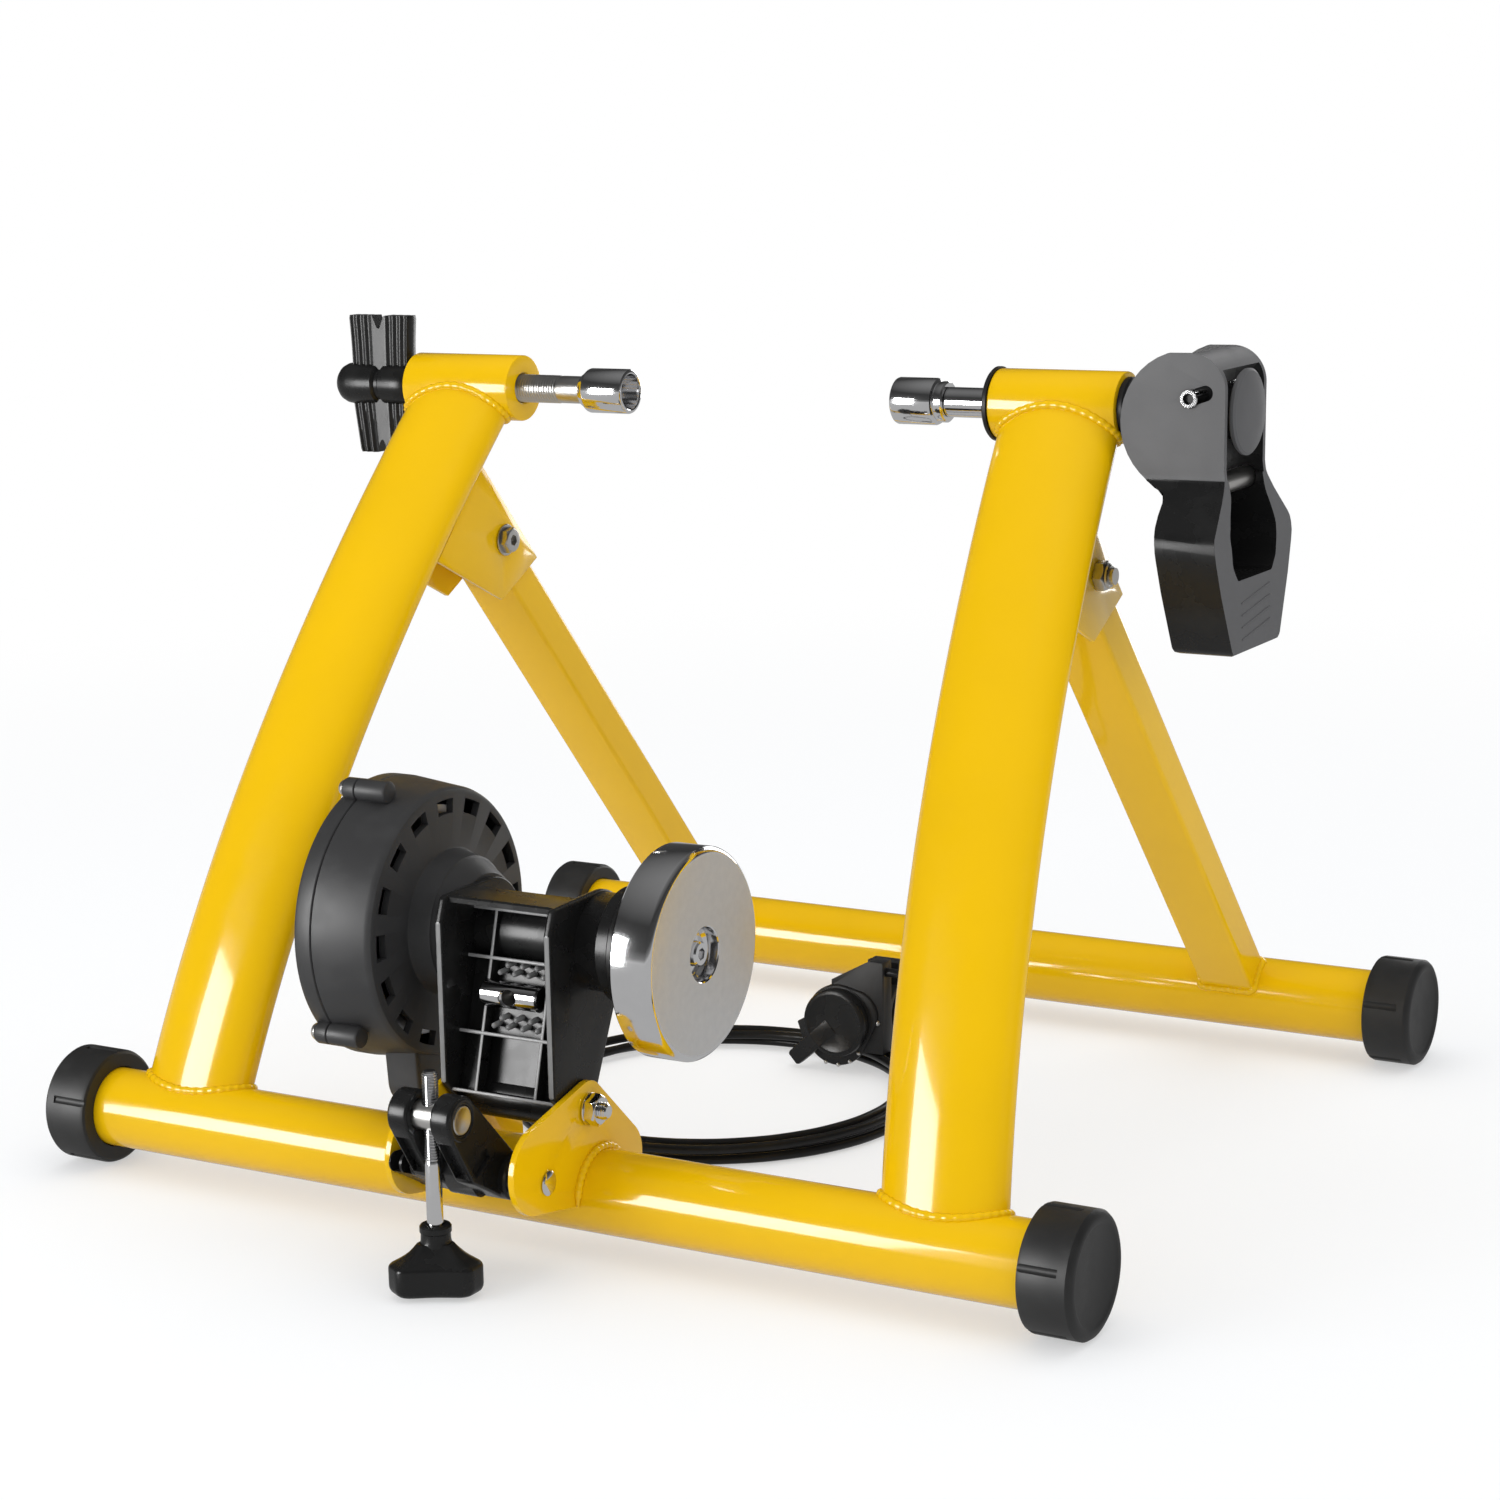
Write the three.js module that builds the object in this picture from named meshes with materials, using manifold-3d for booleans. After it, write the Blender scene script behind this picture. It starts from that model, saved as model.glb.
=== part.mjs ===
// A wheel-on bicycle trainer: a folding yellow steel stand that grips the rear axle of a bicycle,
// with a magnetic resistance unit and flywheel on its front tube, and a cable with a bar shifter.
// Millimetres, +Z up. X runs along the foot tubes and the wheel axle, Y from the front tube, which
// carries the unit, to the rear tube. The floor is at z = 0 and the stand is centred on the origin.
import * as THREE from "three";
import { mergeVertices } from "three/addons/utils/BufferGeometryUtils.js";
import Module from "manifold-3d";

const wasm = await Module();
wasm.setup();

// Driving dimensions of the stand
const footTubeRadius = 19;
const capRadius = 27.5;
const frontWidth = 540;
const rearWidth = 530;
const wheelbase = 432;
const axleHeight = 361;
const axleSetback = 203.6;
const legFootX = 200;
const legTopX = 164;
const legHalfWidth = 29.3;
const legHalfDepth = 13.3;
const legBow = 25.5;
const tubeWall = 2;
const sleeveRadius = 16.4;
const sleeveLength = 63;
const sleeveCentreX = 163.3;
const spindleRadius = 7;
const dropoutGap = 147.3;
const dropoutCentreX = 5;

// Driving dimensions of the resistance unit
const lugFaceX = 30.5;
const lugLeftX = -37;
const lugThickness = 3;
const unitPivot = { y: -8, z: 67.5 };
const clevisPivot = { y: -42, z: 43.5 };
const unitAxis = { y: 11.7, z: 138.5 };
const drumRadius = 64.5;
const drumFaceRadius = 60.5;
const drumFaceX = -54;
const seamX = -84;
const coverBackX = -94.5;
const flywheelRadius = 47.2;
const flywheelFaceX = 80;
const flywheelThickness = 20;
const rollerRadius = 15;
const shaftRadius = 4;

// Shared clearances and fineness
const gap = 0.3;
const overrun = 2;
const mergeDistance = 1e-4;
const sides = { hex: 6, small: 8, middle: 16, large: 24, drum: 36 };

// Colours and finishes
const finish = {
  yellow: { color: 0xf0be08, roughness: 0.3, metalness: 0 },
  black: { color: 0x1b1b1c, roughness: 0.55, metalness: 0 },
  rubber: { color: 0x161616, roughness: 0.75, metalness: 0 },
  chrome: { color: 0xd9d9d9, roughness: 0.12, metalness: 1 },
  steel: { color: 0xb4b4b2, roughness: 0.35, metalness: 1 },
  grey: { color: 0x6a6a6b, roughness: 0.5, metalness: 0 },
};

const trainer = new THREE.Group();
const cordNames = ["cable_coil", "cable_to_unit", "cable_to_shifter"];

// Solids from three.js geometry

function solidOf(geometry) {
  const bare = geometry.index ? geometry.toNonIndexed() : geometry.clone();
  bare.deleteAttribute("normal");
  bare.deleteAttribute("uv");
  const merged = mergeVertices(bare, mergeDistance);
  const vertProperties = merged.attributes.position.array;
  const triVerts = new Uint32Array(merged.index.array);
  const solid = new wasm.Manifold(new wasm.Mesh({ numProp: 3, vertProperties, triVerts }));
  if (solid.volume() > 0) return solid;
  for (let i = 0; i < triVerts.length; i += 3) {
    [triVerts[i + 1], triVerts[i + 2]] = [triVerts[i + 2], triVerts[i + 1]];
  }
  return new wasm.Manifold(new wasm.Mesh({ numProp: 3, vertProperties, triVerts }));
}

function geometryOf(solid) {
  const mesh = solid.getMesh();
  const geometry = new THREE.BufferGeometry();
  geometry.setAttribute("position", new THREE.BufferAttribute(mesh.vertProperties, 3));
  geometry.setIndex(new THREE.BufferAttribute(mesh.triVerts, 1));
  return geometry;
}

function add(name, solid, material) {
  const mesh = new THREE.Mesh(geometryOf(solid), new THREE.MeshStandardMaterial(material));
  mesh.geometry.computeVertexNormals();
  mesh.name = name;
  trainer.add(mesh);
  return mesh;
}

const join = (first, ...rest) => rest.reduce((whole, piece) => whole.add(piece), first);
const cut = (body, ...tools) => tools.reduce((left, tool) => left.subtract(tool), body);

// The two coordinates across an axis, in the order that keeps the frame right-handed
const across = { x: ["y", "z"], y: ["z", "x"], z: ["x", "y"] };
const unit = { x: [1, 0, 0], y: [0, 1, 0], z: [0, 0, 1] };

function frameAlong(axis, at = {}) {
  const [u, v] = across[axis].map((name) => new THREE.Vector3(...unit[name]));
  const w = new THREE.Vector3(...unit[axis]);
  return new THREE.Matrix4().makeBasis(u, v, w).setPosition(at.x ?? 0, at.y ?? 0, at.z ?? 0);
}

// A plate cut to an outline of points across an axis, from one place on the axis to another
function plate(axis, outline, from, to) {
  const [u, v] = across[axis];
  const shape = new THREE.Shape(outline.map((p) => new THREE.Vector2(p[u], p[v])));
  const depth = to - from;
  const geometry = new THREE.ExtrudeGeometry(shape, { depth, bevelEnabled: false });
  return solidOf(geometry.applyMatrix4(frameAlong(axis, { [axis]: from })));
}

function box(from, to) {
  const outline = [
    { x: from.x, y: from.y },
    { x: to.x, y: from.y },
    { x: to.x, y: to.y },
    { x: from.x, y: to.y },
  ];
  return plate("z", outline, from.z, to.z);
}

function rod(axis, radius, from, to, at, count = sides.middle) {
  const geometry = new THREE.CylinderGeometry(radius, radius, to - from, count);
  geometry.rotateX(Math.PI / 2);
  const middle = { ...at, [axis]: (from + to) / 2 };
  return solidOf(geometry.applyMatrix4(frameAlong(axis, middle)));
}

// A turned piece: pairs of a place along the axis and a radius, closed onto the axis
function turned(axis, profile, at, count = sides.middle) {
  const points = profile.map(([place, radius]) => new THREE.Vector2(radius, place));
  const ends = [profile[0], profile[profile.length - 1]];
  if (ends[0][1] > 0) points.unshift(new THREE.Vector2(0, ends[0][0]));
  if (ends[1][1] > 0) points.push(new THREE.Vector2(0, ends[1][0]));
  const geometry = new THREE.LatheGeometry(points, count);
  geometry.rotateX(Math.PI / 2);
  return solidOf(geometry.applyMatrix4(frameAlong(axis, at)));
}

// The outline round a set of circles across an axis, as a belt would lie
function belt(axis, circles, count = sides.middle) {
  const [u, v] = across[axis];
  const points = circles.flatMap((c) =>
    Array.from({ length: count }, (_, i) => {
      const angle = (2 * Math.PI * i) / count;
      return { [u]: c[u] + c.r * Math.cos(angle), [v]: c[v] + c.r * Math.sin(angle) };
    }),
  );
  points.sort((a, b) => a[u] - b[u] || a[v] - b[v]);
  const half = (list) => {
    const chain = [];
    for (const p of list) {
      while (chain.length > 1) {
        const [a, b] = chain.slice(-2);
        if ((b[u] - a[u]) * (p[v] - a[v]) - (b[v] - a[v]) * (p[u] - a[u]) > 0) break;
        chain.pop();
      }
      chain.push(p);
    }
    return chain.slice(0, -1);
  };
  return [...half(points), ...half([...points].reverse())];
}

// A closed skin through rings of equally many points, with a fan over each end
function loft(rings) {
  const count = rings[0].length;
  const points = rings.flat();
  const centreOf = (ring) => ring.reduce((sum, p) => sum.add(p), new THREE.Vector3()).divideScalar(count);
  const first = points.push(centreOf(rings[0])) - 1;
  const last = points.push(centreOf(rings[rings.length - 1])) - 1;
  const faces = [];
  for (let i = 0; i < count; i += 1) {
    const j = (i + 1) % count;
    faces.push(first, j, i);
    for (let k = 0; k + 1 < rings.length; k += 1) {
      const [a, b, c, d] = [k * count + i, k * count + j, (k + 1) * count + j, (k + 1) * count + i];
      faces.push(a, b, c, a, c, d);
    }
    faces.push(last, (rings.length - 1) * count + i, (rings.length - 1) * count + j);
  }
  const geometry = new THREE.BufferGeometry().setFromPoints(points);
  geometry.setIndex(faces);
  return solidOf(geometry);
}

// Foot tubes and their rubber caps
const cap = { length: 25, endWall: 6, bevel: 2.5 };
const frontFoot = { y: 0, z: capRadius };
const rearFoot = { y: wheelbase, z: capRadius };

function footTube(name, width, at) {
  const reach = width / 2 - cap.endWall - gap;
  const tube = rod("x", footTubeRadius, -reach, reach, at, sides.large);
  const bore = rod("x", footTubeRadius - tubeWall, -reach - overrun, reach + overrun, at, sides.middle);
  add(name, cut(tube, bore), finish.yellow);
}

function footCap(name, side, width, at) {
  const [outer, inner] = [width / 2, width / 2 - cap.length];
  const rim = capRadius - cap.bevel;
  const profile = [
    [side * outer, rim],
    [side * (outer - cap.bevel), capRadius],
    [side * (inner + cap.bevel), capRadius],
    [side * inner, rim],
  ];
  const body = turned("x", profile, at, sides.large);
  const mouth = [side * (inner - overrun), side * (outer - cap.endWall)].sort((a, b) => a - b);
  const socket = rod("x", footTubeRadius + gap, ...mouth, at, sides.large);
  add(name, cut(body, socket), finish.rubber);
}

footTube("front_foot_tube", frontWidth, frontFoot);
footTube("rear_foot_tube", rearWidth, rearFoot);
footCap("front_cap_left", -1, frontWidth, frontFoot);
footCap("front_cap_right", 1, frontWidth, frontFoot);
footCap("rear_cap_left", -1, rearWidth, rearFoot);
footCap("rear_cap_right", 1, rearWidth, rearFoot);

// Bowed oval legs from the front tube up to the axle sleeves
const axle = { y: axleSetback, z: axleHeight };
const legSteps = 9;

function legCentre(side, share) {
  const foot = new THREE.Vector3(side * legFootX, frontFoot.y, frontFoot.z);
  const top = new THREE.Vector3(side * legTopX, axle.y, axle.z);
  const point = foot.lerp(top, share);
  point.y -= 4 * legBow * share * (1 - share);
  return point;
}

// The leg's surface let out by a clearance, so that what is welded to it can be cut to fit
function legRings(side, clearance) {
  const slight = 1 / (legSteps * legSteps);
  return Array.from({ length: legSteps + 1 }, (_, step) => {
    const share = step / legSteps;
    const along = legCentre(side, share + slight).sub(legCentre(side, share - slight)).normalize();
    const wide = new THREE.Vector3(1, 0, 0).addScaledVector(along, -along.x).normalize();
    const deep = new THREE.Vector3().crossVectors(along, wide);
    return Array.from({ length: sides.large }, (_, i) => {
      const angle = (2 * Math.PI * i) / sides.large;
      const point = legCentre(side, share);
      point.addScaledVector(wide, (legHalfWidth + clearance) * Math.cos(angle));
      return point.addScaledVector(deep, (legHalfDepth + clearance) * Math.sin(angle));
    });
  });
}

function frontLeg(name, side) {
  const reach = frontWidth / 2;
  const saddle = rod("x", footTubeRadius + gap, -reach, reach, frontFoot, sides.large);
  const sleeveSeat = rod("x", sleeveRadius + gap, -reach, reach, axle, sides.large);
  const wall = cut(loft(legRings(side, 0)), loft(legRings(side, -tubeWall)));
  add(name, cut(wall, saddle, sleeveSeat), finish.yellow);
}

frontLeg("left_leg", -1);
frontLeg("right_leg", 1);

// Axle sleeves across the leg tops
const boreGap = 0.4;
const sleeveInner = sleeveCentreX - sleeveLength / 2;
const sleeveOuter = sleeveCentreX + sleeveLength / 2;
const bush = { thickness: 2.2, radius: 17.2 };

function sleeve(name, from, to) {
  const tube = rod("x", sleeveRadius, from, to, axle, sides.large);
  const bore = rod("x", spindleRadius + boreGap, from - overrun, to + overrun, axle);
  add(name, cut(tube, bore), finish.yellow);
}

sleeve("left_axle_sleeve", -sleeveOuter, -sleeveInner);
sleeve("right_axle_sleeve", sleeveInner, sleeveOuter);

const bushOuterX = sleeveInner - gap;
const bushRing = rod("x", bush.radius, bushOuterX - bush.thickness, bushOuterX, axle, sides.large);
const bushBore = rod("x", spindleRadius + boreGap, bushOuterX - overrun - bush.thickness, sleeveInner, axle);
add("right_sleeve_bush", cut(bushRing, bushBore), finish.black);

// Dropout cups that hold the ends of the bicycle's axle
const cup = { radius: 11, length: 26.5, bore: 8.4, depth: 20, bevel: 1.2, shoulder: 9.6, shoulderLength: 5 };

function dropoutCup(name, side) {
  const mouth = dropoutCentreX + (side * dropoutGap) / 2;
  const back = mouth + side * cup.length;
  const profile = [
    [mouth, cup.radius - cup.bevel],
    [mouth + side * cup.bevel, cup.radius],
    [back - side * cup.shoulderLength, cup.radius],
    [back - side * cup.shoulderLength, cup.shoulder],
    [back, cup.shoulder],
  ];
  const hollow = [mouth - side * overrun, mouth + side * cup.depth].sort((a, b) => a - b);
  const body = turned("x", profile, axle);
  add(name, cut(body, rod("x", cup.bore, ...hollow, axle)), finish.chrome);
  return back;
}

const leftCupBack = dropoutCup("left_cup", -1);
const rightCupBack = dropoutCup("right_cup", 1);

// Threaded left spindle with its winged hand knob
const knob = {
  innerX: -199,
  outerX: -235,
  hubOuterX: -243,
  hubRadius: 13,
  neckRadius: 11,
  reach: 35,
  tipHalf: 7.5,
  rootHalf: 9,
  notchDepth: 12,
  notchHalf: 4,
};

add("left_spindle", rod("x", spindleRadius, knob.outerX + gap, leftCupBack - gap, axle), finish.steel);

function handKnob() {
  const { outerX, innerX, reach, tipHalf, rootHalf } = knob;
  const middleX = (outerX + innerX) / 2;
  const wing = (up) => [
    { y: axle.y - rootHalf, z: axle.z },
    { y: axle.y + rootHalf, z: axle.z },
    { y: axle.y + tipHalf, z: axle.z + up * reach },
    { y: axle.y - tipHalf, z: axle.z + up * reach },
  ];
  const hub = turned("x", [
    [knob.hubOuterX, knob.neckRadius],
    [outerX, knob.hubRadius],
    [innerX, knob.hubRadius],
  ], axle);
  const notch = (up) =>
    plate("y", [
      { x: middleX, z: axle.z + up * (reach - knob.notchDepth) },
      { x: middleX + knob.notchHalf, z: axle.z + up * (reach + overrun) },
      { x: middleX - knob.notchHalf, z: axle.z + up * (reach + overrun) },
    ], axle.y - reach, axle.y + reach);
  const body = join(hub, plate("x", wing(1), outerX, innerX), plate("x", wing(-1), outerX, innerX));
  const socket = rod("x", spindleRadius + gap, outerX, innerX + overrun, axle);
  add("left_spindle_knob", cut(body, notch(1), notch(-1), socket), finish.black);
}

handKnob();

// Right spindle, the yoke on its end, and the cam lever that pushes it in
const lever = {
  pinX: 234.6,
  pinZ: axleHeight + 7.4,
  pinRadius: 3,
  pinHeadRadius: 4.2,
  pinHead: 1.5,
  halfWidth: 25,
  wall: 3,
  backX: 222,
  backDrop: 4.5,
  backRadius: 21.3,
  roofX: 235.3,
  roofUp: 11.3,
  roofRadius: 16,
  mouthUp: 14.5,
  frontX: 251,
  frontDrop: 24,
  frontRadius: 3.5,
  heelX: 225,
  heelDrop: 27,
  heelRadius: 5,
  slotLength: 7.4,
  slotRise: 2.5,
  throatDrop: 29,
  waistDrop: 37,
  waistHalf: 32,
  waistBackX: 225,
  flareDrop: 50,
  flareEndDrop: 59,
  flareHalf: 47,
  flareBackX: 227.5,
  flareFrontX: 256,
  taperDrop: 77,
  taperHalf: 41,
  bottomDrop: 106,
  toeHalf: 28.5,
  toeBackX: 229,
  toeFrontX: 257.5,
  windowX: 231,
  windowNeckDrop: 37,
  windowNeckHalf: 20.5,
  windowWideDrop: 53,
  windowWideHalf: 28,
  windowLowDrop: 67,
  windowLowHalf: 26,
  windowBottomDrop: 73,
  windowFootHalf: 21.4,
  crossPinX: 243,
  crossPinDrop: 31.5,
  crossPinRadius: 5,
};
const yoke = {
  flangeRadius: 14,
  flange: 3,
  neckRadius: 8,
  bossRadius: 12.5,
  bossX: 224,
  discX: 254.5,
  discRadius: 19.3,
  disc: 4,
  bevel: 1,
};
const releaseTravel = 12;
const rightSpindleEnd = sleeveOuter - releaseTravel - overrun;

add("right_spindle", rod("x", spindleRadius, rightCupBack + gap, rightSpindleEnd, axle), finish.chrome);

function releaseYoke() {
  const flangeX = sleeveOuter + gap;
  const discBack = yoke.discX - yoke.disc;
  const body = turned("x", [
    [flangeX, yoke.flangeRadius],
    [flangeX + yoke.flange, yoke.flangeRadius],
    [flangeX + yoke.flange, yoke.neckRadius],
    [yoke.bossX, yoke.neckRadius],
    [yoke.bossX, yoke.bossRadius],
    [discBack, yoke.bossRadius],
    [discBack, yoke.discRadius],
    [yoke.discX - yoke.bevel, yoke.discRadius],
    [yoke.discX, yoke.discRadius - yoke.bevel],
  ], axle, sides.large);
  const reach = lever.halfWidth;
  const pinAt = { x: lever.pinX, z: lever.pinZ };
  const pinHole = rod("y", lever.pinRadius + gap, axle.y - reach, axle.y + reach, pinAt);
  add("release_yoke", cut(body, pinHole), finish.black);
}

function leverPin() {
  const at = { x: lever.pinX, z: lever.pinZ };
  const reach = lever.halfWidth + gap;
  const shank = rod("y", lever.pinRadius, axle.y - reach, axle.y + reach, at);
  const heads = [-1, 1].map((side) => {
    const ends = [axle.y + side * reach, axle.y + side * (reach + lever.pinHead)].sort((a, b) => a - b);
    return rod("y", lever.pinHeadRadius, ...ends, at);
  });
  add("lever_pin", join(shank, ...heads), finish.chrome);
}

function camLever() {
  const below = (drop) => axle.z - drop;
  const cheek = belt("y", [
    { x: lever.backX, z: below(lever.backDrop), r: lever.backRadius },
    { x: lever.roofX, z: axle.z + lever.roofUp, r: lever.roofRadius },
    { x: lever.frontX - lever.frontRadius, z: below(lever.frontDrop), r: lever.frontRadius },
    { x: lever.heelX, z: below(lever.heelDrop), r: lever.heelRadius },
  ]);
  const handle = [
    { x: lever.heelX, z: below(lever.frontDrop) },
    { x: lever.waistBackX, z: below(lever.waistDrop) },
    { x: lever.flareBackX, z: below(lever.flareDrop) },
    { x: lever.toeBackX, z: below(lever.bottomDrop) },
    { x: lever.toeFrontX, z: below(lever.bottomDrop) },
    { x: lever.flareFrontX, z: below(lever.flareEndDrop) },
    { x: lever.frontX, z: below(lever.frontDrop) },
  ];
  const halves = [
    [lever.bottomDrop, lever.toeHalf],
    [lever.taperDrop, lever.taperHalf],
    [lever.flareEndDrop, lever.flareHalf],
    [lever.flareDrop, lever.flareHalf],
    [lever.waistDrop, lever.waistHalf],
    [lever.throatDrop, lever.halfWidth],
    [-lever.roofUp - lever.roofRadius, lever.halfWidth],
  ];
  const front = [
    ...halves.map(([drop, half]) => ({ y: axle.y + half, z: below(drop) })),
    ...halves.reverse().map(([drop, half]) => ({ y: axle.y - half, z: below(drop) })),
  ];
  const [left, right] = [lever.backX - lever.backRadius - overrun, lever.toeFrontX + overrun];
  const side = join(
    plate("y", cheek, axle.y - lever.flareHalf, axle.y + lever.flareHalf),
    plate("y", handle, axle.y - lever.flareHalf, axle.y + lever.flareHalf),
  );
  const body = side.intersect(plate("x", front, left, right));
  const inner = lever.halfWidth - lever.wall;
  const throat = plate("y", belt("y", [
    { x: left, z: axle.z + lever.roofUp, r: lever.wall },
    { x: lever.roofX, z: axle.z + lever.roofUp, r: lever.roofRadius - lever.wall },
    { x: right, z: axle.z + lever.mouthUp - lever.wall, r: lever.wall },
    { x: right, z: below(lever.throatDrop) + lever.wall, r: lever.wall },
    { x: left, z: below(lever.throatDrop) + lever.wall, r: lever.wall },
  ]), axle.y - inner, axle.y + inner);
  const behindRoof = box(
    { x: left, y: axle.y - inner, z: axle.z },
    { x: lever.roofX, y: axle.y + inner, z: axle.z + lever.roofUp + lever.roofRadius + overrun },
  );
  const windowHalves = [
    [lever.windowBottomDrop, lever.windowFootHalf],
    [lever.windowLowDrop, lever.windowLowHalf],
    [lever.windowWideDrop, lever.windowWideHalf],
    [lever.windowNeckDrop, lever.windowNeckHalf],
    [lever.frontDrop, lever.windowNeckHalf],
  ];
  const window = plate("x", [
    ...windowHalves.map(([drop, half]) => ({ y: axle.y + half, z: below(drop) })),
    ...windowHalves.reverse().map(([drop, half]) => ({ y: axle.y - half, z: below(drop) })),
  ], lever.windowX, right);
  const slot = plate("y", belt("y", [
    { x: lever.pinX, z: lever.pinZ, r: lever.pinRadius + gap },
    { x: lever.pinX + lever.slotLength, z: lever.pinZ + lever.slotRise, r: lever.pinRadius + gap },
  ]), axle.y - lever.flareHalf, axle.y + lever.flareHalf);
  const crossAt = { x: lever.crossPinX, z: below(lever.crossPinDrop) };
  const pinReach = lever.halfWidth - lever.wall / 2;
  const seatReach = pinReach + gap;
  const pinSeat = rod(
    "y",
    lever.crossPinRadius + gap,
    axle.y - seatReach,
    axle.y + seatReach,
    crossAt,
  );
  add("cam_lever", cut(body, throat, behindRoof, window, slot, pinSeat), finish.grey);
  const crossPin = rod("y", lever.crossPinRadius, axle.y - pinReach, axle.y + pinReach, crossAt);
  add("lever_cross_pin", crossPin, finish.chrome);
}

releaseYoke();
leverPin();
camLever();

// Fold brackets behind the front legs, and the rear legs that hinge in them
const fold = {
  y: 202,
  z: 284,
  centreX: 163,
  legWidth: 30,
  legDepth: 20,
  play: 0.5,
  wall: 2.5,
  boltRadius: 4,
  headRadius: 6.8,
  headThickness: 5,
  nutThickness: 6.5,
  nutRadius: 7.4,
  rootUp: 57,
  rootIn: 48,
  heelUp: 41,
  below: 29,
  lip: 3,
  lipDrop: 2.5,
  toeDown: 20,
  toeIn: 23,
};
const rearRun = { y: rearFoot.y - fold.y, z: rearFoot.z - fold.z };
const rearLength = Math.hypot(rearRun.y, rearRun.z);
const alongRear = { y: rearRun.y / rearLength, z: rearRun.z / rearLength };
const outOfRear = { y: -alongRear.z, z: alongRear.y };

// A point given by its distance down the rear leg from the fold bolt and out towards the back
function fromBolt(down, out) {
  return {
    y: fold.y + down * alongRear.y + out * outOfRear.y,
    z: fold.z + down * alongRear.z + out * outOfRear.z,
  };
}

function foldBracket(name, side) {
  const webOut = fold.legDepth / 2 + fold.play + fold.wall;
  const webIn = webOut - fold.wall;
  const outline = [
    fromBolt(-fold.rootUp, webOut),
    fromBolt(fold.below, webOut),
    fromBolt(fold.below - fold.lipDrop, fold.lip),
    fromBolt(fold.toeDown, -fold.toeIn),
    fromBolt(-fold.heelUp, -fold.rootIn),
    fromBolt(-fold.rootUp, -fold.rootIn),
  ];
  const pocket = [
    fromBolt(-fold.rootUp - overrun, webIn),
    fromBolt(fold.below + overrun, webIn),
    fromBolt(fold.below + overrun, -fold.rootIn - overrun),
    fromBolt(-fold.rootUp - overrun, -fold.rootIn - overrun),
  ];
  const innerHalf = fold.legWidth / 2 + fold.play;
  const outerHalf = innerHalf + fold.wall;
  const middle = side * fold.centreX;
  const shell = cut(
    plate("x", outline, middle - outerHalf, middle + outerHalf),
    plate("x", pocket, middle - innerHalf, middle + innerHalf),
    rod("x", fold.boltRadius + gap, middle - outerHalf - overrun, middle + outerHalf + overrun, fold),
  );
  const rings = legRings(side, gap);
  add(name, cut(shell, loft(rings), frontOfLeg(side)), finish.yellow);
}

// Everything in front of the leg's centre surface
function frontOfLeg(side) {
  const outline = [];
  for (let step = 0; step <= legSteps; step += 1) {
    const { y, z } = legCentre(side, step / legSteps);
    outline.push({ y, z });
  }
  outline.push({ y: -axle.y, z: axle.z }, { y: -axle.y, z: frontFoot.z });
  return plate("x", outline, -frontWidth / 2, frontWidth / 2);
}

// The bolt's head is on the inner cheek and its nut on the outer one
function foldBolt(name, nutName, side) {
  const half = side * (fold.legWidth / 2 + fold.play + fold.wall + gap);
  const outerX = side * fold.centreX + half;
  const innerX = side * fold.centreX - half;
  const nutEnd = outerX + side * fold.nutThickness;
  const ordered = (a, b) => [Math.min(a, b), Math.max(a, b)];
  const shank = rod("x", fold.boltRadius, ...ordered(innerX, nutEnd + side * overrun), fold, sides.small);
  const headEnd = innerX - side * fold.headThickness;
  const head = rod("x", fold.headRadius, ...ordered(headEnd, innerX), fold, sides.hex);
  add(name, join(shank, head), finish.steel);
  const nut = rod("x", fold.nutRadius, ...ordered(outerX, nutEnd), fold, sides.hex);
  const thread = rod(
    "x",
    fold.boltRadius + gap,
    ...ordered(outerX - side * overrun, nutEnd + 2 * side * overrun),
    fold,
    sides.small,
  );
  add(nutName, cut(nut, thread), finish.steel);
}

function rearLeg(name, side) {
  const half = fold.legDepth / 2;
  const outline = belt("x", [
    { y: fold.y, z: fold.z, r: half },
    { ...fromBolt(rearLength, 0), r: half },
  ]);
  const [from, to] = [-1, 1].map((end) => side * fold.centreX + (end * fold.legWidth) / 2);
  const tube = rod("x", footTubeRadius + gap, -rearWidth / 2, rearWidth / 2, rearFoot, sides.large);
  const hole = rod("x", fold.boltRadius + gap, from - overrun, to + overrun, fold);
  const hollow = plate("x", [
    fromBolt(half + fold.wall, half - tubeWall),
    fromBolt(rearLength, half - tubeWall),
    fromBolt(rearLength, tubeWall - half),
    fromBolt(half + fold.wall, tubeWall - half),
  ], from + tubeWall, to - tubeWall);
  add(name, cut(plate("x", outline, from, to), hollow, tube, hole), finish.yellow);
}

foldBracket("left_fold_bracket", -1);
foldBracket("right_fold_bracket", 1);
foldBolt("left_fold_bolt", "left_fold_nut", -1);
foldBolt("right_fold_bolt", "right_fold_nut", 1);
rearLeg("rear_left_leg", -1);
rearLeg("rear_right_leg", 1);

// Lugs on the front tube that carry the resistance unit and the adjuster's clevis
const lug = {
  apexRadius: 12.5,
  noseRadius: 19.5,
  nose: { y: -49, z: 51 },
  heelRadius: 17,
  heel: { y: 19, z: 36 },
};
const unitBolt = { radius: 4, headRadius: 7.4, head: 5.5, tail: 4, nutThickness: 6.5 };
const clevisPin = { radius: 4, headRadius: 5.5, head: 1.6 };

function unitLug(name, from) {
  const outline = belt("x", [
    { ...unitPivot, r: lug.apexRadius },
    { ...lug.nose, r: lug.noseRadius },
    { ...lug.heel, r: lug.heelRadius },
  ], sides.large);
  const reach = [from - overrun, from + lugThickness + overrun];
  const solid = cut(
    plate("x", outline, from, from + lugThickness),
    rod("x", footTubeRadius + gap, ...reach, frontFoot, sides.large),
    rod("x", unitBolt.radius + gap, ...reach, unitPivot),
    rod("x", clevisPin.radius + gap, ...reach, clevisPivot),
  );
  add(name, solid, finish.yellow);
}

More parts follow.
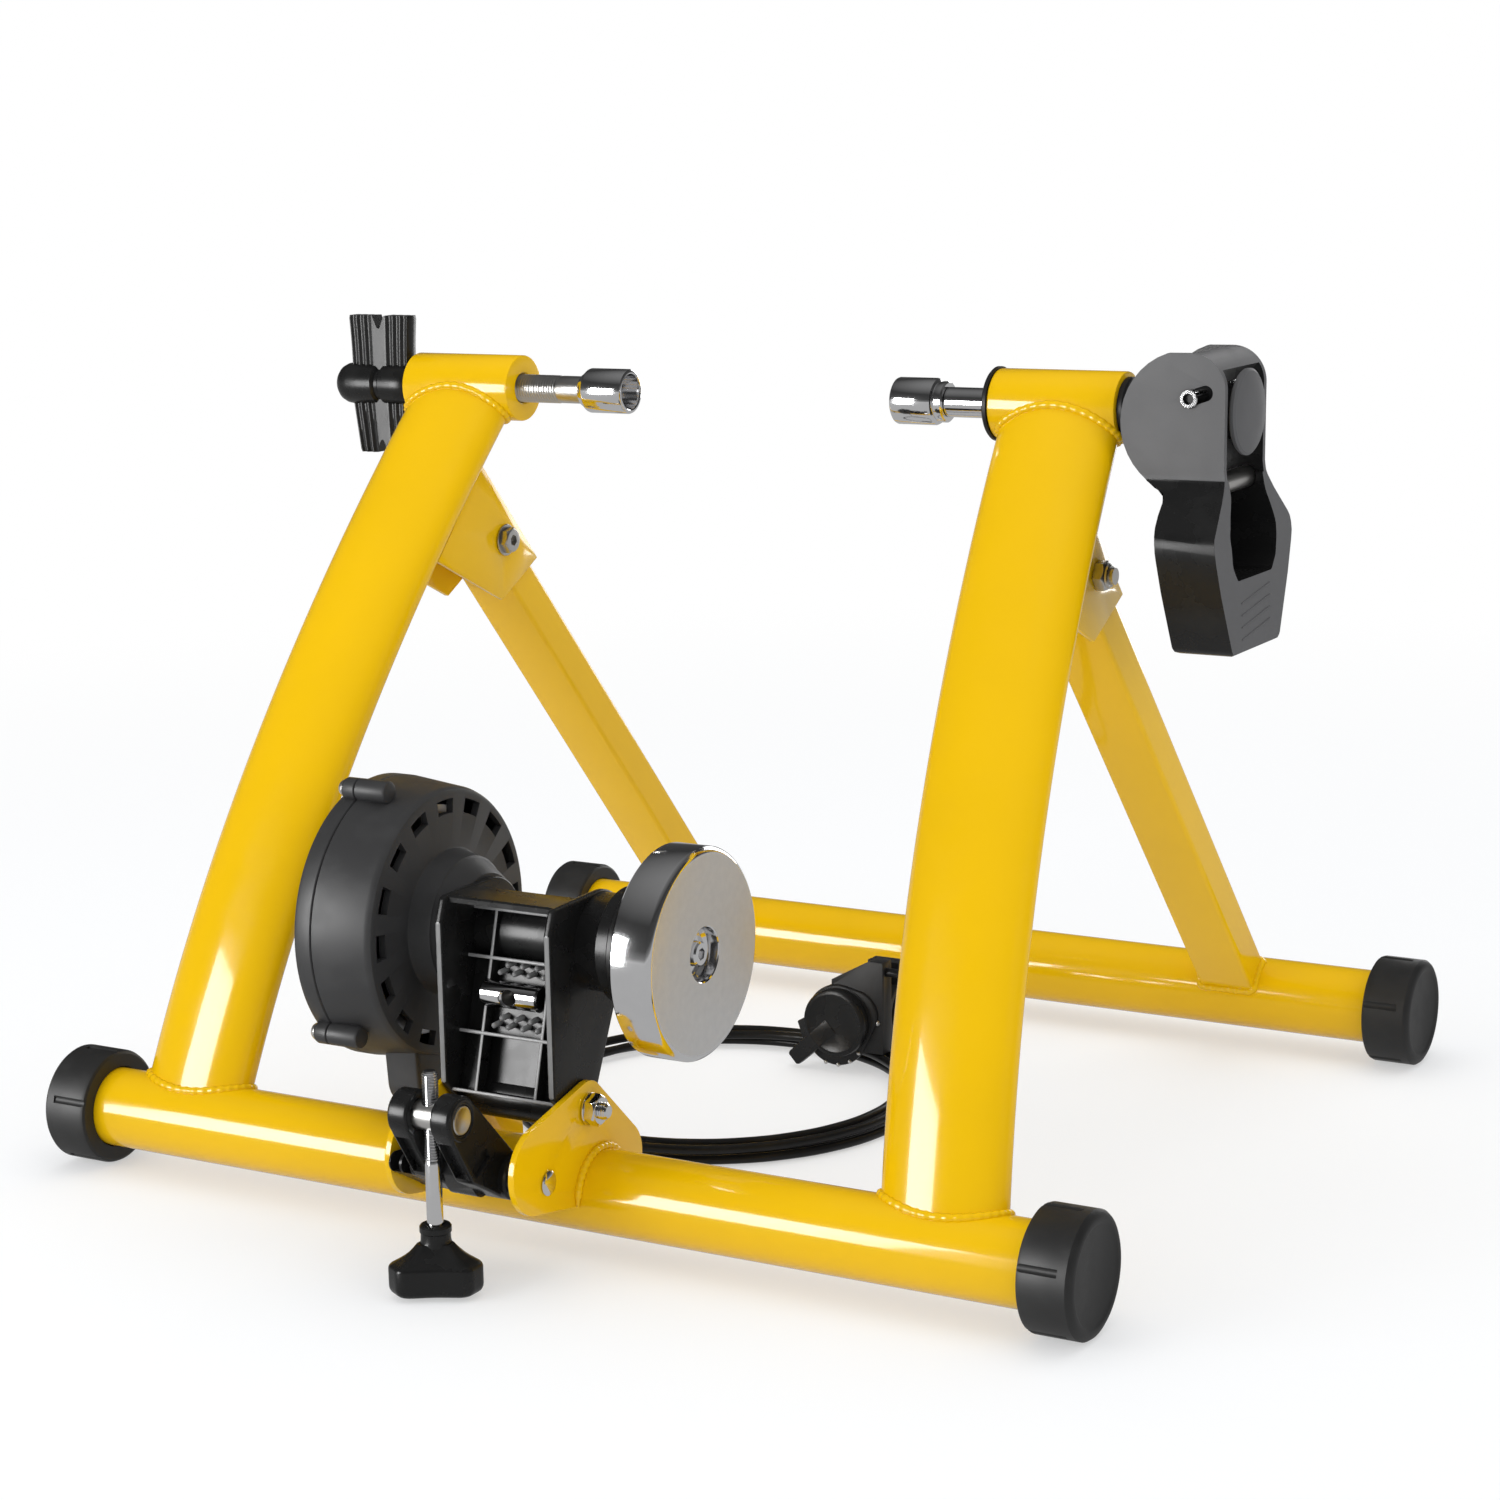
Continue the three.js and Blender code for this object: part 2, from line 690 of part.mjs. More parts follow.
unitLug("unit_lug_left", lugLeftX);
unitLug("unit_lug_right", lugFaceX - lugThickness);

const lugRightOut = lugFaceX + gap;
const lugLeftOut = lugLeftX - gap;
const unitBoltEnd = lugRightOut + unitBolt.nutThickness + unitBolt.tail;
add(
  "unit_pivot_bolt",
  join(
    rod("x", unitBolt.radius, lugLeftOut - unitBolt.head, unitBoltEnd, unitPivot, sides.small),
    rod("x", unitBolt.headRadius, lugLeftOut - unitBolt.head, lugLeftOut, unitPivot, sides.hex),
  ),
  finish.steel,
);
add(
  "unit_pivot_nut",
  cut(
    rod("x", unitBolt.headRadius, lugRightOut, lugRightOut + unitBolt.nutThickness, unitPivot, sides.hex),
    rod("x", unitBolt.radius + gap, lugFaceX, unitBoltEnd + overrun, unitPivot, sides.small),
  ),
  finish.steel,
);
add(
  "clevis_pivot_pin",
  join(
    rod("x", clevisPin.radius, lugLeftOut, lugRightOut, clevisPivot, sides.small),
    rod("x", clevisPin.headRadius, lugRightOut, lugRightOut + clevisPin.head, clevisPivot),
    rod("x", clevisPin.headRadius, lugLeftOut - clevisPin.head, lugLeftOut, clevisPivot),
  ),
  finish.steel,
);

// Arm of the resistance unit: two side walls, a hood, and a ladder of ribs that leans as the arm does
const arm = {
  leftX: lugLeftX + lugThickness + 2 * gap,
  rightX: lugFaceX - lugThickness - 2 * gap,
  wall: 3.5,
  front: -29.5,
  frontLow: 78,
  frontHigh: 149,
  pivotRadius: 10,
  headRadius: 23,
  hoodTop: 161,
  hoodFront: -23,
  hoodBack: -3,
  hoodThickness: 3,
  ladderFront: -13.4,
  ladderZ: 115.5,
  panelThickness: 3,
  ribThickness: 1.6,
  ribDepth: 7,
  ribHeights: [38.4, 16.8, -16.8, -43.2],
  shortRibHeight: -28.2,
  ribXs: [-17.8, 13.4],
  barrelRadius: 6,
  barrelBore: 3.9,
  barrelSink: 2,
  barrelHalf: 15,
  barrelX: -4.7,
};
const bearing = { radius: 11, width: 7, leftX: -48, rightX: 30 };
const hub = { rootRadius: 22, rootX: 39, ringRadius: 26, ringX: 47, tipRadius: 29.5, tipX: 58.5 };
const armLean = Math.atan2(unitAxis.y - unitPivot.y, unitAxis.z - unitPivot.z);
const armBarrelAt = { y: arm.ladderFront + arm.barrelSink, z: arm.ladderZ };

// The ladder of ribs and its back panel, made upright about its front's middle and then leant back
function armLadder() {
  const [top, upper, lower, bottom] = arm.ribHeights;
  const rib = (left, right, height) =>
    box(
      { x: left, y: 0, z: height - arm.ribThickness },
      { x: right, y: arm.ribDepth + overrun, z: height },
    );
  const panel = box(
    { x: arm.leftX, y: arm.ribDepth, z: bottom - arm.ribThickness },
    { x: arm.rightX, y: arm.ribDepth + arm.panelThickness, z: upper - overrun },
  );
  const shelves = [top, upper, lower, bottom].map((height) => rib(arm.leftX, arm.rightX, height));
  const posts = arm.ribXs.map((x) =>
    box(
      { x: x - arm.ribThickness / 2, y: 0, z: bottom - arm.ribThickness },
      { x: x + arm.ribThickness / 2, y: arm.ribDepth + overrun, z: top },
    ),
  );
  return join(panel, ...shelves, ...posts, rib(...arm.ribXs, arm.shortRibHeight))
    .rotate([-THREE.MathUtils.radToDeg(armLean), 0, 0])
    .translate([0, arm.ladderFront, arm.ladderZ]);
}

function unitArm() {
  const wallOutline = [
    { y: arm.front, z: arm.frontLow },
    ...belt("x", [
      { ...unitPivot, r: arm.pivotRadius },
      { ...unitAxis, r: arm.headRadius },
      { y: arm.hoodFront, z: arm.hoodTop - arm.hoodThickness, r: arm.hoodThickness },
      { y: arm.front + arm.hoodThickness, z: arm.frontHigh, r: arm.hoodThickness },
      { y: arm.front + arm.hoodThickness, z: arm.frontLow, r: arm.hoodThickness },
    ]),
  ].slice(1);
  const walls = [
    plate("x", wallOutline, arm.leftX, arm.leftX + arm.wall),
    plate("x", wallOutline, arm.rightX - arm.wall, arm.rightX),
  ];
  const hood = box(
    { x: arm.leftX, y: arm.hoodFront, z: arm.hoodTop - arm.hoodThickness },
    { x: arm.rightX, y: arm.hoodBack, z: arm.hoodTop },
  );
  const pivotBarrel = rod("x", arm.pivotRadius, arm.leftX, arm.rightX, unitPivot);
  const hubSolid = turned("x", [
    [arm.rightX - arm.wall, hub.rootRadius],
    [hub.rootX, hub.rootRadius],
    [hub.rootX, hub.ringRadius],
    [hub.ringX, hub.ringRadius],
    [hub.ringX, hub.tipRadius],
    [hub.tipX, hub.tipRadius],
  ], unitAxis, sides.large);
  const body = join(...walls, hood, armLadder(), pivotBarrel, hubSolid);
  const reach = [arm.leftX - overrun, hub.tipX + overrun];
  const seat = rod(
    "x",
    arm.barrelRadius + gap,
    arm.barrelX - arm.barrelHalf - gap,
    arm.barrelX + arm.barrelHalf + gap,
    armBarrelAt,
  );
  const rollerRoom = rod(
    "x",
    rollerRadius + overrun,
    arm.leftX + arm.wall,
    arm.rightX - arm.wall,
    unitAxis,
    sides.large,
  );
  add(
    "unit_arm",
    cut(
      body,
      rollerRoom,
      rod("x", shaftRadius + overrun, ...reach, unitAxis),
      rod("x", bearing.radius + gap, bearing.rightX, bearing.rightX + bearing.width + gap, unitAxis),
      rod("x", bearing.radius - overrun, bearing.rightX, reach[1], unitAxis),
      rod("x", unitBolt.radius + gap, ...reach, unitPivot),
      seat,
      rod("y", arm.barrelBore, arm.front, unitAxis.y, { x: arm.barrelX, z: arm.ladderZ }, sides.small),
    ),
    finish.black,
  );
}

function armBarrel() {
  const bar = rod(
    "x",
    arm.barrelRadius,
    arm.barrelX - arm.barrelHalf,
    arm.barrelX + arm.barrelHalf,
    armBarrelAt,
  );
  const boreAt = { x: arm.barrelX, z: arm.ladderZ };
  const bore = rod("y", arm.barrelBore, arm.front, unitAxis.y, boreAt, sides.small);
  add("unit_barrel_nut", cut(bar, bore), finish.chrome);
}

// Drum housing with its vents, hub and lower leg, closed by a screwed cover
const drum = {
  wall: 3,
  faceThickness: 3.5,
  bevel: 3,
  edge: 1,
  hubFootRadius: 33,
  hubStepRadius: 30,
  hubStep: 11,
  hubTipRadius: 24,
  ventInner: 49.5,
  ventOuter: 56.5,
  ventCount: 16,
  ventShare: 0.6,
  bossRadius: 5.2,
  bossReach: 67,
  bossFrontX: -67.5,
  bossAngles: [110, 220, 330],
  footRadius: 12,
  footLeftX: -74,
  footRightX: -56,
  screwRadius: 2,
  screwHeadRadius: 4,
  screwHead: 2.5,
};
const hubTipX = arm.leftX - gap;
const bossAt = (angle) => ({
  y: unitAxis.y + drum.bossReach * Math.cos(THREE.MathUtils.degToRad(angle)),
  z: unitAxis.z + drum.bossReach * Math.sin(THREE.MathUtils.degToRad(angle)),
});

// The tapering outside of the drum, let out by a clearance
function drumSkin(clearance) {
  return turned("x", [
    [seamX, drumRadius + clearance],
    [drumFaceX - drum.bevel, drumFaceRadius + drum.edge + clearance],
    [drumFaceX + clearance, drumFaceRadius - drum.edge + clearance],
  ], unitAxis, sides.drum);
}

function ventOutline(index) {
  const pitch = (2 * Math.PI) / drum.ventCount;
  const middle = index * pitch;
  const half = (pitch * drum.ventShare) / 2;
  const corners = [
    [drum.ventInner, -half],
    [drum.ventOuter, -half],
    [drum.ventOuter, half],
    [drum.ventInner, half],
  ];
  return corners.map(([radius, turn]) => ({
    y: unitAxis.y + radius * Math.cos(middle + turn),
    z: unitAxis.z + radius * Math.sin(middle + turn),
  }));
}

function unitHousing() {
  const shell = join(drumSkin(0), turned("x", [
    [drumFaceX - drum.bevel, drum.hubFootRadius],
    [drumFaceX, drum.hubFootRadius],
    [drumFaceX + drum.hubStep, drum.hubStepRadius],
    [hubTipX, drum.hubTipRadius],
  ], unitAxis, sides.drum));
  const lowerLeg = plate("x", belt("x", [
    { ...unitPivot, y: unitPivot.y + drum.footRadius / 2, r: drum.footRadius },
    { ...unitAxis, r: drumRadius / 2 },
  ]), drum.footLeftX, drum.footRightX);
  const bosses = drum.bossAngles.map((angle) =>
    rod("x", drum.bossRadius, seamX, drum.bossFrontX, bossAt(angle)),
  );
  const innerFaceX = drumFaceX - drum.faceThickness;
  const cavity = turned("x", [
    [seamX - overrun, drumRadius - drum.wall],
    [seamX, drumRadius - drum.wall],
    [innerFaceX, drumFaceRadius - drum.wall],
  ], unitAxis, sides.drum);
  const vents = Array.from({ length: drum.ventCount }, (_, i) =>
    plate("x", ventOutline(i), drumFaceX - drum.faceThickness - overrun, drumFaceX + overrun),
  );
  const reach = [drumFaceX - drum.faceThickness - overrun, hubTipX + overrun];
  const screwHoles = drum.bossAngles.map((angle) =>
    rod("x", drum.screwRadius + gap, seamX - overrun, drum.bossFrontX - overrun, bossAt(angle), sides.small),
  );
  add(
    "unit_housing",
    cut(
      join(shell, lowerLeg, ...bosses),
      cavity,
      ...vents,
      rod("x", shaftRadius + overrun, ...reach, unitAxis),
      rod("x", bearing.radius + gap, bearing.leftX, hubTipX + overrun, unitAxis),
      ...screwHoles,
    ),
    finish.black,
  );
}

const magnet = { radius: 52, thickness: 4, backX: -82, boreGap: 0.5, postRadius: 8, postX: -76.5 };

function unitCover() {
  const frontX = seamX - gap;
  const shell = turned("x", [
    [coverBackX, drumRadius - drum.bevel],
    [coverBackX + drum.bevel, drumRadius],
    [frontX, drumRadius],
  ], unitAxis, sides.drum);
  const bosses = drum.bossAngles.map((angle) =>
    rod("x", drum.bossRadius, coverBackX + drum.bevel, frontX, bossAt(angle)),
  );
  const innerRadius = drumRadius - drum.wall;
  const hollow = rod("x", innerRadius, coverBackX + drum.wall, frontX + overrun, unitAxis, sides.drum);
  const post = rod("x", magnet.postRadius, coverBackX + drum.wall / 2, magnet.postX, unitAxis);
  const screwHoles = drum.bossAngles.map((angle) =>
    rod("x", drum.screwRadius + gap, coverBackX - overrun, frontX + overrun, bossAt(angle), sides.small),
  );
  const headSeats = drum.bossAngles.map((angle) =>
    rod(
      "x",
      drum.screwHeadRadius + gap,
      coverBackX - overrun,
      coverBackX + drum.bevel,
      bossAt(angle),
      sides.small,
    ),
  );
  const body = join(cut(join(shell, ...bosses), hollow), post);
  add("unit_cover", cut(body, ...screwHoles, ...headSeats), finish.black);
}

function coverScrew(name, angle) {
  const backX = coverBackX + drum.bevel - gap;
  const at = bossAt(angle);
  const shank = rod("x", drum.screwRadius, backX, drum.bossFrontX - overrun - gap, at, sides.small);
  const head = rod("x", drum.screwHeadRadius, backX - drum.screwHead, backX, at, sides.small);
  add(name, join(shank, head), finish.steel);
}

function bearingRing(name, from) {
  const ring = rod("x", bearing.radius, from, from + bearing.width, unitAxis);
  const bore = rod("x", shaftRadius + gap, from - overrun, from + bearing.width + overrun, unitAxis);
  add(name, cut(ring, bore), finish.steel);
}

unitArm();
armBarrel();
unitHousing();
unitCover();
drum.bossAngles.forEach((angle, i) => coverScrew(`cover_screw_${i + 1}`, angle));
bearingRing("bearing_left", bearing.leftX + gap);
bearingRing("bearing_right", bearing.rightX + gap);

// Magnet carrier that the shifter turns inside the drum
const magnetFrontX = magnet.backX + magnet.thickness;
const magnetDisc = rod("x", magnet.radius, magnet.backX, magnetFrontX, unitAxis, sides.large);
const magnetBore = rod(
  "x",
  magnet.postRadius + magnet.boreGap,
  magnet.backX - overrun,
  magnetFrontX + overrun,
  unitAxis,
);
add("magnet_plate", cut(magnetDisc, magnetBore), finish.steel);

// Roller, flywheel and rotor on one shaft
const shaft = { leftX: -75.5, rightX: 68 };
const roller = { endPlay: 1 };
const flywheel = { bevel: 1.5, recessRadius: 12, recessDepth: 7 };
const flywheelBolt = { radius: 5.5, head: 5 };
const rotor = { radius: 53, thickness: 4, rightX: -64 };

function boredDisc(name, radius, from, to, count, material) {
  const bore = rod("x", shaftRadius + gap, from - overrun, to + overrun, unitAxis);
  add(name, cut(rod("x", radius, from, to, unitAxis, count), bore), material);
}

add("roller_shaft", rod("x", shaftRadius, shaft.leftX, shaft.rightX, unitAxis), finish.steel);
boredDisc(
  "roller",
  rollerRadius,
  arm.leftX + arm.wall + roller.endPlay,
  arm.rightX - arm.wall - roller.endPlay,
  sides.large,
  finish.steel,
);
boredDisc(
  "rotor_disc",
  rotor.radius,
  rotor.rightX - rotor.thickness,
  rotor.rightX,
  sides.large,
  finish.steel,
);

function flywheelDisc() {
  const backX = flywheelFaceX - flywheelThickness;
  const disc = turned("x", [
    [backX, flywheelRadius - flywheel.bevel],
    [backX + flywheel.bevel, flywheelRadius],
    [flywheelFaceX - flywheel.bevel, flywheelRadius],
    [flywheelFaceX, flywheelRadius - flywheel.bevel],
  ], unitAxis, sides.drum);
  const recessFloor = flywheelFaceX - flywheel.recessDepth;
  const recess = rod("x", flywheel.recessRadius, recessFloor, flywheelFaceX + overrun, unitAxis);
  const bore = rod("x", shaftRadius + gap, backX - overrun, flywheelFaceX, unitAxis);
  add("flywheel", cut(disc, recess, bore), finish.chrome);
  const headBack = recessFloor + gap;
  const stem = rod("x", shaftRadius, shaft.rightX + gap, headBack + gap, unitAxis);
  const head = rod("x", flywheelBolt.radius, headBack, headBack + flywheelBolt.head, unitAxis);
  add("flywheel_bolt", join(stem, head), finish.steel);
}

flywheelDisc();

// Adjuster: a clevis on the front lugs, a cross barrel, and the threaded rod with its star knob
const clevis = {
  middleX: -5,
  ear: { y: -77, z: 79 },
  earRadius: 10.5,
  toe: { y: -66.5, z: 51.5 },
  toeRadius: 4.5,
  webTop: 61,
  earHalf: 16,
  slotHalf: 6,
  hubRadius: 10,
  webFront: -64,
};
const adjuster = {
  barrelRadius: 6.5,
  rodRadius: 3.6,
  rodAbove: 20,
  neckRadius: 7,
  neckHeight: 11,
  bodyHeight: 18,
  bodyRadius: 21.5,
  valleyRadius: 15.5,
  floorGap: 1.5,
  lobes: 3,
  lobeTurn: 0,
  lowEdge: 2,
  highEdge: 4,
  lowShare: 0.87,
  highShare: 0.72,
};
const adjusterAxis = { x: clevis.middleX, y: clevis.ear.y };

function adjusterClevis() {
  const profile = belt("x", [
    { ...clevis.ear, r: clevis.earRadius },
    { ...clevis.toe, r: clevis.toeRadius },
    { ...clevisPivot, r: clevis.hubRadius },
  ]);
  const [left, right] = [clevis.middleX - clevis.earHalf, clevis.middleX + clevis.earHalf];
  const block = plate("x", profile, left, right);
  const foot = plate("x", belt("x", [
    { ...clevis.toe, r: clevis.toeRadius },
    { ...clevisPivot, r: clevis.hubRadius },
  ]), arm.leftX, right);
  const hub = rod("x", clevis.hubRadius, arm.leftX, arm.rightX, clevisPivot);
  const slotTop = clevis.ear.z + clevis.earRadius + overrun;
  const slotFloor = clevisPivot.z - clevis.hubRadius - overrun;
  const rodSlot = box(
    { x: clevis.middleX - clevis.slotHalf, y: clevis.ear.y - 2 * clevis.earRadius, z: slotFloor },
    { x: clevis.middleX + clevis.slotHalf, y: clevis.webFront, z: slotTop },
  );
  const topSlot = box(
    { x: clevis.middleX - clevis.slotHalf, y: clevis.webFront - overrun, z: clevis.webTop },
    { x: clevis.middleX + clevis.slotHalf, y: clevisPivot.y - clevis.hubRadius, z: slotTop },
  );
  add(
    "adjuster_clevis",
    cut(
      join(block, foot, hub),
      rodSlot,
      topSlot,
      rod("x", adjuster.barrelRadius + gap, left - overrun, right + overrun, clevis.ear),
      rod("x", clevisPin.radius + gap, arm.leftX - overrun, arm.rightX + overrun, clevisPivot),
    ),
    finish.black,
  );
}

function crossBarrel() {
  const half = clevis.earHalf + gap;
  const bar = rod("x", adjuster.barrelRadius, clevis.middleX - half, clevis.middleX + half, clevis.ear);
  const reach = adjuster.barrelRadius + overrun;
  const hole = rod(
    "z",
    adjuster.rodRadius + gap,
    clevis.ear.z - reach,
    clevis.ear.z + reach,
    adjusterAxis,
    sides.small,
  );
  add("adjuster_barrel", cut(bar, hole), finish.chrome);
}

const knobTopZ = adjuster.floorGap + adjuster.bodyHeight + adjuster.neckHeight;

function adjusterRod() {
  const bottom = adjuster.floorGap + adjuster.bodyHeight;
  const rodSolid = rod(
    "z",
    adjuster.rodRadius,
    bottom + gap,
    clevis.ear.z + adjuster.rodAbove,
    adjusterAxis,
    sides.small,
  );
  add("adjuster_rod", rodSolid, finish.steel);
}

function starKnob() {
  const steps = 2 * sides.middle - (2 * sides.middle) % adjuster.lobes;
  const middleRadius = (adjuster.bodyRadius + adjuster.valleyRadius) / 2;
  const swing = (adjuster.bodyRadius - adjuster.valleyRadius) / 2;
  const ringAt = (z, share) =>
    Array.from({ length: steps }, (_, i) => {
      const angle = (2 * Math.PI * i) / steps;
      const wave = Math.cos(adjuster.lobes * (angle - THREE.MathUtils.degToRad(adjuster.lobeTurn)));
      const radius = share * (middleRadius + swing * wave);
      const [x, y] = [adjusterAxis.x + radius * Math.cos(angle), adjusterAxis.y + radius * Math.sin(angle)];
      return new THREE.Vector3(x, y, z);
    });
  const [low, high] = [adjuster.floorGap, adjuster.floorGap + adjuster.bodyHeight];
  const body = loft([
    ringAt(low, adjuster.lowShare),
    ringAt(low + adjuster.lowEdge, 1),
    ringAt(high - adjuster.highEdge, 1),
    ringAt(high, adjuster.highShare),
  ]);
  const neck = rod("z", adjuster.neckRadius, high - overrun, knobTopZ, adjusterAxis);
  const socket = rod("z", adjuster.rodRadius + gap, high, knobTopZ + overrun, adjusterAxis, sides.small);
  add("adjuster_knob", cut(join(body, neck), socket), finish.black);
}

adjusterClevis();
crossBarrel();
adjusterRod();
starKnob();

// Cable gland under the drum
const cableRadius = 2.3;
const gland = { x: -68, turn: 300, radius: 5, length: 12 };
const glandTurn = THREE.MathUtils.degToRad(gland.turn);
const glandOut = new THREE.Vector3(0, Math.cos(glandTurn), Math.sin(glandTurn));
const glandPoint = (reach) =>
  new THREE.Vector3(gland.x, unitAxis.y, unitAxis.z).addScaledVector(glandOut, reach);

function cableGland() {
  const length = gland.length + overrun;
  const stub = new THREE.CylinderGeometry(gland.radius, gland.radius, length, sides.middle);
  const bore = new THREE.CylinderGeometry(cableRadius + gap, cableRadius + gap, 2 * length, sides.small);
  const turn = new THREE.Quaternion().setFromUnitVectors(new THREE.Vector3(0, 1, 0), glandOut);
  const middle = glandPoint(drumRadius + length / 2 - overrun);
  for (const piece of [stub, bore]) {
    piece.applyQuaternion(turn).translate(middle.x, middle.y, middle.z);
  }
  add("cable_gland", cut(solidOf(stub), solidOf(bore), drumSkin(gap)), finish.black);
}

cableGland();

// Cable coil lying on the floor: one tube that spirals in, climbs a layer and spirals out
const coil = {
  x: -35,
  y: 213,
  radius: 105,
  pitch: 8,
  turns: 3.28,
  startTurn: 20,
  driftShare: 0.22,
  layer: 5.6,
  climbTurns: 0.25,
  floor: 0.15,
  stepsPerTurn: 24,
};
const coilLow = coil.floor + cableRadius;

function coilPoint(turns) {
  const inward = coil.pitch * Math.min(turns, coil.turns - turns);
  const angle = THREE.MathUtils.degToRad(coil.startTurn) - 2 * Math.PI * turns;
  const middle = coil.turns / 2;
  const climb = THREE.MathUtils.smoothstep(turns, middle - coil.climbTurns, middle + coil.climbTurns);
  return new THREE.Vector3(
    coil.x + (coil.radius - inward) * Math.cos(angle),
    coil.y + coil.driftShare * inward + (coil.radius - inward) * Math.sin(angle),
    coilLow + coil.layer * climb,
  );
}

// Rings of a round tube through points, kept from twisting
function tubeRings(points, radius, count) {
  const up = new THREE.Vector3(0, 0, 1);
  return points.map((point, i) => {
    const ahead = points[Math.min(i + 1, points.length - 1)];
    const behind = points[Math.max(i - 1, 0)];
    const along = new THREE.Vector3().subVectors(ahead, behind).normalize();
    const side = new THREE.Vector3().crossVectors(along, up).normalize();
    const over = new THREE.Vector3().crossVectors(side, along);
    return Array.from({ length: count }, (_, k) => {
      const angle = (2 * Math.PI * k) / count;
      const offset = side.clone().multiplyScalar(radius * Math.cos(angle));
      return offset.addScaledVector(over, radius * Math.sin(angle)).add(point);
    });
  });
}

// The point a distance past an end, straight on from its neighbour
function beyond(end, next, distance) {
  const onward = end.clone().sub(next).normalize();
  return end.clone().addScaledVector(onward, distance);
}

function coilPath() {
  const steps = Math.round(coil.turns * coil.stepsPerTurn);
  const points = Array.from({ length: steps + 1 }, (_, i) => coilPoint((coil.turns * i) / steps));
  const first = beyond(points[0], points[1], 2 * cableRadius);
  return [first, ...points, beyond(points.at(-1), points.at(-2), 2 * cableRadius)];
}

function leastGap(points, radius) {
  let least = Infinity;
  const apart = Math.ceil(coil.stepsPerTurn / 2);
  const line = new THREE.Line3();
  const near = new THREE.Vector3();
  for (let i = 0; i < points.length; i += 1) {
    for (let k = i + apart; k + 1 < points.length; k += 1) {
      line.set(points[k], points[k + 1]).closestPointToPoint(points[i], true, near);
      least = Math.min(least, near.distanceTo(points[i]) - 2 * radius);
    }
  }
  return least;
}

const coilPoints = coilPath();
add("cable_coil", loft(tubeRings(coilPoints, cableRadius, sides.hex)), finish.black);
console.log("least gap of the coil to itself, mm:", leastGap(coilPoints, cableRadius).toFixed(2));

// Bar shifter lying on the coil, with its thumb lever and handlebar clamp
const shifter = {
  dialX: -3,
  dialZ: 26.5,
  frontY: 288,
  bodyRadius: 19,
  bodyThickness: 12,
  dialRadius: 18,
  dialThickness: 6,
  leverLength: 32,
  leverTurn: 222,
  leverHalf: 5,
  leverTipHalf: 4,
  pegRadius: 3,
  pegDepth: 5,
  plateLeftX: -8,
  plateRightX: 22,
  plateTopZ: 60,
  plateSlopeX: 14,
  plateSlopeZ: 48,
  plateThickness: 5,
  clampInner: 12.7,
  clampWall: 3,
  clampLeftX: 4,
  clampZ: 29,
  earHeight: 11,
  earThickness: 4,
  splitGap: 1.2,
  screwRadius: 1.8,
  screwHeadRadius: 3.4,
  outletDrop: 6,
};
const shifterBackY = shifter.frontY + shifter.bodyThickness;
const shifterLow = coilLow + coil.layer + cableRadius + gap;
const clampOuter = shifter.clampInner + shifter.clampWall;
const clampAt = { y: shifterBackY + clampOuter - shifter.clampWall, z: shifter.clampZ };
const earTopZ = clampAt.z + clampOuter + shifter.earHeight;
const cableOutlet = {
  y: shifterBackY - shifter.plateThickness,
  z: shifter.plateTopZ - shifter.outletDrop,
};

function clampRing() {
  return join(
    rod("x", clampOuter, shifter.clampLeftX, shifter.plateRightX, clampAt, sides.large),
    box(
      {
        x: shifter.clampLeftX,
        y: clampAt.y - shifter.earThickness - shifter.splitGap / 2,
        z: clampAt.z + shifter.clampInner,
      },
      {
        x: shifter.plateRightX,
        y: clampAt.y + shifter.earThickness + shifter.splitGap / 2,
        z: earTopZ,
      },
    ),
  );
}

// Everything in front of the clamp's split, or behind it
function clampSide(side) {
  const reach = 2 * clampOuter + shifter.earHeight;
  const near = clampAt.y + (side * shifter.splitGap) / 2;
  const [from, to] = side > 0 ? [near, near + reach] : [near - reach, near];
  return box(
    { x: shifter.clampLeftX - overrun, y: from, z: clampAt.z - reach },
    { x: shifter.plateRightX + overrun, y: to, z: clampAt.z + reach },
  );
}

function clampScrew(radius, headRadius) {
  const at = { x: (shifter.clampLeftX + shifter.plateRightX) / 2, z: earTopZ - shifter.earHeight / 2 };
  const front = clampAt.y - shifter.splitGap / 2 - shifter.earThickness + overrun;
  const back = clampAt.y + shifter.splitGap / 2 + shifter.earThickness + gap;
  const shank = rod("y", radius, front, back, at, sides.small);
  const head = rod("y", headRadius, back, back + overrun, at, sides.small);
  return join(shank, head);
}

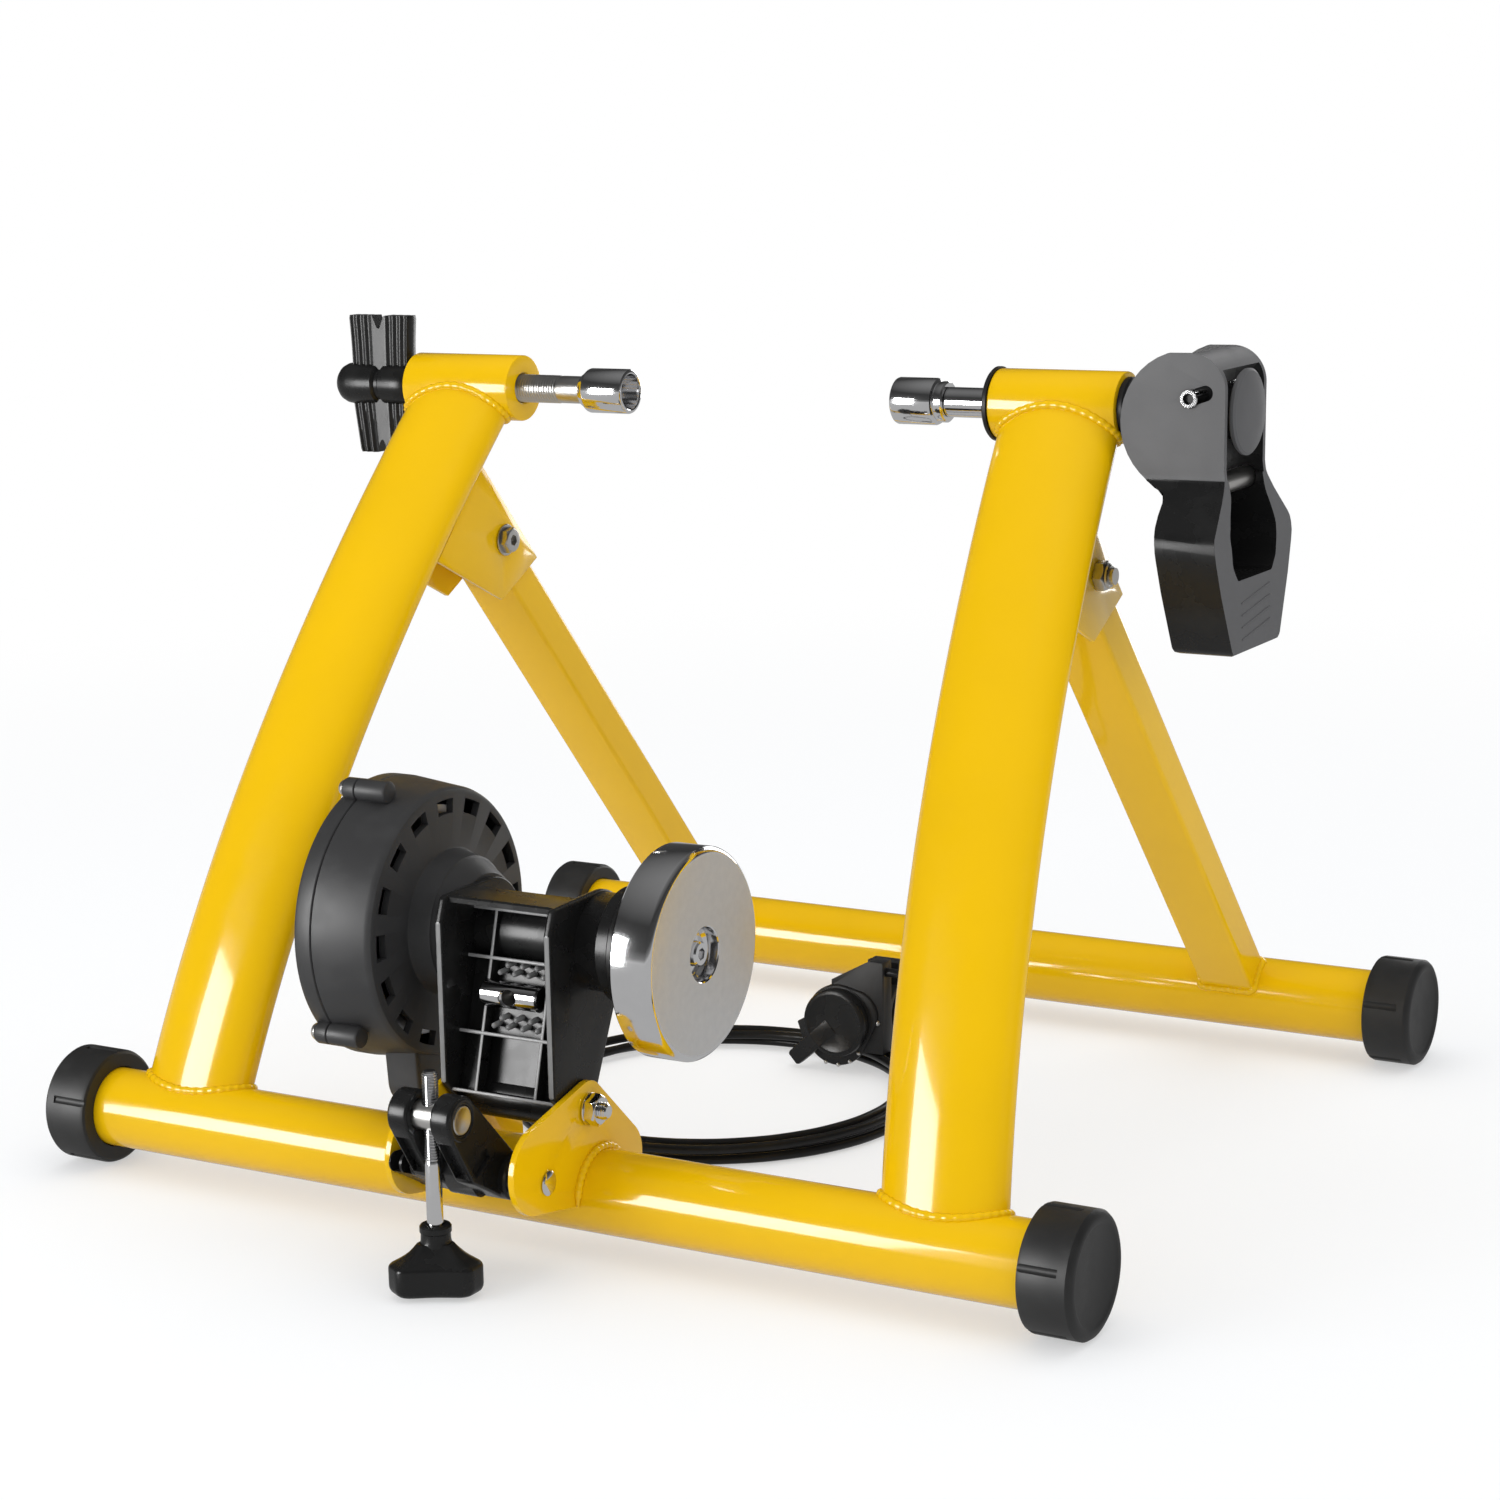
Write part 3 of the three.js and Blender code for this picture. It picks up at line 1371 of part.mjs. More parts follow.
function shifterBody() {
  const at = { x: shifter.dialX, z: shifter.dialZ };
  const puck = rod("y", shifter.bodyRadius, shifter.frontY, shifterBackY, at, sides.large);
  const facePlate = plate("y", [
    { x: shifter.plateLeftX, z: shifterLow },
    { x: shifter.plateRightX, z: shifterLow },
    { x: shifter.plateRightX, z: shifter.plateTopZ },
    { x: shifter.plateSlopeX, z: shifter.plateTopZ },
    { x: shifter.plateLeftX, z: shifter.plateSlopeZ },
  ], shifterBackY - 2 * shifter.plateThickness, shifterBackY);
  const reach = [shifter.clampLeftX - overrun, shifter.plateRightX + overrun];
  const bore = rod("x", shifter.clampInner, ...reach, clampAt, sides.large);
  const frontRing = clampRing().intersect(clampSide(-1));
  const floorCut = box(
    { x: shifter.dialX - 2 * shifter.bodyRadius, y: shifter.frontY - overrun, z: -overrun },
    { x: shifter.plateRightX + overrun, y: shifterBackY + overrun, z: shifterLow },
  );
  const pegEnd = shifter.frontY + shifter.pegDepth;
  const pegHole = rod("y", shifter.pegRadius + gap, shifter.frontY - overrun, pegEnd, at, sides.small);
  const outletEnd = shifter.plateRightX - 2 * cableRadius;
  const outlet = rod(
    "x",
    cableRadius + gap,
    outletEnd,
    shifter.plateRightX + overrun,
    cableOutlet,
    sides.small,
  );
  const screwHole = clampScrew(shifter.screwRadius + gap, shifter.screwRadius + gap);
  const body = cut(join(puck, facePlate, frontRing), bore, floorCut, pegHole, outlet, screwHole);
  add("shifter_body", body, finish.black);
  const backRing = clampRing().intersect(clampSide(1));
  add("shifter_clamp", cut(backRing, bore, screwHole), finish.black);
}

function shifterLever() {
  const at = { x: shifter.dialX, z: shifter.dialZ };
  const turn = THREE.MathUtils.degToRad(shifter.leverTurn);
  const tip = {
    x: at.x + shifter.leverLength * Math.cos(turn),
    z: at.z + shifter.leverLength * Math.sin(turn),
  };
  const back = shifter.frontY - gap;
  const dial = rod("y", shifter.dialRadius, back - shifter.dialThickness, back, at, sides.large);
  const thumb = plate("y", belt("y", [
    { ...at, r: shifter.leverHalf },
    { ...tip, r: shifter.leverTipHalf },
  ], sides.small), back - shifter.dialThickness, back);
  const pegEnd = shifter.frontY + shifter.pegDepth - overrun;
  const peg = rod("y", shifter.pegRadius, back - overrun, pegEnd, at, sides.small);
  add("shifter_lever", join(dial, thumb, peg), finish.black);
}

shifterBody();
add("shifter_clamp_screw", clampScrew(shifter.screwRadius, shifter.screwHeadRadius), finish.steel);
shifterLever();

// Free stretches of cable, each through places chosen by hand between two fixed ends
const placesToUnit = [
  { x: -52, y: 105, z: 9 },
  { x: -64, y: 98, z: 15 },
  { x: -68, y: 84, z: 28 },
  { x: -68, y: 68, z: 46 },
];
const placesToShifter = [
  { x: 46, y: 297, z: 50 },
  { x: 60, y: 296, z: 36 },
  { x: 65, y: 292, z: 19 },
  { x: 62, y: 283, z: 7 },
  { x: 57, y: 272, z: 2.6 },
];
const pointAt = (place) => new THREE.Vector3(place.x, place.y, place.z);
const cableSection = new THREE.Shape(
  Array.from({ length: sides.small }, (_, i) => {
    const angle = (2 * Math.PI * i) / sides.small;
    return new THREE.Vector2(cableRadius * Math.cos(angle), cableRadius * Math.sin(angle));
  }),
);

function cableStretch(name, points) {
  const extrudePath = new THREE.CatmullRomCurve3(points);
  const steps = Math.round(extrudePath.getLength() / (4 * cableRadius));
  add(name, solidOf(new THREE.ExtrudeGeometry(cableSection, { steps, extrudePath })), finish.black);
  return extrudePath.getLength();
}

const coilStart = coilPoints[0];
const coilEnd = coilPoints.at(-1);
const glandEnd = glandPoint(drumRadius + gland.length + gap);
const toUnit = [
  beyond(coilEnd, coilPoints.at(-2), gap),
  beyond(coilEnd, coilPoints.at(-2), 2 * cableRadius),
  ...placesToUnit.map(pointAt),
  glandPoint(drumRadius + gland.length + 4 * cableRadius),
  glandEnd,
];
const outletX = shifter.plateRightX - 2 * cableRadius + gap;
const toShifter = [
  new THREE.Vector3(outletX, cableOutlet.y, cableOutlet.z),
  new THREE.Vector3(outletX + 4 * cableRadius, cableOutlet.y, cableOutlet.z),
  ...placesToShifter.map(pointAt),
  beyond(coilStart, coilPoints[1], 2 * cableRadius),
  beyond(coilStart, coilPoints[1], gap),
];
const coilLength = coilPoints.slice(1).reduce((sum, p, i) => sum + p.distanceTo(coilPoints[i]), 0);
const stretches = cableStretch("cable_to_unit", toUnit) + cableStretch("cable_to_shifter", toShifter);
console.log("cable length, mm:", (coilLength + stretches).toFixed(0));

// The stand is centred on the origin by the box of everything but the cable
const extent = new THREE.Box3();
for (const mesh of trainer.children) {
  if (!cordNames.includes(mesh.name)) extent.expandByObject(mesh);
}
const centre = extent.getCenter(new THREE.Vector3());
for (const mesh of trainer.children) mesh.position.set(-centre.x, -centre.y, -extent.min.z);
console.log("shift, mm:", -centre.x, -centre.y, -extent.min.z);

export default trainer;
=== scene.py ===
"""A folding bicycle trainer with a magnetic resistance unit, dressed for its picture."""

import logging
import math
from dataclasses import dataclass, field
from enum import Enum
from itertools import pairwise
from typing import Callable, Iterable, Sequence

import bpy
from mathutils import Matrix, Vector


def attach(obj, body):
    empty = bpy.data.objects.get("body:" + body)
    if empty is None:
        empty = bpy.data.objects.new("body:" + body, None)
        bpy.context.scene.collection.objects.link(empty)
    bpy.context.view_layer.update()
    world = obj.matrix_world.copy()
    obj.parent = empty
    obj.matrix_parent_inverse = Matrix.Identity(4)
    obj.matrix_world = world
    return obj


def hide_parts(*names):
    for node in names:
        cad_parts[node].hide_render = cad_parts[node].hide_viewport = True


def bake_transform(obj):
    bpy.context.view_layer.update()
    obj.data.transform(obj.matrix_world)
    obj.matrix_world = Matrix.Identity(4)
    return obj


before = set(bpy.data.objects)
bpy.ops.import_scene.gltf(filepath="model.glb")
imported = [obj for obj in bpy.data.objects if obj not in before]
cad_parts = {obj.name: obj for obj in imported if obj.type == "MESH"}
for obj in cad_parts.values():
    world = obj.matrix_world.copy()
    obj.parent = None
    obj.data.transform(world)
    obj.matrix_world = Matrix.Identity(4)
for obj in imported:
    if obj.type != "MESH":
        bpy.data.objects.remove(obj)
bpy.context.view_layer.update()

MM = 0.001
SHOP_SHIFT = -181.2985954284668
FULL_TURN = 2 * math.pi

Pair = tuple[float, float]
Triple = tuple[float, float, float]

logging.basicConfig(level=logging.INFO, format="%(name)s: %(message)s")
log = logging.getLogger("trainer")


def spot(x: float, y: float, z: float) -> Vector:
    """Turns a place on the shop drawing, in mm from the front tube, into metres in the shared frame."""
    return Vector((x, y + SHOP_SHIFT, z)) * MM


class Axis(Enum):
    """A drawing axis, with the two that lie across it."""

    X = (0, 1, 2)
    Y = (1, 0, 2)
    Z = (2, 0, 1)

    def place(self, along: float, u: float, v: float) -> Vector:
        """Gives the point that lies along the axis and at (u, v) across it."""
        values = [0.0, 0.0, 0.0]
        for index, value in zip(self.value, (along, u, v)):
            values[index] = value
        return spot(*values)

    @property
    def unit(self) -> Vector:
        """The axis as a unit vector."""
        return Vector([float(i == self.value[0]) for i in range(3)])


def belt(circles: Iterable[Triple], count: int = 48) -> list[Pair]:
    """Finds the outline of a belt laid round circles.

    Args:
        circles: centre and radius of each circle, as (u, v, radius).
        count: points on each circle.

    Returns:
        The hull's corners in order.
    """
    dots = sorted(
        (u + r * math.cos(FULL_TURN * i / count), v + r * math.sin(FULL_TURN * i / count))
        for u, v, r in circles
        for i in range(count)
    )

    def half(points: Iterable[Pair]) -> list[Pair]:
        """Walks one side of the hull."""
        chain: list[Pair] = []
        for p in points:
            while len(chain) > 1:
                a, b = chain[-2:]
                if (b[0] - a[0]) * (p[1] - a[1]) - (b[1] - a[1]) * (p[0] - a[0]) > 1e-9:
                    break
                chain.pop()
            chain.append(p)
        return chain[:-1]

    return half(dots) + half(reversed(dots))


def on_circle(centre: Pair, radius: float, degrees: float) -> Pair:
    """Gives the point of a circle at an angle."""
    turn = math.radians(degrees)
    return centre[0] + radius * math.cos(turn), centre[1] + radius * math.sin(turn)


class Bench:
    """The hand tools: each piece starts as a primitive and is worked in edit mode."""

    def pick(self, piece: bpy.types.Object) -> None:
        """Leaves one piece selected and active."""
        bpy.ops.object.select_all(action="DESELECT")
        piece.select_set(True)
        bpy.context.view_layer.objects.active = piece

    def enter(self, piece: bpy.types.Object) -> None:
        """Opens a piece in edit mode with everything on it selected."""
        self.pick(piece)
        bpy.ops.object.mode_set(mode="EDIT")
        bpy.ops.mesh.select_mode(type="VERT")
        bpy.ops.mesh.select_all(action="SELECT")

    def leave(self, piece: bpy.types.Object, outward: bool = True) -> bpy.types.Object:
        """Closes edit mode with the faces turned outwards."""
        if outward:
            bpy.ops.mesh.select_all(action="SELECT")
            bpy.ops.mesh.normals_make_consistent(inside=False)
        bpy.ops.object.mode_set(mode="OBJECT")
        return piece

    def rim(self, name: str, points: Sequence[Vector], filled: bool) -> bpy.types.Object:
        """Adds a circle and pulls its corners to the given points.

        Args:
            name: the new piece's name.
            points: where the corners go, in order.
            filled: whether a face spans the rim.

        Returns:
            The new piece.
        """
        bpy.ops.object.select_all(action="DESELECT")
        kind = "NGON" if filled else "NOTHING"
        bpy.ops.mesh.primitive_circle_add(vertices=len(points), radius=1, fill_type=kind)
        piece = bpy.context.active_object
        piece.name = piece.data.name = name
        for corner, point in zip(piece.data.vertices, points):
            corner.co = point
        return piece

    def turned(
        self,
        name: str,
        axis: Axis,
        centre: Pair,
        profile: Sequence[Pair],
        ring: bool = False,
        steps: int = 96,
    ) -> bpy.types.Object:
        """Spins a profile about an axis.

        Args:
            name: the new piece's name.
            axis: the axis to spin about.
            centre: where the axis crosses the plane across it, in mm.
            profile: pairs of a place along the axis and a radius.
            ring: whether the profile is a closed loop off the axis.
            steps: facets round the piece.

        Returns:
            The closed piece.
        """
        stations = list(profile)
        if not ring:
            stations = [(stations[0][0], 0.0), *stations] if stations[0][1] > 0 else stations
            stations = [*stations, (stations[-1][0], 0.0)] if stations[-1][1] > 0 else stations
        u, v = centre
        piece = self.rim(name, [axis.place(a, u + r, v) for a, r in stations], filled=False)
        self.enter(piece)
        bpy.ops.mesh.spin(
            steps=steps, angle=FULL_TURN, center=axis.place(0, u, v), axis=axis.unit
        )
        bpy.ops.mesh.select_all(action="SELECT")
        bpy.ops.mesh.remove_doubles(threshold=2e-6)
        bpy.ops.mesh.delete_loose()
        return self.leave(piece)

    def prism(
        self, name: str, axis: Axis, outline: Sequence[Pair], start: float, end: float
    ) -> bpy.types.Object:
        """Extrudes an outline across an axis from one place on the axis to another.

        Args:
            name: the new piece's name.
            axis: the axis to extrude along.
            outline: the corners across the axis, in mm.
            start: where the outline lies on the axis.
            end: where the extrusion stops.

        Returns:
            The closed piece.
        """
        piece = self.rim(name, [axis.place(start, u, v) for u, v in outline], filled=True)
        self.enter(piece)
        reach = axis.unit * (end - start) * MM
        bpy.ops.mesh.extrude_region_move(TRANSFORM_OT_translate={"value": reach})
        return self.leave(piece)

    def block(self, name: str, low: Triple, high: Triple) -> bpy.types.Object:
        """Makes a box between two corners."""
        outline = [(low[0], low[1]), (high[0], low[1]), (high[0], high[1]), (low[0], high[1])]
        return self.prism(name, Axis.Z, outline, low[2], high[2])

    def skinned(
        self, name: str, rings: Sequence[Sequence[Vector]], looped: bool = False
    ) -> bpy.types.Object:
        """Wraps a grid round rings of equally many points.

        Args:
            name: the new piece's name.
            rings: the rings in order, in metres.
            looped: whether the last ring joins the first.

        Returns:
            The closed piece.
        """
        rows = [*rings, rings[0]] if looped else list(rings)
        across = len(rows[0])
        bpy.ops.object.select_all(action="DESELECT")
        bpy.ops.mesh.primitive_grid_add(x_subdivisions=across, y_subdivisions=len(rows) - 1, size=1)
        piece = bpy.context.active_object
        piece.name = piece.data.name = name
        for index, corner in enumerate(piece.data.vertices):
            row, column = divmod(index, across + 1)
            corner.co = rows[row][column % across]
        self.enter(piece)
        bpy.ops.mesh.remove_doubles(threshold=2e-6)
        if not looped:
            bpy.ops.mesh.select_all(action="DESELECT")
            bpy.ops.mesh.select_non_manifold()
            bpy.ops.mesh.fill_holes(sides=0)
        return self.leave(piece)

    def tube(
        self,
        name: str,
        path: Sequence[Vector],
        radius: Callable[[float], float],
        sides: int = 12,
        looped: bool = False,
    ) -> bpy.types.Object:
        """Lays a round tube along a path.

        Args:
            name: the new piece's name.
            path: the centreline, in metres.
            radius: the radius in mm at a share of the path.
            sides: points round the tube.
            looped: whether the path closes on itself.

        Returns:
            The closed piece.
        """
        rings = []
        count = len(path)
        over = Vector((0, 0, 1))
        for index, point in enumerate(path):
            ahead = path[(index + 1) % count] if looped else path[min(index + 1, count - 1)]
            behind = path[index - 1] if looped else path[max(index - 1, 0)]
            along = (ahead - behind).normalized()
            over = (over - along * over.dot(along)).normalized()
            side = along.cross(over)
            reach = radius(index / count) * MM
            rings.append(
                [
                    point
                    + side * reach * math.cos(FULL_TURN * i / sides)
                    + over * reach * math.sin(FULL_TURN * i / sides)
                    for i in range(sides)
                ]
            )
        return self.skinned(name, rings, looped)

    def apply(self, piece: bpy.types.Object, modifier: bpy.types.Modifier) -> None:
        """Applies a modifier."""
        self.pick(piece)
        bpy.ops.object.modifier_apply(modifier=modifier.name)

    def smooth(self, piece: bpy.types.Object, degrees: float = 38) -> bpy.types.Object:
        """Shades a piece smooth across its shallow edges."""
        self.pick(piece)
        bpy.ops.object.shade_smooth_by_angle(angle=math.radians(degrees))
        return piece

    def eased(
        self, piece: bpy.types.Object, width: float, segments: int = 2, degrees: float = 38
    ) -> bpy.types.Object:
        """Rounds a piece's sharp edges with a bevel and shades it smooth."""
        bevel = piece.modifiers.new("Eased", "BEVEL")
        bevel.width = width * MM
        bevel.segments = segments
        bevel.limit_method = "ANGLE"
        bevel.angle_limit = math.radians(degrees)
        bevel.miter_outer = "MITER_ARC"
        self.apply(piece, bevel)
        return self.smooth(piece, degrees)

    def worked(
        self, piece: bpy.types.Object, operation: str, tools: Iterable[bpy.types.Object]
    ) -> bpy.types.Object:
        """Cuts a piece with others, adds them to it or keeps what they share, and removes them.

        Args:
            piece: the piece that is kept.
            operation: DIFFERENCE, UNION or INTERSECT.
            tools: the pieces that are used up.

        Returns:
            The worked piece.
        """
        for tool in tools:
            boolean = piece.modifiers.new("Worked", "BOOLEAN")
            boolean.operation = operation
            boolean.solver = "EXACT"
            boolean.object = tool
            self.apply(piece, boolean)
            bpy.data.objects.remove(tool)
        return piece

    def joined(self, piece: bpy.types.Object, *others: bpy.types.Object) -> bpy.types.Object:
        """Puts several shells into one piece."""
        self.pick(piece)
        for other in others:
            other.select_set(True)
        bpy.ops.object.join()
        return piece

    def copied(self, piece: bpy.types.Object, name: str, move: Matrix) -> bpy.types.Object:
        """Copies a piece, with a mesh of its own, to another place."""
        twin = piece.copy()
        twin.data = piece.data.copy()
        twin.name = twin.data.name = name
        bpy.context.scene.collection.objects.link(twin)
        twin.data.transform(move)
        if move.determinant() < 0:
            self.enter(twin)
            self.leave(twin)
        return twin

    def from_node(self, node: str, name: str, flat_degrees: float = 1.0) -> bpy.types.Object:
        """Takes a merged copy of a CAD node, with its flat faces made whole.

        Args:
            node: the CAD node's name.
            name: the new piece's name.
            flat_degrees: the angle below which neighbouring faces are one.

        Returns:
            The copy, which rides on nothing yet.
        """
        source = bpy.data.objects[node]
        bpy.ops.object.select_all(action="DESELECT")
        bpy.ops.mesh.primitive_plane_add(size=1)
        piece = bpy.context.active_object
        piece.data = source.data.copy()
        piece.name = piece.data.name = name
        piece.data.materials.clear()
        self.enter(piece)
        bpy.ops.mesh.remove_doubles(threshold=2e-6)
        bpy.ops.mesh.dissolve_limited(angle_limit=math.radians(flat_degrees))
        return self.leave(piece)


bench = Bench()


class Value:
    """A shader value; sums and products of it add their Math nodes."""

    def __init__(self, tree: bpy.types.NodeTree, socket: bpy.types.NodeSocket) -> None:
        self.tree = tree
        self.socket = socket

    def _math(self, operation: str, *terms: "Value | float") -> "Value":
        """Adds a Math node over its terms."""
        node = self.tree.nodes.new("ShaderNodeMath")
        node.operation = operation
        for slot, term in zip(node.inputs, terms):
            if isinstance(term, Value):
                self.tree.links.new(term.socket, slot)
            else:
                slot.default_value = term
        return Value(self.tree, node.outputs[0])

    def __add__(self, other: "Value | float") -> "Value":
        """Adds."""
        return self._math("ADD", self, other)

    __radd__ = __add__

    def __sub__(self, other: "Value | float") -> "Value":
        """Subtracts."""
        return self._math("SUBTRACT", self, other)

    def __rsub__(self, other: "Value | float") -> "Value":
        """Subtracts from a number."""
        return self._math("SUBTRACT", other, self)

    def __mul__(self, other: "Value | float") -> "Value":
        """Multiplies."""
        return self._math("MULTIPLY", self, other)

    __rmul__ = __mul__

    def __pow__(self, other: "Value | float") -> "Value":
        """Raises to a power."""
        return self._math("POWER", self, other)

    def sine(self) -> "Value":
        """Gives the sine."""
        return self._math("SINE", self)

    def above(self, edge: float, width: float) -> "Value":
        """Rises from 0 to 1 over a width centred on an edge."""
        node = self.tree.nodes.new("ShaderNodeMapRange")
        node.interpolation_type = "SMOOTHSTEP"
        self.tree.links.new(self.socket, node.inputs["Value"])
        node.inputs["From Min"].default_value = edge - width / 2
        node.inputs["From Max"].default_value = edge + width / 2
        return Value(self.tree, node.outputs[0])


class Recipe:
    """A material in the making, with its principled shader."""

    def __init__(self, name: str) -> None:
        self.material = bpy.data.materials.new(name)
        self.material.use_nodes = True
        self.tree = self.material.node_tree
        self.shader = self.tree.nodes["Principled BSDF"]
        self.where = self.tree.nodes.new("ShaderNodeTexCoord").outputs["Object"]

    def node(
        self, kind: str, settings: dict[str, object], inputs: dict[str, object]
    ) -> bpy.types.Node:
        """Adds a node.

        Args:
            kind: the node's type.
            settings: its properties, set first.
            inputs: the value or link of each named socket.

        Returns:
            The node.
        """
        node = self.tree.nodes.new(kind)
        for key, setting in settings.items():
            setattr(node, key, setting)
        for key, value in inputs.items():
            self.feed(node.inputs[key], value)
        return node

    def feed(self, slot: bpy.types.NodeSocket, value: object) -> None:
        """Links a value or a socket, or sets a constant."""
        if isinstance(value, Value):
            self.tree.links.new(value.socket, slot)
        elif isinstance(value, bpy.types.NodeSocket):
            self.tree.links.new(value, slot)
        else:
            slot.default_value = value

    def noise(
        self,
        grain: float,
        detail: float = 3.0,
        stretch: Triple = (1.0, 1.0, 1.0),
        seed: float = 0.0,
    ) -> Value:
        """Gives a noise of 0 to 1 whose grains are so many mm across.

        Args:
            grain: the size of a grain, in mm.
            detail: octaves of finer noise.
            stretch: how far the pattern is squeezed along each axis.
            seed: a shift of the pattern, in metres.

        Returns:
            The noise.
        """
        mapping = self.node(
            "ShaderNodeMapping",
            {},
            {"Vector": self.where, "Location": (seed, seed, seed), "Scale": stretch},
        )
        node = self.node(
            "ShaderNodeTexNoise",
            {},
            {"Vector": mapping.outputs[0], "Scale": 1 / (grain * MM), "Detail": detail},
        )
        return Value(self.tree, node.outputs["Fac"])

    def radius_about(self, axis: Axis, centre: Pair) -> Value:
        """Gives the distance from an axis in mm."""
        shift = -axis.place(0, *centre)
        shown = self.node("ShaderNodeMapping", {}, {"Vector": self.where, "Location": shift})
        split = self.node("ShaderNodeSeparateXYZ", {}, {"Vector": shown.outputs[0]})
        u, v = (Value(self.tree, split.outputs[index]) for index in axis.value[1:])
        return (u * u + v * v) ** 0.5 * (1 / MM)

    def mixed(self, share: Value, first: Triple, second: Triple) -> Value:
        """Mixes two colours by a share."""
        node = self.node("ShaderNodeMix", {"data_type": "RGBA"}, {"Factor": share})
        node.inputs[6].default_value = (*first, 1)
        node.inputs[7].default_value = (*second, 1)
        return Value(self.tree, node.outputs[2])

    def bumped(self, height: Value, depth: float, strength: float = 1.0) -> None:
        """Feeds a height of 0 to 1, so many mm deep, to the shader's normal."""
        bump = self.node(
            "ShaderNodeBump",
            {},
            {"Height": height, "Distance": depth * MM, "Strength": strength},
        )
        self.feed(self.shader.inputs["Normal"], bump.outputs[0])

    def set(self, **values: object) -> None:
        """Feeds the shader's sockets, named with underscores."""
        for key, value in values.items():
            self.feed(self.shader.inputs[key.replace("_", " ")], value)


@dataclass(frozen=True)
class Finish:
    """A finish that any piece can take."""

    name: str
    slot: str
    colour: Triple
    roughness: float

    def mix(self) -> bpy.types.Material:
        """Makes the material, or gives the one made before."""
        return bpy.data.materials.get(self.name) or self.made(Recipe(self.name))

    def made(self, recipe: Recipe) -> bpy.types.Material:
        """Writes the finish into a recipe."""
        raise NotImplementedError

    def shaded(self, share: float) -> Triple:
        """Gives the finish's colour, lighter or darker by a share."""
        red, green, blue = (min(1.0, part * share) for part in self.colour)
        return red, green, blue


@dataclass(frozen=True)
class Paint(Finish):
    """Glossy powder paint: a slight orange peel under a clear skin."""

    peel: float = 1.6

    def made(self, recipe: Recipe) -> bpy.types.Material:
        """Writes the paint into a recipe."""
        drift = recipe.noise(60, 2)
        dust = recipe.noise(9, 4, seed=0.3)
        recipe.set(
            Base_Color=recipe.mixed(drift, self.shaded(0.95), self.shaded(1.04)),
            Roughness=dust * 0.12 + (self.roughness - 0.04),
            Specular_IOR_Level=0.22,
            Coat_Weight=0.45,
            Coat_Roughness=0.05,
        )
        recipe.bumped(recipe.noise(self.peel, 2), 0.02, 0.35)
        return recipe.material


@dataclass(frozen=True)
class Moulding(Finish):
    """Moulded plastic or rubber with a fine grain and faint scuffs."""

    grain: float = 0.5
    depth: float = 0.04
    scuff: float = 1.5
    sheen: float = 0.28

    def made(self, recipe: Recipe) -> bpy.types.Material:
        """Writes the moulding into a recipe."""
        handled = recipe.noise(14, 5, seed=0.7).above(0.56, 0.22)
        cloud = recipe.noise(30, 2)
        tone = recipe.mixed(handled * 0.6 + cloud * 0.3, self.colour, self.shaded(self.scuff))
        recipe.set(
            Base_Color=tone,
            Roughness=cloud * 0.1 + handled * 0.06 + (self.roughness - 0.06),
            Specular_IOR_Level=self.sheen,
        )
        recipe.bumped(recipe.noise(self.grain, 2), self.depth, 0.5)
        return recipe.material


@dataclass(frozen=True)
class Plating(Finish):
    """Bright plated metal with faint hairlines along one axis."""

    hairline: Triple = (1.0, 12.0, 12.0)
    strength: float = 0.04

    def made(self, recipe: Recipe) -> bpy.types.Material:
        """Writes the plating into a recipe."""
        lines = recipe.noise(1.2, 3, stretch=self.hairline)
        bloom = recipe.noise(11, 3, seed=0.2)
        recipe.set(
            Base_Color=recipe.mixed(bloom, self.shaded(0.93), self.shaded(1.03)),
            Metallic=1.0,
            Roughness=bloom * 0.06 + lines * 0.04 + (self.roughness - 0.05),
        )
        recipe.bumped(lines, 0.006, self.strength)
        return recipe.material


@dataclass(frozen=True)
class Turning(Finish):
    """A face turned on a lathe: fine rings about the wheel's axis."""

    centre: Pair = (0.0, 0.0)
    pitch: float = 0.7

    def made(self, recipe: Recipe) -> bpy.types.Material:
        """Writes the turned face into a recipe."""
        radius = recipe.radius_about(Axis.X, self.centre)
        wobble = recipe.noise(6, 2)
        rings = (radius * (FULL_TURN / self.pitch) + wobble * 2).sine() * 0.5 + 0.5
        cloud = recipe.noise(4, 5, seed=0.4)
        recipe.set(
            Base_Color=recipe.mixed(cloud, self.shaded(0.9), self.shaded(1.06)),
            Metallic=1.0,
            Roughness=rings * 0.05 + cloud * 0.1 + (self.roughness - 0.07),
        )
        recipe.bumped(rings * 0.6 + cloud * 0.4, 0.012, 0.3)
        return recipe.material


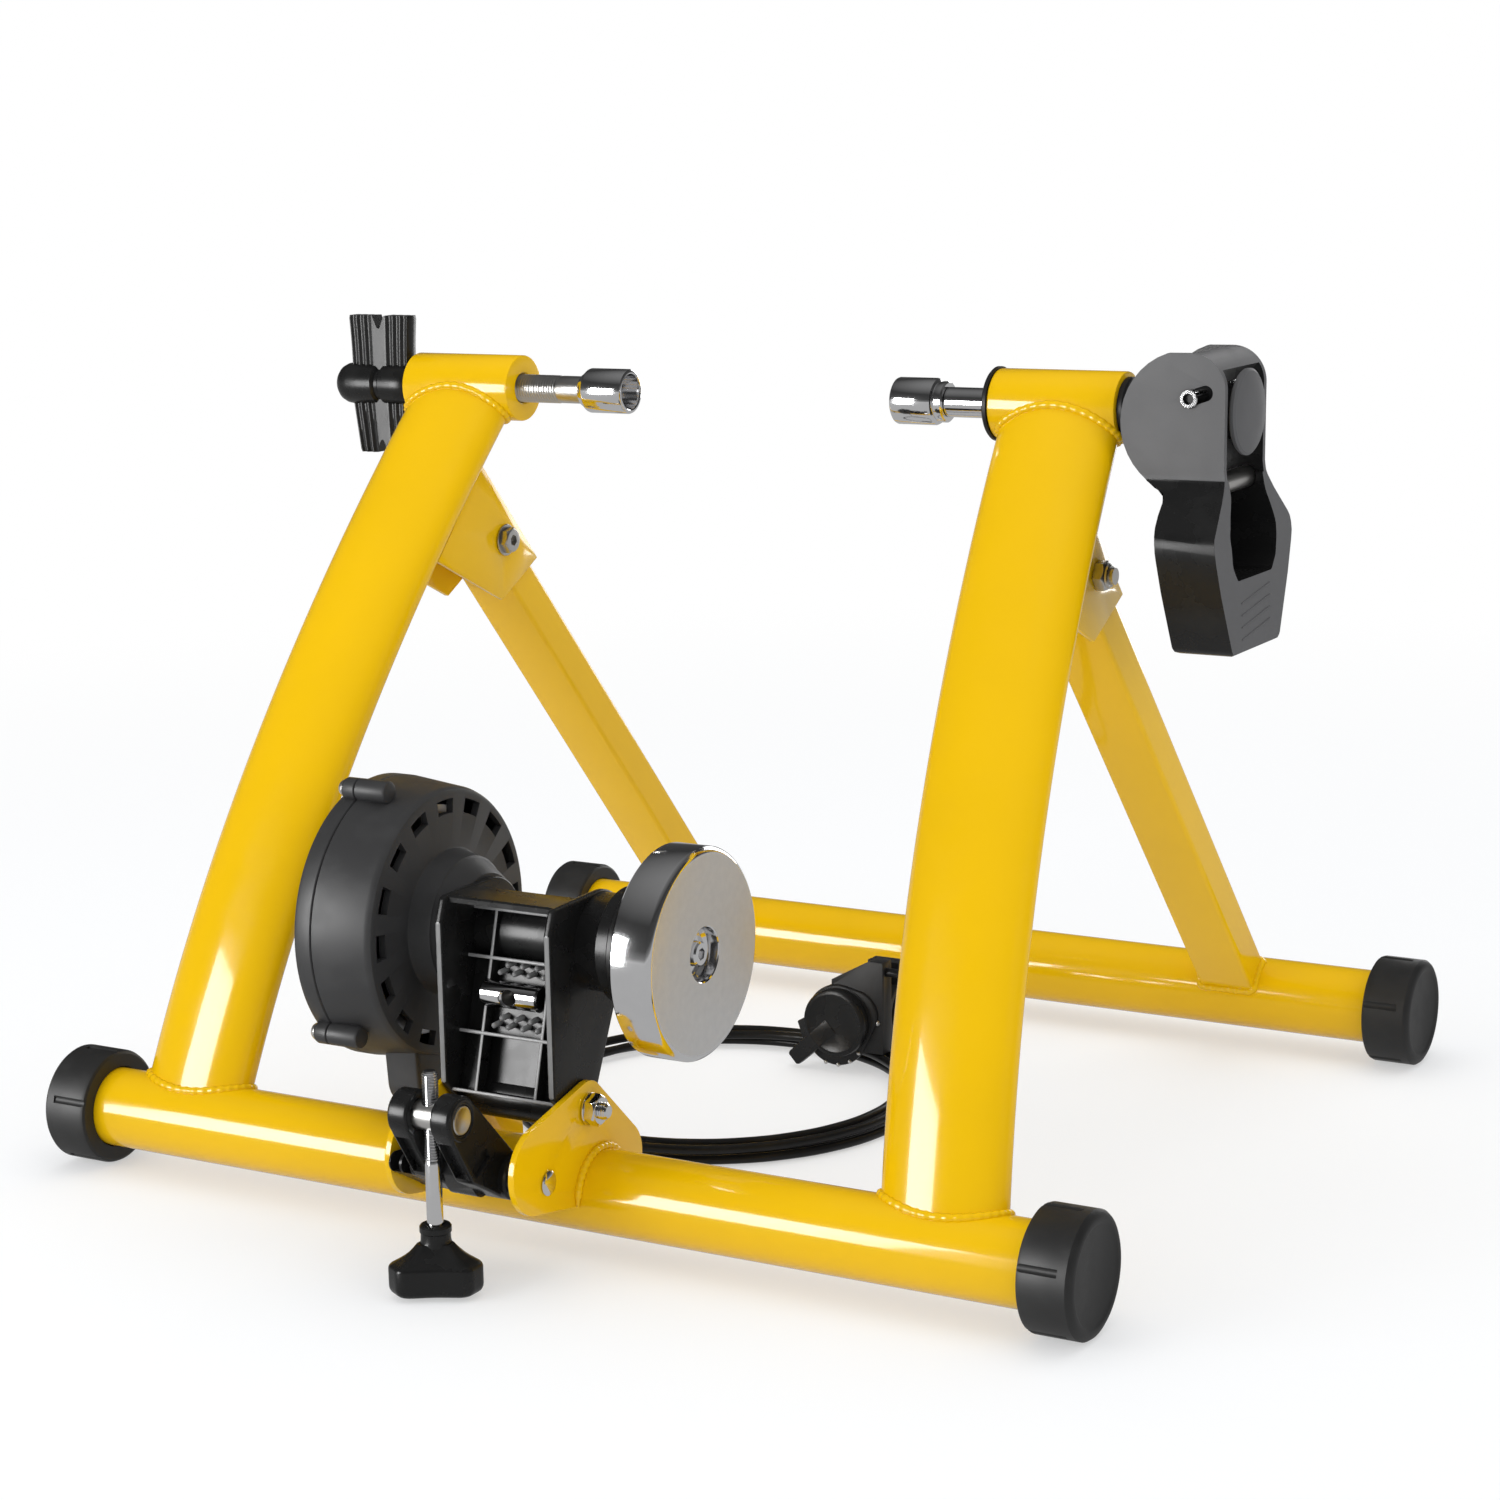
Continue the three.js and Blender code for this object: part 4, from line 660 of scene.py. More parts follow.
class Finishes:
    """The finishes of this trainer."""

    yellow = Paint("Yellow_powder_paint", "yellow_paint", (0.845, 0.505, 0.002), 0.13)
    rubber = Moulding("Black_cap_rubber", "cap_rubber", (0.015, 0.015, 0.015), 0.5, grain=0.7, sheen=0.45)
    chrome = Plating("Mirror_chrome", "chrome", (0.82, 0.82, 0.83), 0.09)
    zinc = Plating("Bright_zinc", "zinc_steel", (0.62, 0.61, 0.59), 0.3, strength=0.3)
    black = Moulding("Satin_black_moulding", "black_plastic", (0.013, 0.013, 0.0135), 0.4)
    gloss = Moulding(
        "Gloss_black_moulding", "black_plastic", (0.01, 0.01, 0.01), 0.27, grain=0.9, depth=0.015
    )
    # A pale grey that paints the highlights on the arm's front edges and the glints on its studs.
    edge = Moulding(
        "Pale_painted_highlight", "black_plastic", (0.22, 0.22, 0.22), 0.3, grain=0.9, depth=0.02, scuff=1.3
    )
    grey = Moulding(
        "Grey_textured_lever", "lever_grey", (0.098, 0.098, 0.101), 0.5, grain=0.4, scuff=1.12
    )
    drum = Moulding(
        "Charcoal_drum_moulding", "black_plastic", (0.031, 0.031, 0.032), 0.46, grain=0.6, scuff=1.2, sheen=0.4
    )
    # Satin steel, darkened well below steel's own tone to paint the shade inside the arm.
    roller = Plating("Satin_roller_with_painted_shade", "zinc_steel", (0.1, 0.1, 0.102), 0.38, strength=0.3)
    sheath = Moulding(
        "Cable_sheath", "cable_sheath", (0.008, 0.008, 0.008), 0.3, grain=1.5, depth=0.01
    )
    turned_face = Turning(
        "Turned_flywheel_face", "chrome", (0.8, 0.8, 0.8), 0.36, centre=(11.7, 138.5)
    )
    aluminium = Turning(
        "Turned_rotor", "rotor_aluminium", (0.6, 0.6, 0.61), 0.35, centre=(11.7, 138.5), pitch=1.2
    )


def handed_over(
    piece: bpy.types.Object, body: str | None, finish: Finish, *nodes: str
) -> bpy.types.Object:
    """Dresses a finished piece, sets it on its body and hides the CAD nodes that it stands for.

    Args:
        piece: the finished piece.
        body: the body that it rides on, or None for a piece that is blended between two.
        finish: what it is made of.
        nodes: the CAD nodes that it replaces.

    Returns:
        The same piece.
    """
    if not piece.data.materials:
        piece.data.materials.append(finish.mix())
    if body:
        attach(piece, body)
    if nodes:
        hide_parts(*nodes)
    log.info("%s rides on %s", piece.name, body)
    return piece


def second_finish(
    piece: bpy.types.Object, main: Finish, other: Finish, chosen: Callable[[Vector, Vector], bool]
) -> None:
    """Gives some faces another finish.

    Args:
        piece: the piece, which has no finish yet.
        main: the finish of most faces.
        other: the finish of the chosen faces.
        chosen: says of a face's centre, on the shop drawing in mm, and its normal whether it is one.
    """
    piece.data.materials.append(main.mix())
    piece.data.materials.append(other.mix())
    for face in piece.data.polygons:
        centre = face.center / MM - Vector((0, SHOP_SHIFT, 0))
        face.material_index = int(chosen(centre, face.normal))


@dataclass
class StandFrame:
    """The yellow front frame and the rear frame that folds under it, in mm on the shop drawing."""

    foot_radius: float = 19.0
    foot_wall: float = 2.0
    cap_radius: float = 27.5
    cap_length: float = 25.0
    cap_wall: float = 6.0
    front_half: float = 270.0
    rear_half: float = 265.0
    foot_height: float = 27.5
    wheelbase: float = 432.0
    axle: Pair = (203.6, 361.0)
    leg_foot: float = 200.0
    leg_top: float = 164.0
    leg_wide: float = 29.3
    leg_deep: float = 13.3
    leg_bow: float = 25.5
    sleeve_radius: float = 16.4
    sleeve_bore: float = 7.4
    sleeve_from: float = 131.8
    sleeve_to: float = 194.8
    weld: float = 1.9
    bolt: Pair = (202.0, 284.0)
    rear_x: float = 163.0
    rear_half_wide: float = 15.0
    rear_half_deep: float = 10.0

    @property
    def front_foot(self) -> Pair:
        """The front tube's axis."""
        return 0.0, self.foot_height

    @property
    def rear_foot(self) -> Pair:
        """The rear tube's axis."""
        return self.wheelbase, self.foot_height

    def foot_tube(self, name: str, half: float, at: Pair, body: str) -> None:
        """Makes a foot tube with open ends under its caps."""
        reach = half - self.cap_wall - 0.3
        inner = self.foot_radius - self.foot_wall
        stations = [(-reach + 2 * reach * i / 24, self.foot_radius) for i in range(25)]
        profile = [*stations, (reach, inner), (-reach, inner)]
        tube = bench.turned(f"{name}_painted", Axis.X, at, profile, ring=True)
        handed_over(bench.smooth(tube), body, Finishes.yellow, name)

    def foot_cap(self, name: str, side: int, half: float, at: Pair, body: str) -> None:
        """Makes a moulded cap with a rimmed face and grooves along its skirt."""
        outer, inner = half, half - self.cap_length
        r = self.cap_radius
        profile = [
            (outer - 1.3, 0),
            (outer - 1.1, r - 6.6),
            (outer - 0.4, r - 5.4),
            (outer, r - 4.2),
            (outer - 0.3, r - 2.6),
            (outer - 1.2, r - 1.0),
            (outer - 2.6, r),
            (outer - 9.0, r),
            (inner + 2.2, r),
            (inner + 0.7, r - 0.6),
            (inner, r - 1.8),
            (inner, self.foot_radius + 0.6),
            (outer - self.cap_wall, self.foot_radius + 0.3),
            (outer - self.cap_wall, 0),
        ]
        cap = bench.turned(
            f"{name}_moulded", Axis.X, at, [(side * a, radius) for a, radius in profile], steps=120
        )
        cutters = []
        for turn in (18, 90, 162, 234, 306):
            middle = on_circle(at, r + 1.2, turn)
            groove = [on_circle(middle, 2.2, 15 * i) for i in range(24)]
            reach = side * (inner - 1), side * (outer - 6.5)
            cutters.append(bench.prism("groove", Axis.X, groove, *reach))
        bench.worked(cap, "DIFFERENCE", [bench.joined(cutters[0], *cutters[1:])])
        handed_over(bench.smooth(cap, 30), body, Finishes.rubber, name)

    def leg_point(self, side: int, share: float, turn: float, skin: float = 0.0) -> Vector:
        """Finds a point of a front leg's skin.

        Args:
            side: -1 for the left leg and 1 for the right.
            share: how far up the leg.
            turn: the angle round its oval section.
            skin: how far outside the skin, in mm.

        Returns:
            The point on the shop drawing, in mm.
        """

        def middle(at: float) -> Vector:
            """Gives the leg's centreline."""
            y, z = self.axle
            return Vector(
                (
                    side * (self.leg_foot + (self.leg_top - self.leg_foot) * at),
                    y * at - 4 * self.leg_bow * at * (1 - at),
                    self.foot_height + (z - self.foot_height) * at,
                )
            )

        along = (middle(share + 0.01) - middle(share - 0.01)).normalized()
        wide = (Vector((1, 0, 0)) - along * along.x).normalized()
        deep = along.cross(wide)
        across = wide * (self.leg_wide + skin) * math.cos(turn)
        return middle(share) + across + deep * (self.leg_deep + skin) * math.sin(turn)

    def front_leg(self, name: str, side: int) -> None:
        """Makes a bowed oval leg, seated on the foot tube and the sleeve, with its two welds."""
        turns = [FULL_TURN * i / 80 for i in range(80)]
        shares = [0.012 + 0.976 * i / 48 for i in range(49)]
        rings = [[spot(*self.leg_point(side, s, t)) for t in turns] for s in shares]
        leg = bench.skinned(f"{name}_painted", rings)
        foot = bench.turned("saddle", Axis.X, self.front_foot, [(-260, 18.8), (260, 18.8)])
        top = bench.turned("saddle", Axis.X, self.axle, [(-200, 16.2), (200, 16.2)])
        bench.worked(leg, "DIFFERENCE", [foot, top])
        self.seam(f"{name}_foot_weld", side, self.front_foot, self.foot_radius, (0.0, 0.35))
        self.seam(f"{name}_sleeve_weld", side, self.axle, self.sleeve_radius, (1.0, 0.75))
        handed_over(bench.smooth(leg, 30), "front_frame", Finishes.yellow, name)

    def seam(self, name: str, side: int, at: Pair, radius: float, span: Pair) -> None:
        """Lays a weld bead where a leg meets a round tube.

        Args:
            name: the weld's name.
            side: which leg.
            at: the tube's axis.
            radius: the tube's radius.
            span: shares of the leg, from inside the tube to outside it.
        """
        path = []
        for i in range(260):
            turn = FULL_TURN * i / 260
            inside, outside = span
            for _ in range(26):
                share = (inside + outside) / 2
                _, y, z = self.leg_point(side, share, turn, 0.2)
                if math.hypot(y - at[0], z - at[1]) < radius + 0.2:
                    inside = share
                else:
                    outside = share
            path.append(spot(*self.leg_point(side, inside, turn, 0.2)))
        self.bead(name, path, "front_frame")

    def bead(self, name: str, path: Sequence[Vector], body: str) -> None:
        """Lays a rippled weld bead along a closed path."""
        ripples = round(len(path) / 7)

        def radius(share: float) -> float:
            """Swells the bead at each ripple."""
            return self.weld * (1 + 0.09 * math.sin(FULL_TURN * ripples * share))

        weld = bench.tube(name, path, radius, 10, looped=True)
        handed_over(bench.smooth(weld, 60), body, Finishes.yellow)

    def sleeve(self, name: str, side: int) -> None:
        """Makes an axle sleeve with its bore."""
        low, high = sorted((side * self.sleeve_from, side * self.sleeve_to))
        r, bore = self.sleeve_radius, self.sleeve_bore
        profile = [
            (low + 0.8, r),
            (high - 0.8, r),
            (high - 0.2, r - 0.2),
            (high, r - 0.9),
            (high, bore + 0.7),
            (high - 0.6, bore),
            (low + 0.6, bore),
            (low, bore + 0.7),
            (low, r - 0.9),
            (low + 0.2, r - 0.2),
        ]
        tube = bench.turned(f"{name}_painted", Axis.X, self.axle, profile, ring=True)
        handed_over(bench.smooth(tube), "front_frame", Finishes.yellow, name)

    def sleeve_bush(self) -> None:
        """Makes the black bush at the right sleeve's mouth."""
        outer = self.sleeve_from - 0.3
        profile = [
            (outer, 17.2),
            (outer - 1.4, 17.2),
            (outer - 2.2, 16.4),
            (outer - 2.2, 7.6),
            (outer, 7.6),
        ]
        bush = bench.turned("Sleeve_bush", Axis.X, self.axle, profile, ring=True)
        handed_over(bench.smooth(bush), "front_frame", Finishes.black, "right_sleeve_bush")

    def down_leg(self, down: float, out: float) -> Pair:
        """Gives a place by its distance down the rear leg and out from its middle."""
        run = Vector((self.rear_foot[0] - self.bolt[0], self.rear_foot[1] - self.bolt[1]))
        along = run.normalized()
        return (
            self.bolt[0] + down * along.x - out * along.y,
            self.bolt[1] + down * along.y + out * along.x,
        )

    def rear_leg(self, name: str, side: int) -> None:
        """Makes a square rear leg with rounded corners and its weld."""
        run = math.dist(self.bolt, self.rear_foot)
        deep, wide = self.rear_half_deep, self.rear_half_wide
        outline = belt([(*self.bolt, deep), (*self.down_leg(run - 4, 0), deep)], 32)
        middle = side * self.rear_x
        leg = bench.prism(f"{name}_painted", Axis.X, outline, middle - wide, middle + wide)
        bench.eased(leg, 2.2, 4)
        saddle = bench.turned("saddle", Axis.X, self.rear_foot, [(-240, 18.8), (240, 18.8)])
        bench.worked(leg, "DIFFERENCE", [saddle])
        handed_over(bench.smooth(leg, 30), "rear_frame", Finishes.yellow, name)
        path = []
        section = self.rounded(wide + 0.3, deep + 0.3, 3.0, 12)
        section = self.spread(section, 200)
        for across, out in section:
            inside, outside = run, run - 60
            for _ in range(26):
                down = (inside + outside) / 2
                y, z = self.down_leg(down, out)
                if math.dist((y, z), self.rear_foot) < self.foot_radius + 0.2:
                    inside = down
                else:
                    outside = down
            path.append(spot(middle + across, *self.down_leg(inside, out)))
        self.bead(f"{name}_weld", path, "rear_frame")

    @staticmethod
    def rounded(half_u: float, half_v: float, radius: float, steps: int) -> list[Pair]:
        """Gives a rounded rectangle's corners."""
        points = []
        for quarter, (u, v) in enumerate(((1, 1), (-1, 1), (-1, -1), (1, -1))):
            centre = u * (half_u - radius), v * (half_v - radius)
            for i in range(steps + 1):
                points.append(on_circle(centre, radius, 90 * quarter + 90 * i / steps))
        return points

    @staticmethod
    def spread(points: Sequence[Pair], count: int) -> list[Pair]:
        """Spaces points evenly round a closed outline."""
        corners = [*points, points[0]]
        lengths = [math.dist(a, b) for a, b in pairwise(corners)]
        total = sum(lengths)
        found, done, index = [], 0.0, 0
        for i in range(count):
            wanted = total * i / count
            while done + lengths[index] < wanted:
                done += lengths[index]
                index += 1
            share = (wanted - done) / lengths[index] if lengths[index] else 0
            (u0, v0), (u1, v1) = corners[index], corners[index + 1]
            found.append((u0 + (u1 - u0) * share, v0 + (v1 - v0) * share))
        return found

    def fold_bracket(self, name: str) -> None:
        """Rounds the folded bracket's bends and edges."""
        bracket = bench.from_node(name, f"{name}_painted", 2)
        bench.eased(bracket, 0.7, 2, 40)
        handed_over(bracket, "front_frame", Finishes.yellow, name)

    def build(self) -> None:
        """Builds both frames."""
        for end, half, at, body in (
            ("front", self.front_half, self.front_foot, "front_frame"),
            ("rear", self.rear_half, self.rear_foot, "rear_frame"),
        ):
            self.foot_tube(f"{end}_foot_tube", half, at, body)
            self.foot_cap(f"{end}_cap_left", -1, half, at, body)
            self.foot_cap(f"{end}_cap_right", 1, half, at, body)
        for hand, side in (("left", -1), ("right", 1)):
            self.front_leg(f"{hand}_leg", side)
            self.sleeve(f"{hand}_axle_sleeve", side)
            self.rear_leg(f"rear_{hand}_leg", side)
            self.fold_bracket(f"{hand}_fold_bracket")
        self.sleeve_bush()


@dataclass
class Hardware:
    """Bolts, nuts and washers, in mm."""

    def hexagon(self, centre: Pair, radius: float, turn: float = 0.0) -> list[Pair]:
        """Gives a hexagon's corners."""
        return [on_circle(centre, radius, turn + 60 * i) for i in range(6)]

    def hex_head(
        self, name: str, centre: Pair, radius: float, start: float, end: float, turn: float = 0.0
    ) -> bpy.types.Object:
        """Makes a hexagon head or nut whose outer corners are turned down, as on a lathe.

        Args:
            name: the piece's name.
            centre: its axis, across X.
            radius: to the hexagon's corners.
            start: the seated face's place on X.
            end: the outer face's place on X.
            turn: the hexagon's angle.

        Returns:
            The head.
        """
        head = bench.prism(name, Axis.X, self.hexagon(centre, radius, turn), start, end)
        way = 1 if end > start else -1
        flat = radius * math.cos(math.pi / 6)
        cone = bench.turned(
            "cone",
            Axis.X,
            centre,
            [
                (start - way, radius + 1),
                (end - way * 1.3, radius + 0.05),
                (end, flat * 0.93),
            ],
        )
        bench.worked(head, "INTERSECT", [cone])
        return bench.eased(head, 0.2, 2, 20)

    def washer(
        self, name: str, centre: Pair, radius: float, bore: float, start: float, end: float
    ) -> bpy.types.Object:
        """Makes a washer across X."""
        low, high = sorted((start, end))
        edge = min(0.3, (high - low) / 3)
        profile = [
            (low, bore),
            (low, radius - edge),
            (low + edge, radius),
            (high - edge, radius),
            (high, radius - edge),
            (high, bore),
        ]
        return bench.smooth(bench.turned(name, Axis.X, centre, profile, ring=True, steps=64))

    def threaded(
        self,
        name: str,
        axis: Axis,
        centre: Pair,
        radius: float,
        start: float,
        end: float,
        pitch: float,
        plain: Sequence[Pair] = (),
    ) -> bpy.types.Object:
        """Makes a rod with thread grooves from start to end, and plain stretches past its end.

        Args:
            name: the rod's name.
            axis: the rod's axis.
            centre: where the axis lies.
            radius: the rod's radius.
            start: where the thread starts.
            end: where the thread ends.
            pitch: the distance between grooves.
            plain: further profile points after the thread.

        Returns:
            The rod.
        """
        way = 1 if end > start else -1
        depth = pitch * 0.42
        profile = [(start, radius - 1.2), (start + way * 0.8, radius - depth)]
        for i in range(int(abs(end - start) / pitch) - 1):
            base = start + way * (1 + i * pitch)
            profile += [
                (base, radius - depth),
                (base + way * pitch * 0.38, radius),
                (base + way * pitch * 0.52, radius),
                (base + way * pitch * 0.9, radius - depth),
            ]
        rod = bench.turned(name, axis, centre, [*profile, *plain], steps=40)
        return bench.smooth(rod, 24)


hardware = Hardware()


@dataclass
class FoldBolts:
    """The two bolts on which the rear frame folds, in mm."""

    centre: Pair = (202.0, 284.0)
    leg_x: float = 163.0
    cheek: float = 18.3
    head: float = 6.8
    nut: float = 7.4

    def build(self) -> None:
        """Builds both bolts, each with its head inwards and its nut outwards."""
        for hand, side in (("left", -1), ("right", 1)):
            inner = side * (self.leg_x - self.cheek)
            outer = side * (self.leg_x + self.cheek)
            head = hardware.hex_head(
                f"{hand}_fold_bolt_head", self.centre, self.head, inner - side, inner - side * 5, 12
            )
            socket = bench.prism(
                "socket",
                Axis.X,
                hardware.hexagon(self.centre, 2.9, 40),
                inner - side * 2,
                inner - side * 7,
            )
            bench.worked(head, "DIFFERENCE", [socket])
            bench.smooth(head, 25)
            shank = bench.turned(
                "shank", Axis.X, self.centre, [(inner - side, 3.9), (outer + side * 8.5, 3.9)]
            )
            bench.joined(head, shank)
            washer = hardware.washer(
                f"{hand}_fold_washer", self.centre, 8.0, 4.1, inner, inner - side
            )
            handed_over(head, "front_frame", Finishes.zinc, f"{hand}_fold_bolt")
            handed_over(washer, "front_frame", Finishes.zinc)
            nut = hardware.hex_head(
                f"{hand}_fold_locknut", self.centre, self.nut, outer, outer + side * 5.2, 5
            )
            collar = bench.turned(
                "collar",
                Axis.X,
                self.centre,
                [
                    (outer + side * 5, 5.6),
                    (outer + side * 6.1, 5.4),
                    (outer + side * 6.5, 4.8),
                    (outer + side * 6.3, 4.0),
                ],
            )
            bench.joined(nut, collar)
            handed_over(bench.smooth(nut, 30), "front_frame", Finishes.zinc, f"{hand}_fold_nut")


@dataclass
class AxleClamps:
    """The cups that grip a bicycle's axle, the hand knob and the cam lever, in mm."""

    axle: Pair = (203.6, 361.0)
    left_mouth: float = -68.65
    right_mouth: float = 78.65
    pin: Pair = (234.6, 368.4)
    cup_length: float = 26.5
    cup_radius: float = 11.0
    cup_bore: float = 8.4
    spindle: float = 7.0

    def cup(self, name: str, side: int, mouth: float, body: str) -> None:
        """Makes a bored cup with a rolled lip, with a shoulder on the right cup and a taper on the left."""
        r, bore = self.cup_radius, self.cup_bore
        back = self.cup_length
        shoulder = [
            (back - 6.4, r),
            (back - 5.4, r - 0.45),
            (back - 5.0, r - 1.2),
            (back - 4.7, 9.3),
            (back - 4.0, 9.6),
            (back - 0.7, 9.6),
            (back, 8.9),
        ]
        taper = [(back - 4.4, r), (back - 3.6, r - 0.25), (back - 0.8, 8.5), (back, 8.1)]
        profile = [
            (20, 0),
            (20, 3),
            (18.6, bore - 0.4),
            (17.5, bore),
            (1.2, bore),
            (0.35, bore + 0.35),
            (0, bore + 0.95),
            (0.1, r - 0.95),
            (0.55, r - 0.3),
            (1.3, r),
            *(shoulder if side > 0 else taper),
            (back, 0),
        ]
        placed = [(mouth + side * along, radius) for along, radius in profile]
        cup = bench.turned(f"{name}_plated", Axis.X, self.axle, placed, steps=128)
        handed_over(bench.smooth(cup, 32), body, Finishes.chrome, name)

    def spindles(self) -> None:
        """Makes the threaded left spindle and the plain right one."""
        back = self.left_mouth - self.cup_length - 0.3
        left = hardware.threaded(
            "left_spindle_threaded",
            Axis.X,
            self.axle,
            self.spindle,
            -234.7,
            back - 13,
            1.5,
            [(back - 12.5, self.spindle - 0.2), (back, self.spindle - 0.2)],
        )
        handed_over(left, "left_screw", Finishes.zinc, "left_spindle")
        start = self.right_mouth + self.cup_length + 0.3
        right = bench.turned(
            "right_spindle_plated",
            Axis.X,
            self.axle,
            [(start, 7.0), (160, 7.0), (179.8, 7.0), (180.8, 6.0)],
        )
        handed_over(bench.smooth(right), "right_clamp", Finishes.chrome, "right_spindle")

    def wing_ring(self, height: float, left: float, right: float) -> list[Vector]:
        """Gives one level of a wing: a flat bar with three ribs on each half of both faces.

        Args:
            height: its height from the axle.
            left: its half width away from the stand.
            right: its half width towards the stand.
        """
        y, z = self.axle
        middle, thick, count = -217.0, 4.4, 56
        face = []
        for i in range(count + 1):
            share = i / count
            side = abs(share - 0.5) * 2
            ribs = 0.0
            if 0.24 < side < 0.97:
                ribs = 0.5 - 0.5 * math.cos(FULL_TURN * 3 * (side - 0.24) / 0.73)
            round_off = 1.2 * max(0.0, (side - 0.93) / 0.07) ** 2
            along = middle - left + (left + right) * share
            face.append((along, thick - 1.15 * ribs - round_off))
        front = [spot(x, y - deep, z + height) for x, deep in face]
        back = [spot(x, y + deep, z + height) for x, deep in reversed(face)]
        return front + back

    def hand_knob(self) -> None:
        """Makes the two-winged knob, with its ribs, hub swell and centre groove."""
        y, z = self.axle
        middle = -217.0
        wings = []
        for way in (1, -1):
            rings = []
            for i in range(19):
                share = i / 18
                reach = 5 + 30 * share
                widths = (17.5 + 1.4 * share**2, 17.5 + 1.4 * share**2)
                if way < 0:
                    widths = (18.4 - 4.2 * share, 18.2 - 0.8 * share)
                if i == 18:
                    widths = tuple(width - 0.5 for width in widths)
                rings.append(self.wing_ring(way * reach, *widths))
            wing = bench.skinned("Spindle_hand_knob", rings if way > 0 else rings[::-1])
            notch = bench.prism(
                "notch",
                Axis.Y,
                belt(
                    [
                        (middle, z + way * 29.6, 1.2),
                        (middle - 4.6, z + way * 40, 1.2),
                        (middle + 4.6, z + way * 40, 1.2),
                    ]
                ),
                y - 12,
                y + 12,
            )
            bench.worked(wing, "DIFFERENCE", [notch])
            wings.append(wing)
        hub = bench.turned(
            "hub",
            Axis.X,
            self.axle,
            [
                (-243, 5.0),
                (-242.4, 7.2),
                (-240.6, 9.0),
                (-238, 10.2),
                (-234, 10.8),
                (-227, 10.6),
                (-219.6, 10.4),
                (-218.6, 9.5),
                (-218.2, 8.8),
                (-216.2, 8.8),
                (-215.8, 9.5),
                (-214.8, 10.4),
                (-207, 10.6),
                (-201.5, 10.4),
                (-199.4, 9.4),
                (-199.0, 8.0),
            ],
        )
        knob = bench.joined(*wings, hub)
        bench.smooth(knob, 40)
        handed_over(knob, "left_screw", Finishes.gloss, "left_spindle_knob")

    def yoke(self) -> None:
        """Makes the yoke that carries the lever, with the plug seen on its end."""
        profile = [
            (195.1, 14.0),
            (197.4, 14.0),
            (198.1, 13.3),
            (198.1, 8.0),
            (224, 8.0),
            (224, 12.5),
            (250.5, 12.5),
            (250.5, 18.6),
            (251.3, 19.3),
            (252.6, 19.3),
            (253.5, 18.2),
            (254.2, 13.5),
            (254.5, 7.0),
            (254.5, 0.0),
        ]
        yoke = bench.turned("Lever_yoke", Axis.X, self.axle, profile, steps=128)
        second_finish(
            bench.smooth(yoke, 30),
            Finishes.black,
            Finishes.grey,
            lambda centre, normal: centre.x > 250.6,
        )
        handed_over(yoke, "front_frame", Finishes.black, "release_yoke")

    def lever_pin(self) -> None:
        """Makes the pin that the lever turns on, a socket screw's ring at each end."""
        y = self.axle[0]
        ends = []
        for side in (-1, 1):
            out = [
                (0, 3.0),
                (25.1, 3.0),
                (25.2, 3.8),
                (25.7, 4.2),
                (26.4, 4.2),
                (26.8, 3.8),
                (26.8, 2.5),
                (24.6, 2.3),
                (24.6, 0.0),
            ]
            profile = [(y + side * along, radius) for along, radius in out]
            ends.append(bench.turned("Lever_pin", Axis.Y, self.pin, profile, steps=48))
        pin = bench.joined(*ends)
        # The black finish inside the recess at each end paints the shade of the screw's socket.
        second_finish(
            bench.smooth(pin, 30),
            Finishes.chrome,
            Finishes.black,
            lambda at, normal: math.dist((at.x, at.z), self.pin) < 2.4,
        )
        handed_over(pin, "front_frame", Finishes.chrome, "lever_pin")

    def cam_lever(self) -> None:
        """Makes the cam lever: two grey cheeks under a roof, and a flared pull with a window."""
        y, z = self.axle
        wall, half, reach = 3.0, 25.0, 47.0

        def below(drop: float) -> float:
            """Gives a height by its drop from the axle."""
            return z - drop

        def mirrored(halves: Iterable[Pair]) -> list[Pair]:
            """Gives a closed outline by its half widths at its drops, from the lowest up."""
            rows = list(halves)
            right = [(y + width, below(drop)) for drop, width in rows]
            return right + [(y - width, below(drop)) for drop, width in reversed(rows)]

        rim = [on_circle((0, 0), 31.6, 108 + 9 * i) for i in range(17)]
        cheek = belt(
            [
                *((234 + dx, below(3.5) + dz, 0.6) for dx, dz in rim),
                (235.3, z + 11.3, 16),
                (247.5, below(24), 3.5),
            ],
            96,
        )
        handle = [
            (225.0, below(24)),
            (223.9, below(29.5)),
            (224.4, below(35.4)),
            (225.3, below(38)),
            (225.4, below(43)),
            (226.0, below(47.5)),
            (227.2, below(52)),
            (227.6, below(56)),
            (227.9, below(62)),
            (229.0, below(103.5)),
            (229.5, below(105.4)),
            (231.3, below(106)),
            (255.8, below(106)),
            (257.2, below(105.3)),
            (257.5, below(103.8)),
            (256.0, below(58)),
            (255.0, below(49)),
            (251.6, below(29)),
            (251.0, below(24)),
        ]
        outline = [
            (106, 25.5),
            (105.1, 27.6),
            (103, 29.5),
            (77, 41),
            (62, 46.2),
            (58.5, 47),
            (54.5, 47.1),
            (51.5, 46.2),
            (49, 44),
            (37, 31.6),
            (33, 28.2),
            (30.3, 26.1),
            (28.4, 25.2),
            (27, 25),
            (-30, 25),
        ]
        lever = bench.prism("Cam_release_lever", Axis.Y, cheek, y - reach - 1, y + reach + 1)
        pull = bench.prism("pull", Axis.Y, handle, y - reach - 1, y + reach + 1)
        shape = bench.prism("shape", Axis.X, mirrored(outline), 190, 260)
        bench.worked(lever, "UNION", [pull])
        bench.worked(lever, "INTERSECT", [shape])
        inner = half - wall
        throat = bench.prism(
            "throat",
            Axis.Y,
            belt(
                [
                    (197, z + 11.3, wall),
                    (235.3, z + 11.3, 16 - wall),
                    (262, z + 11.5, wall),
                    (262, below(26), wall),
                    (197, below(26), wall),
                ],
                96,
            ),
            y - inner,
            y + inner,
        )
        behind = bench.block("behind", (190, y - inner, z), (235.3, y + inner, z + 31))
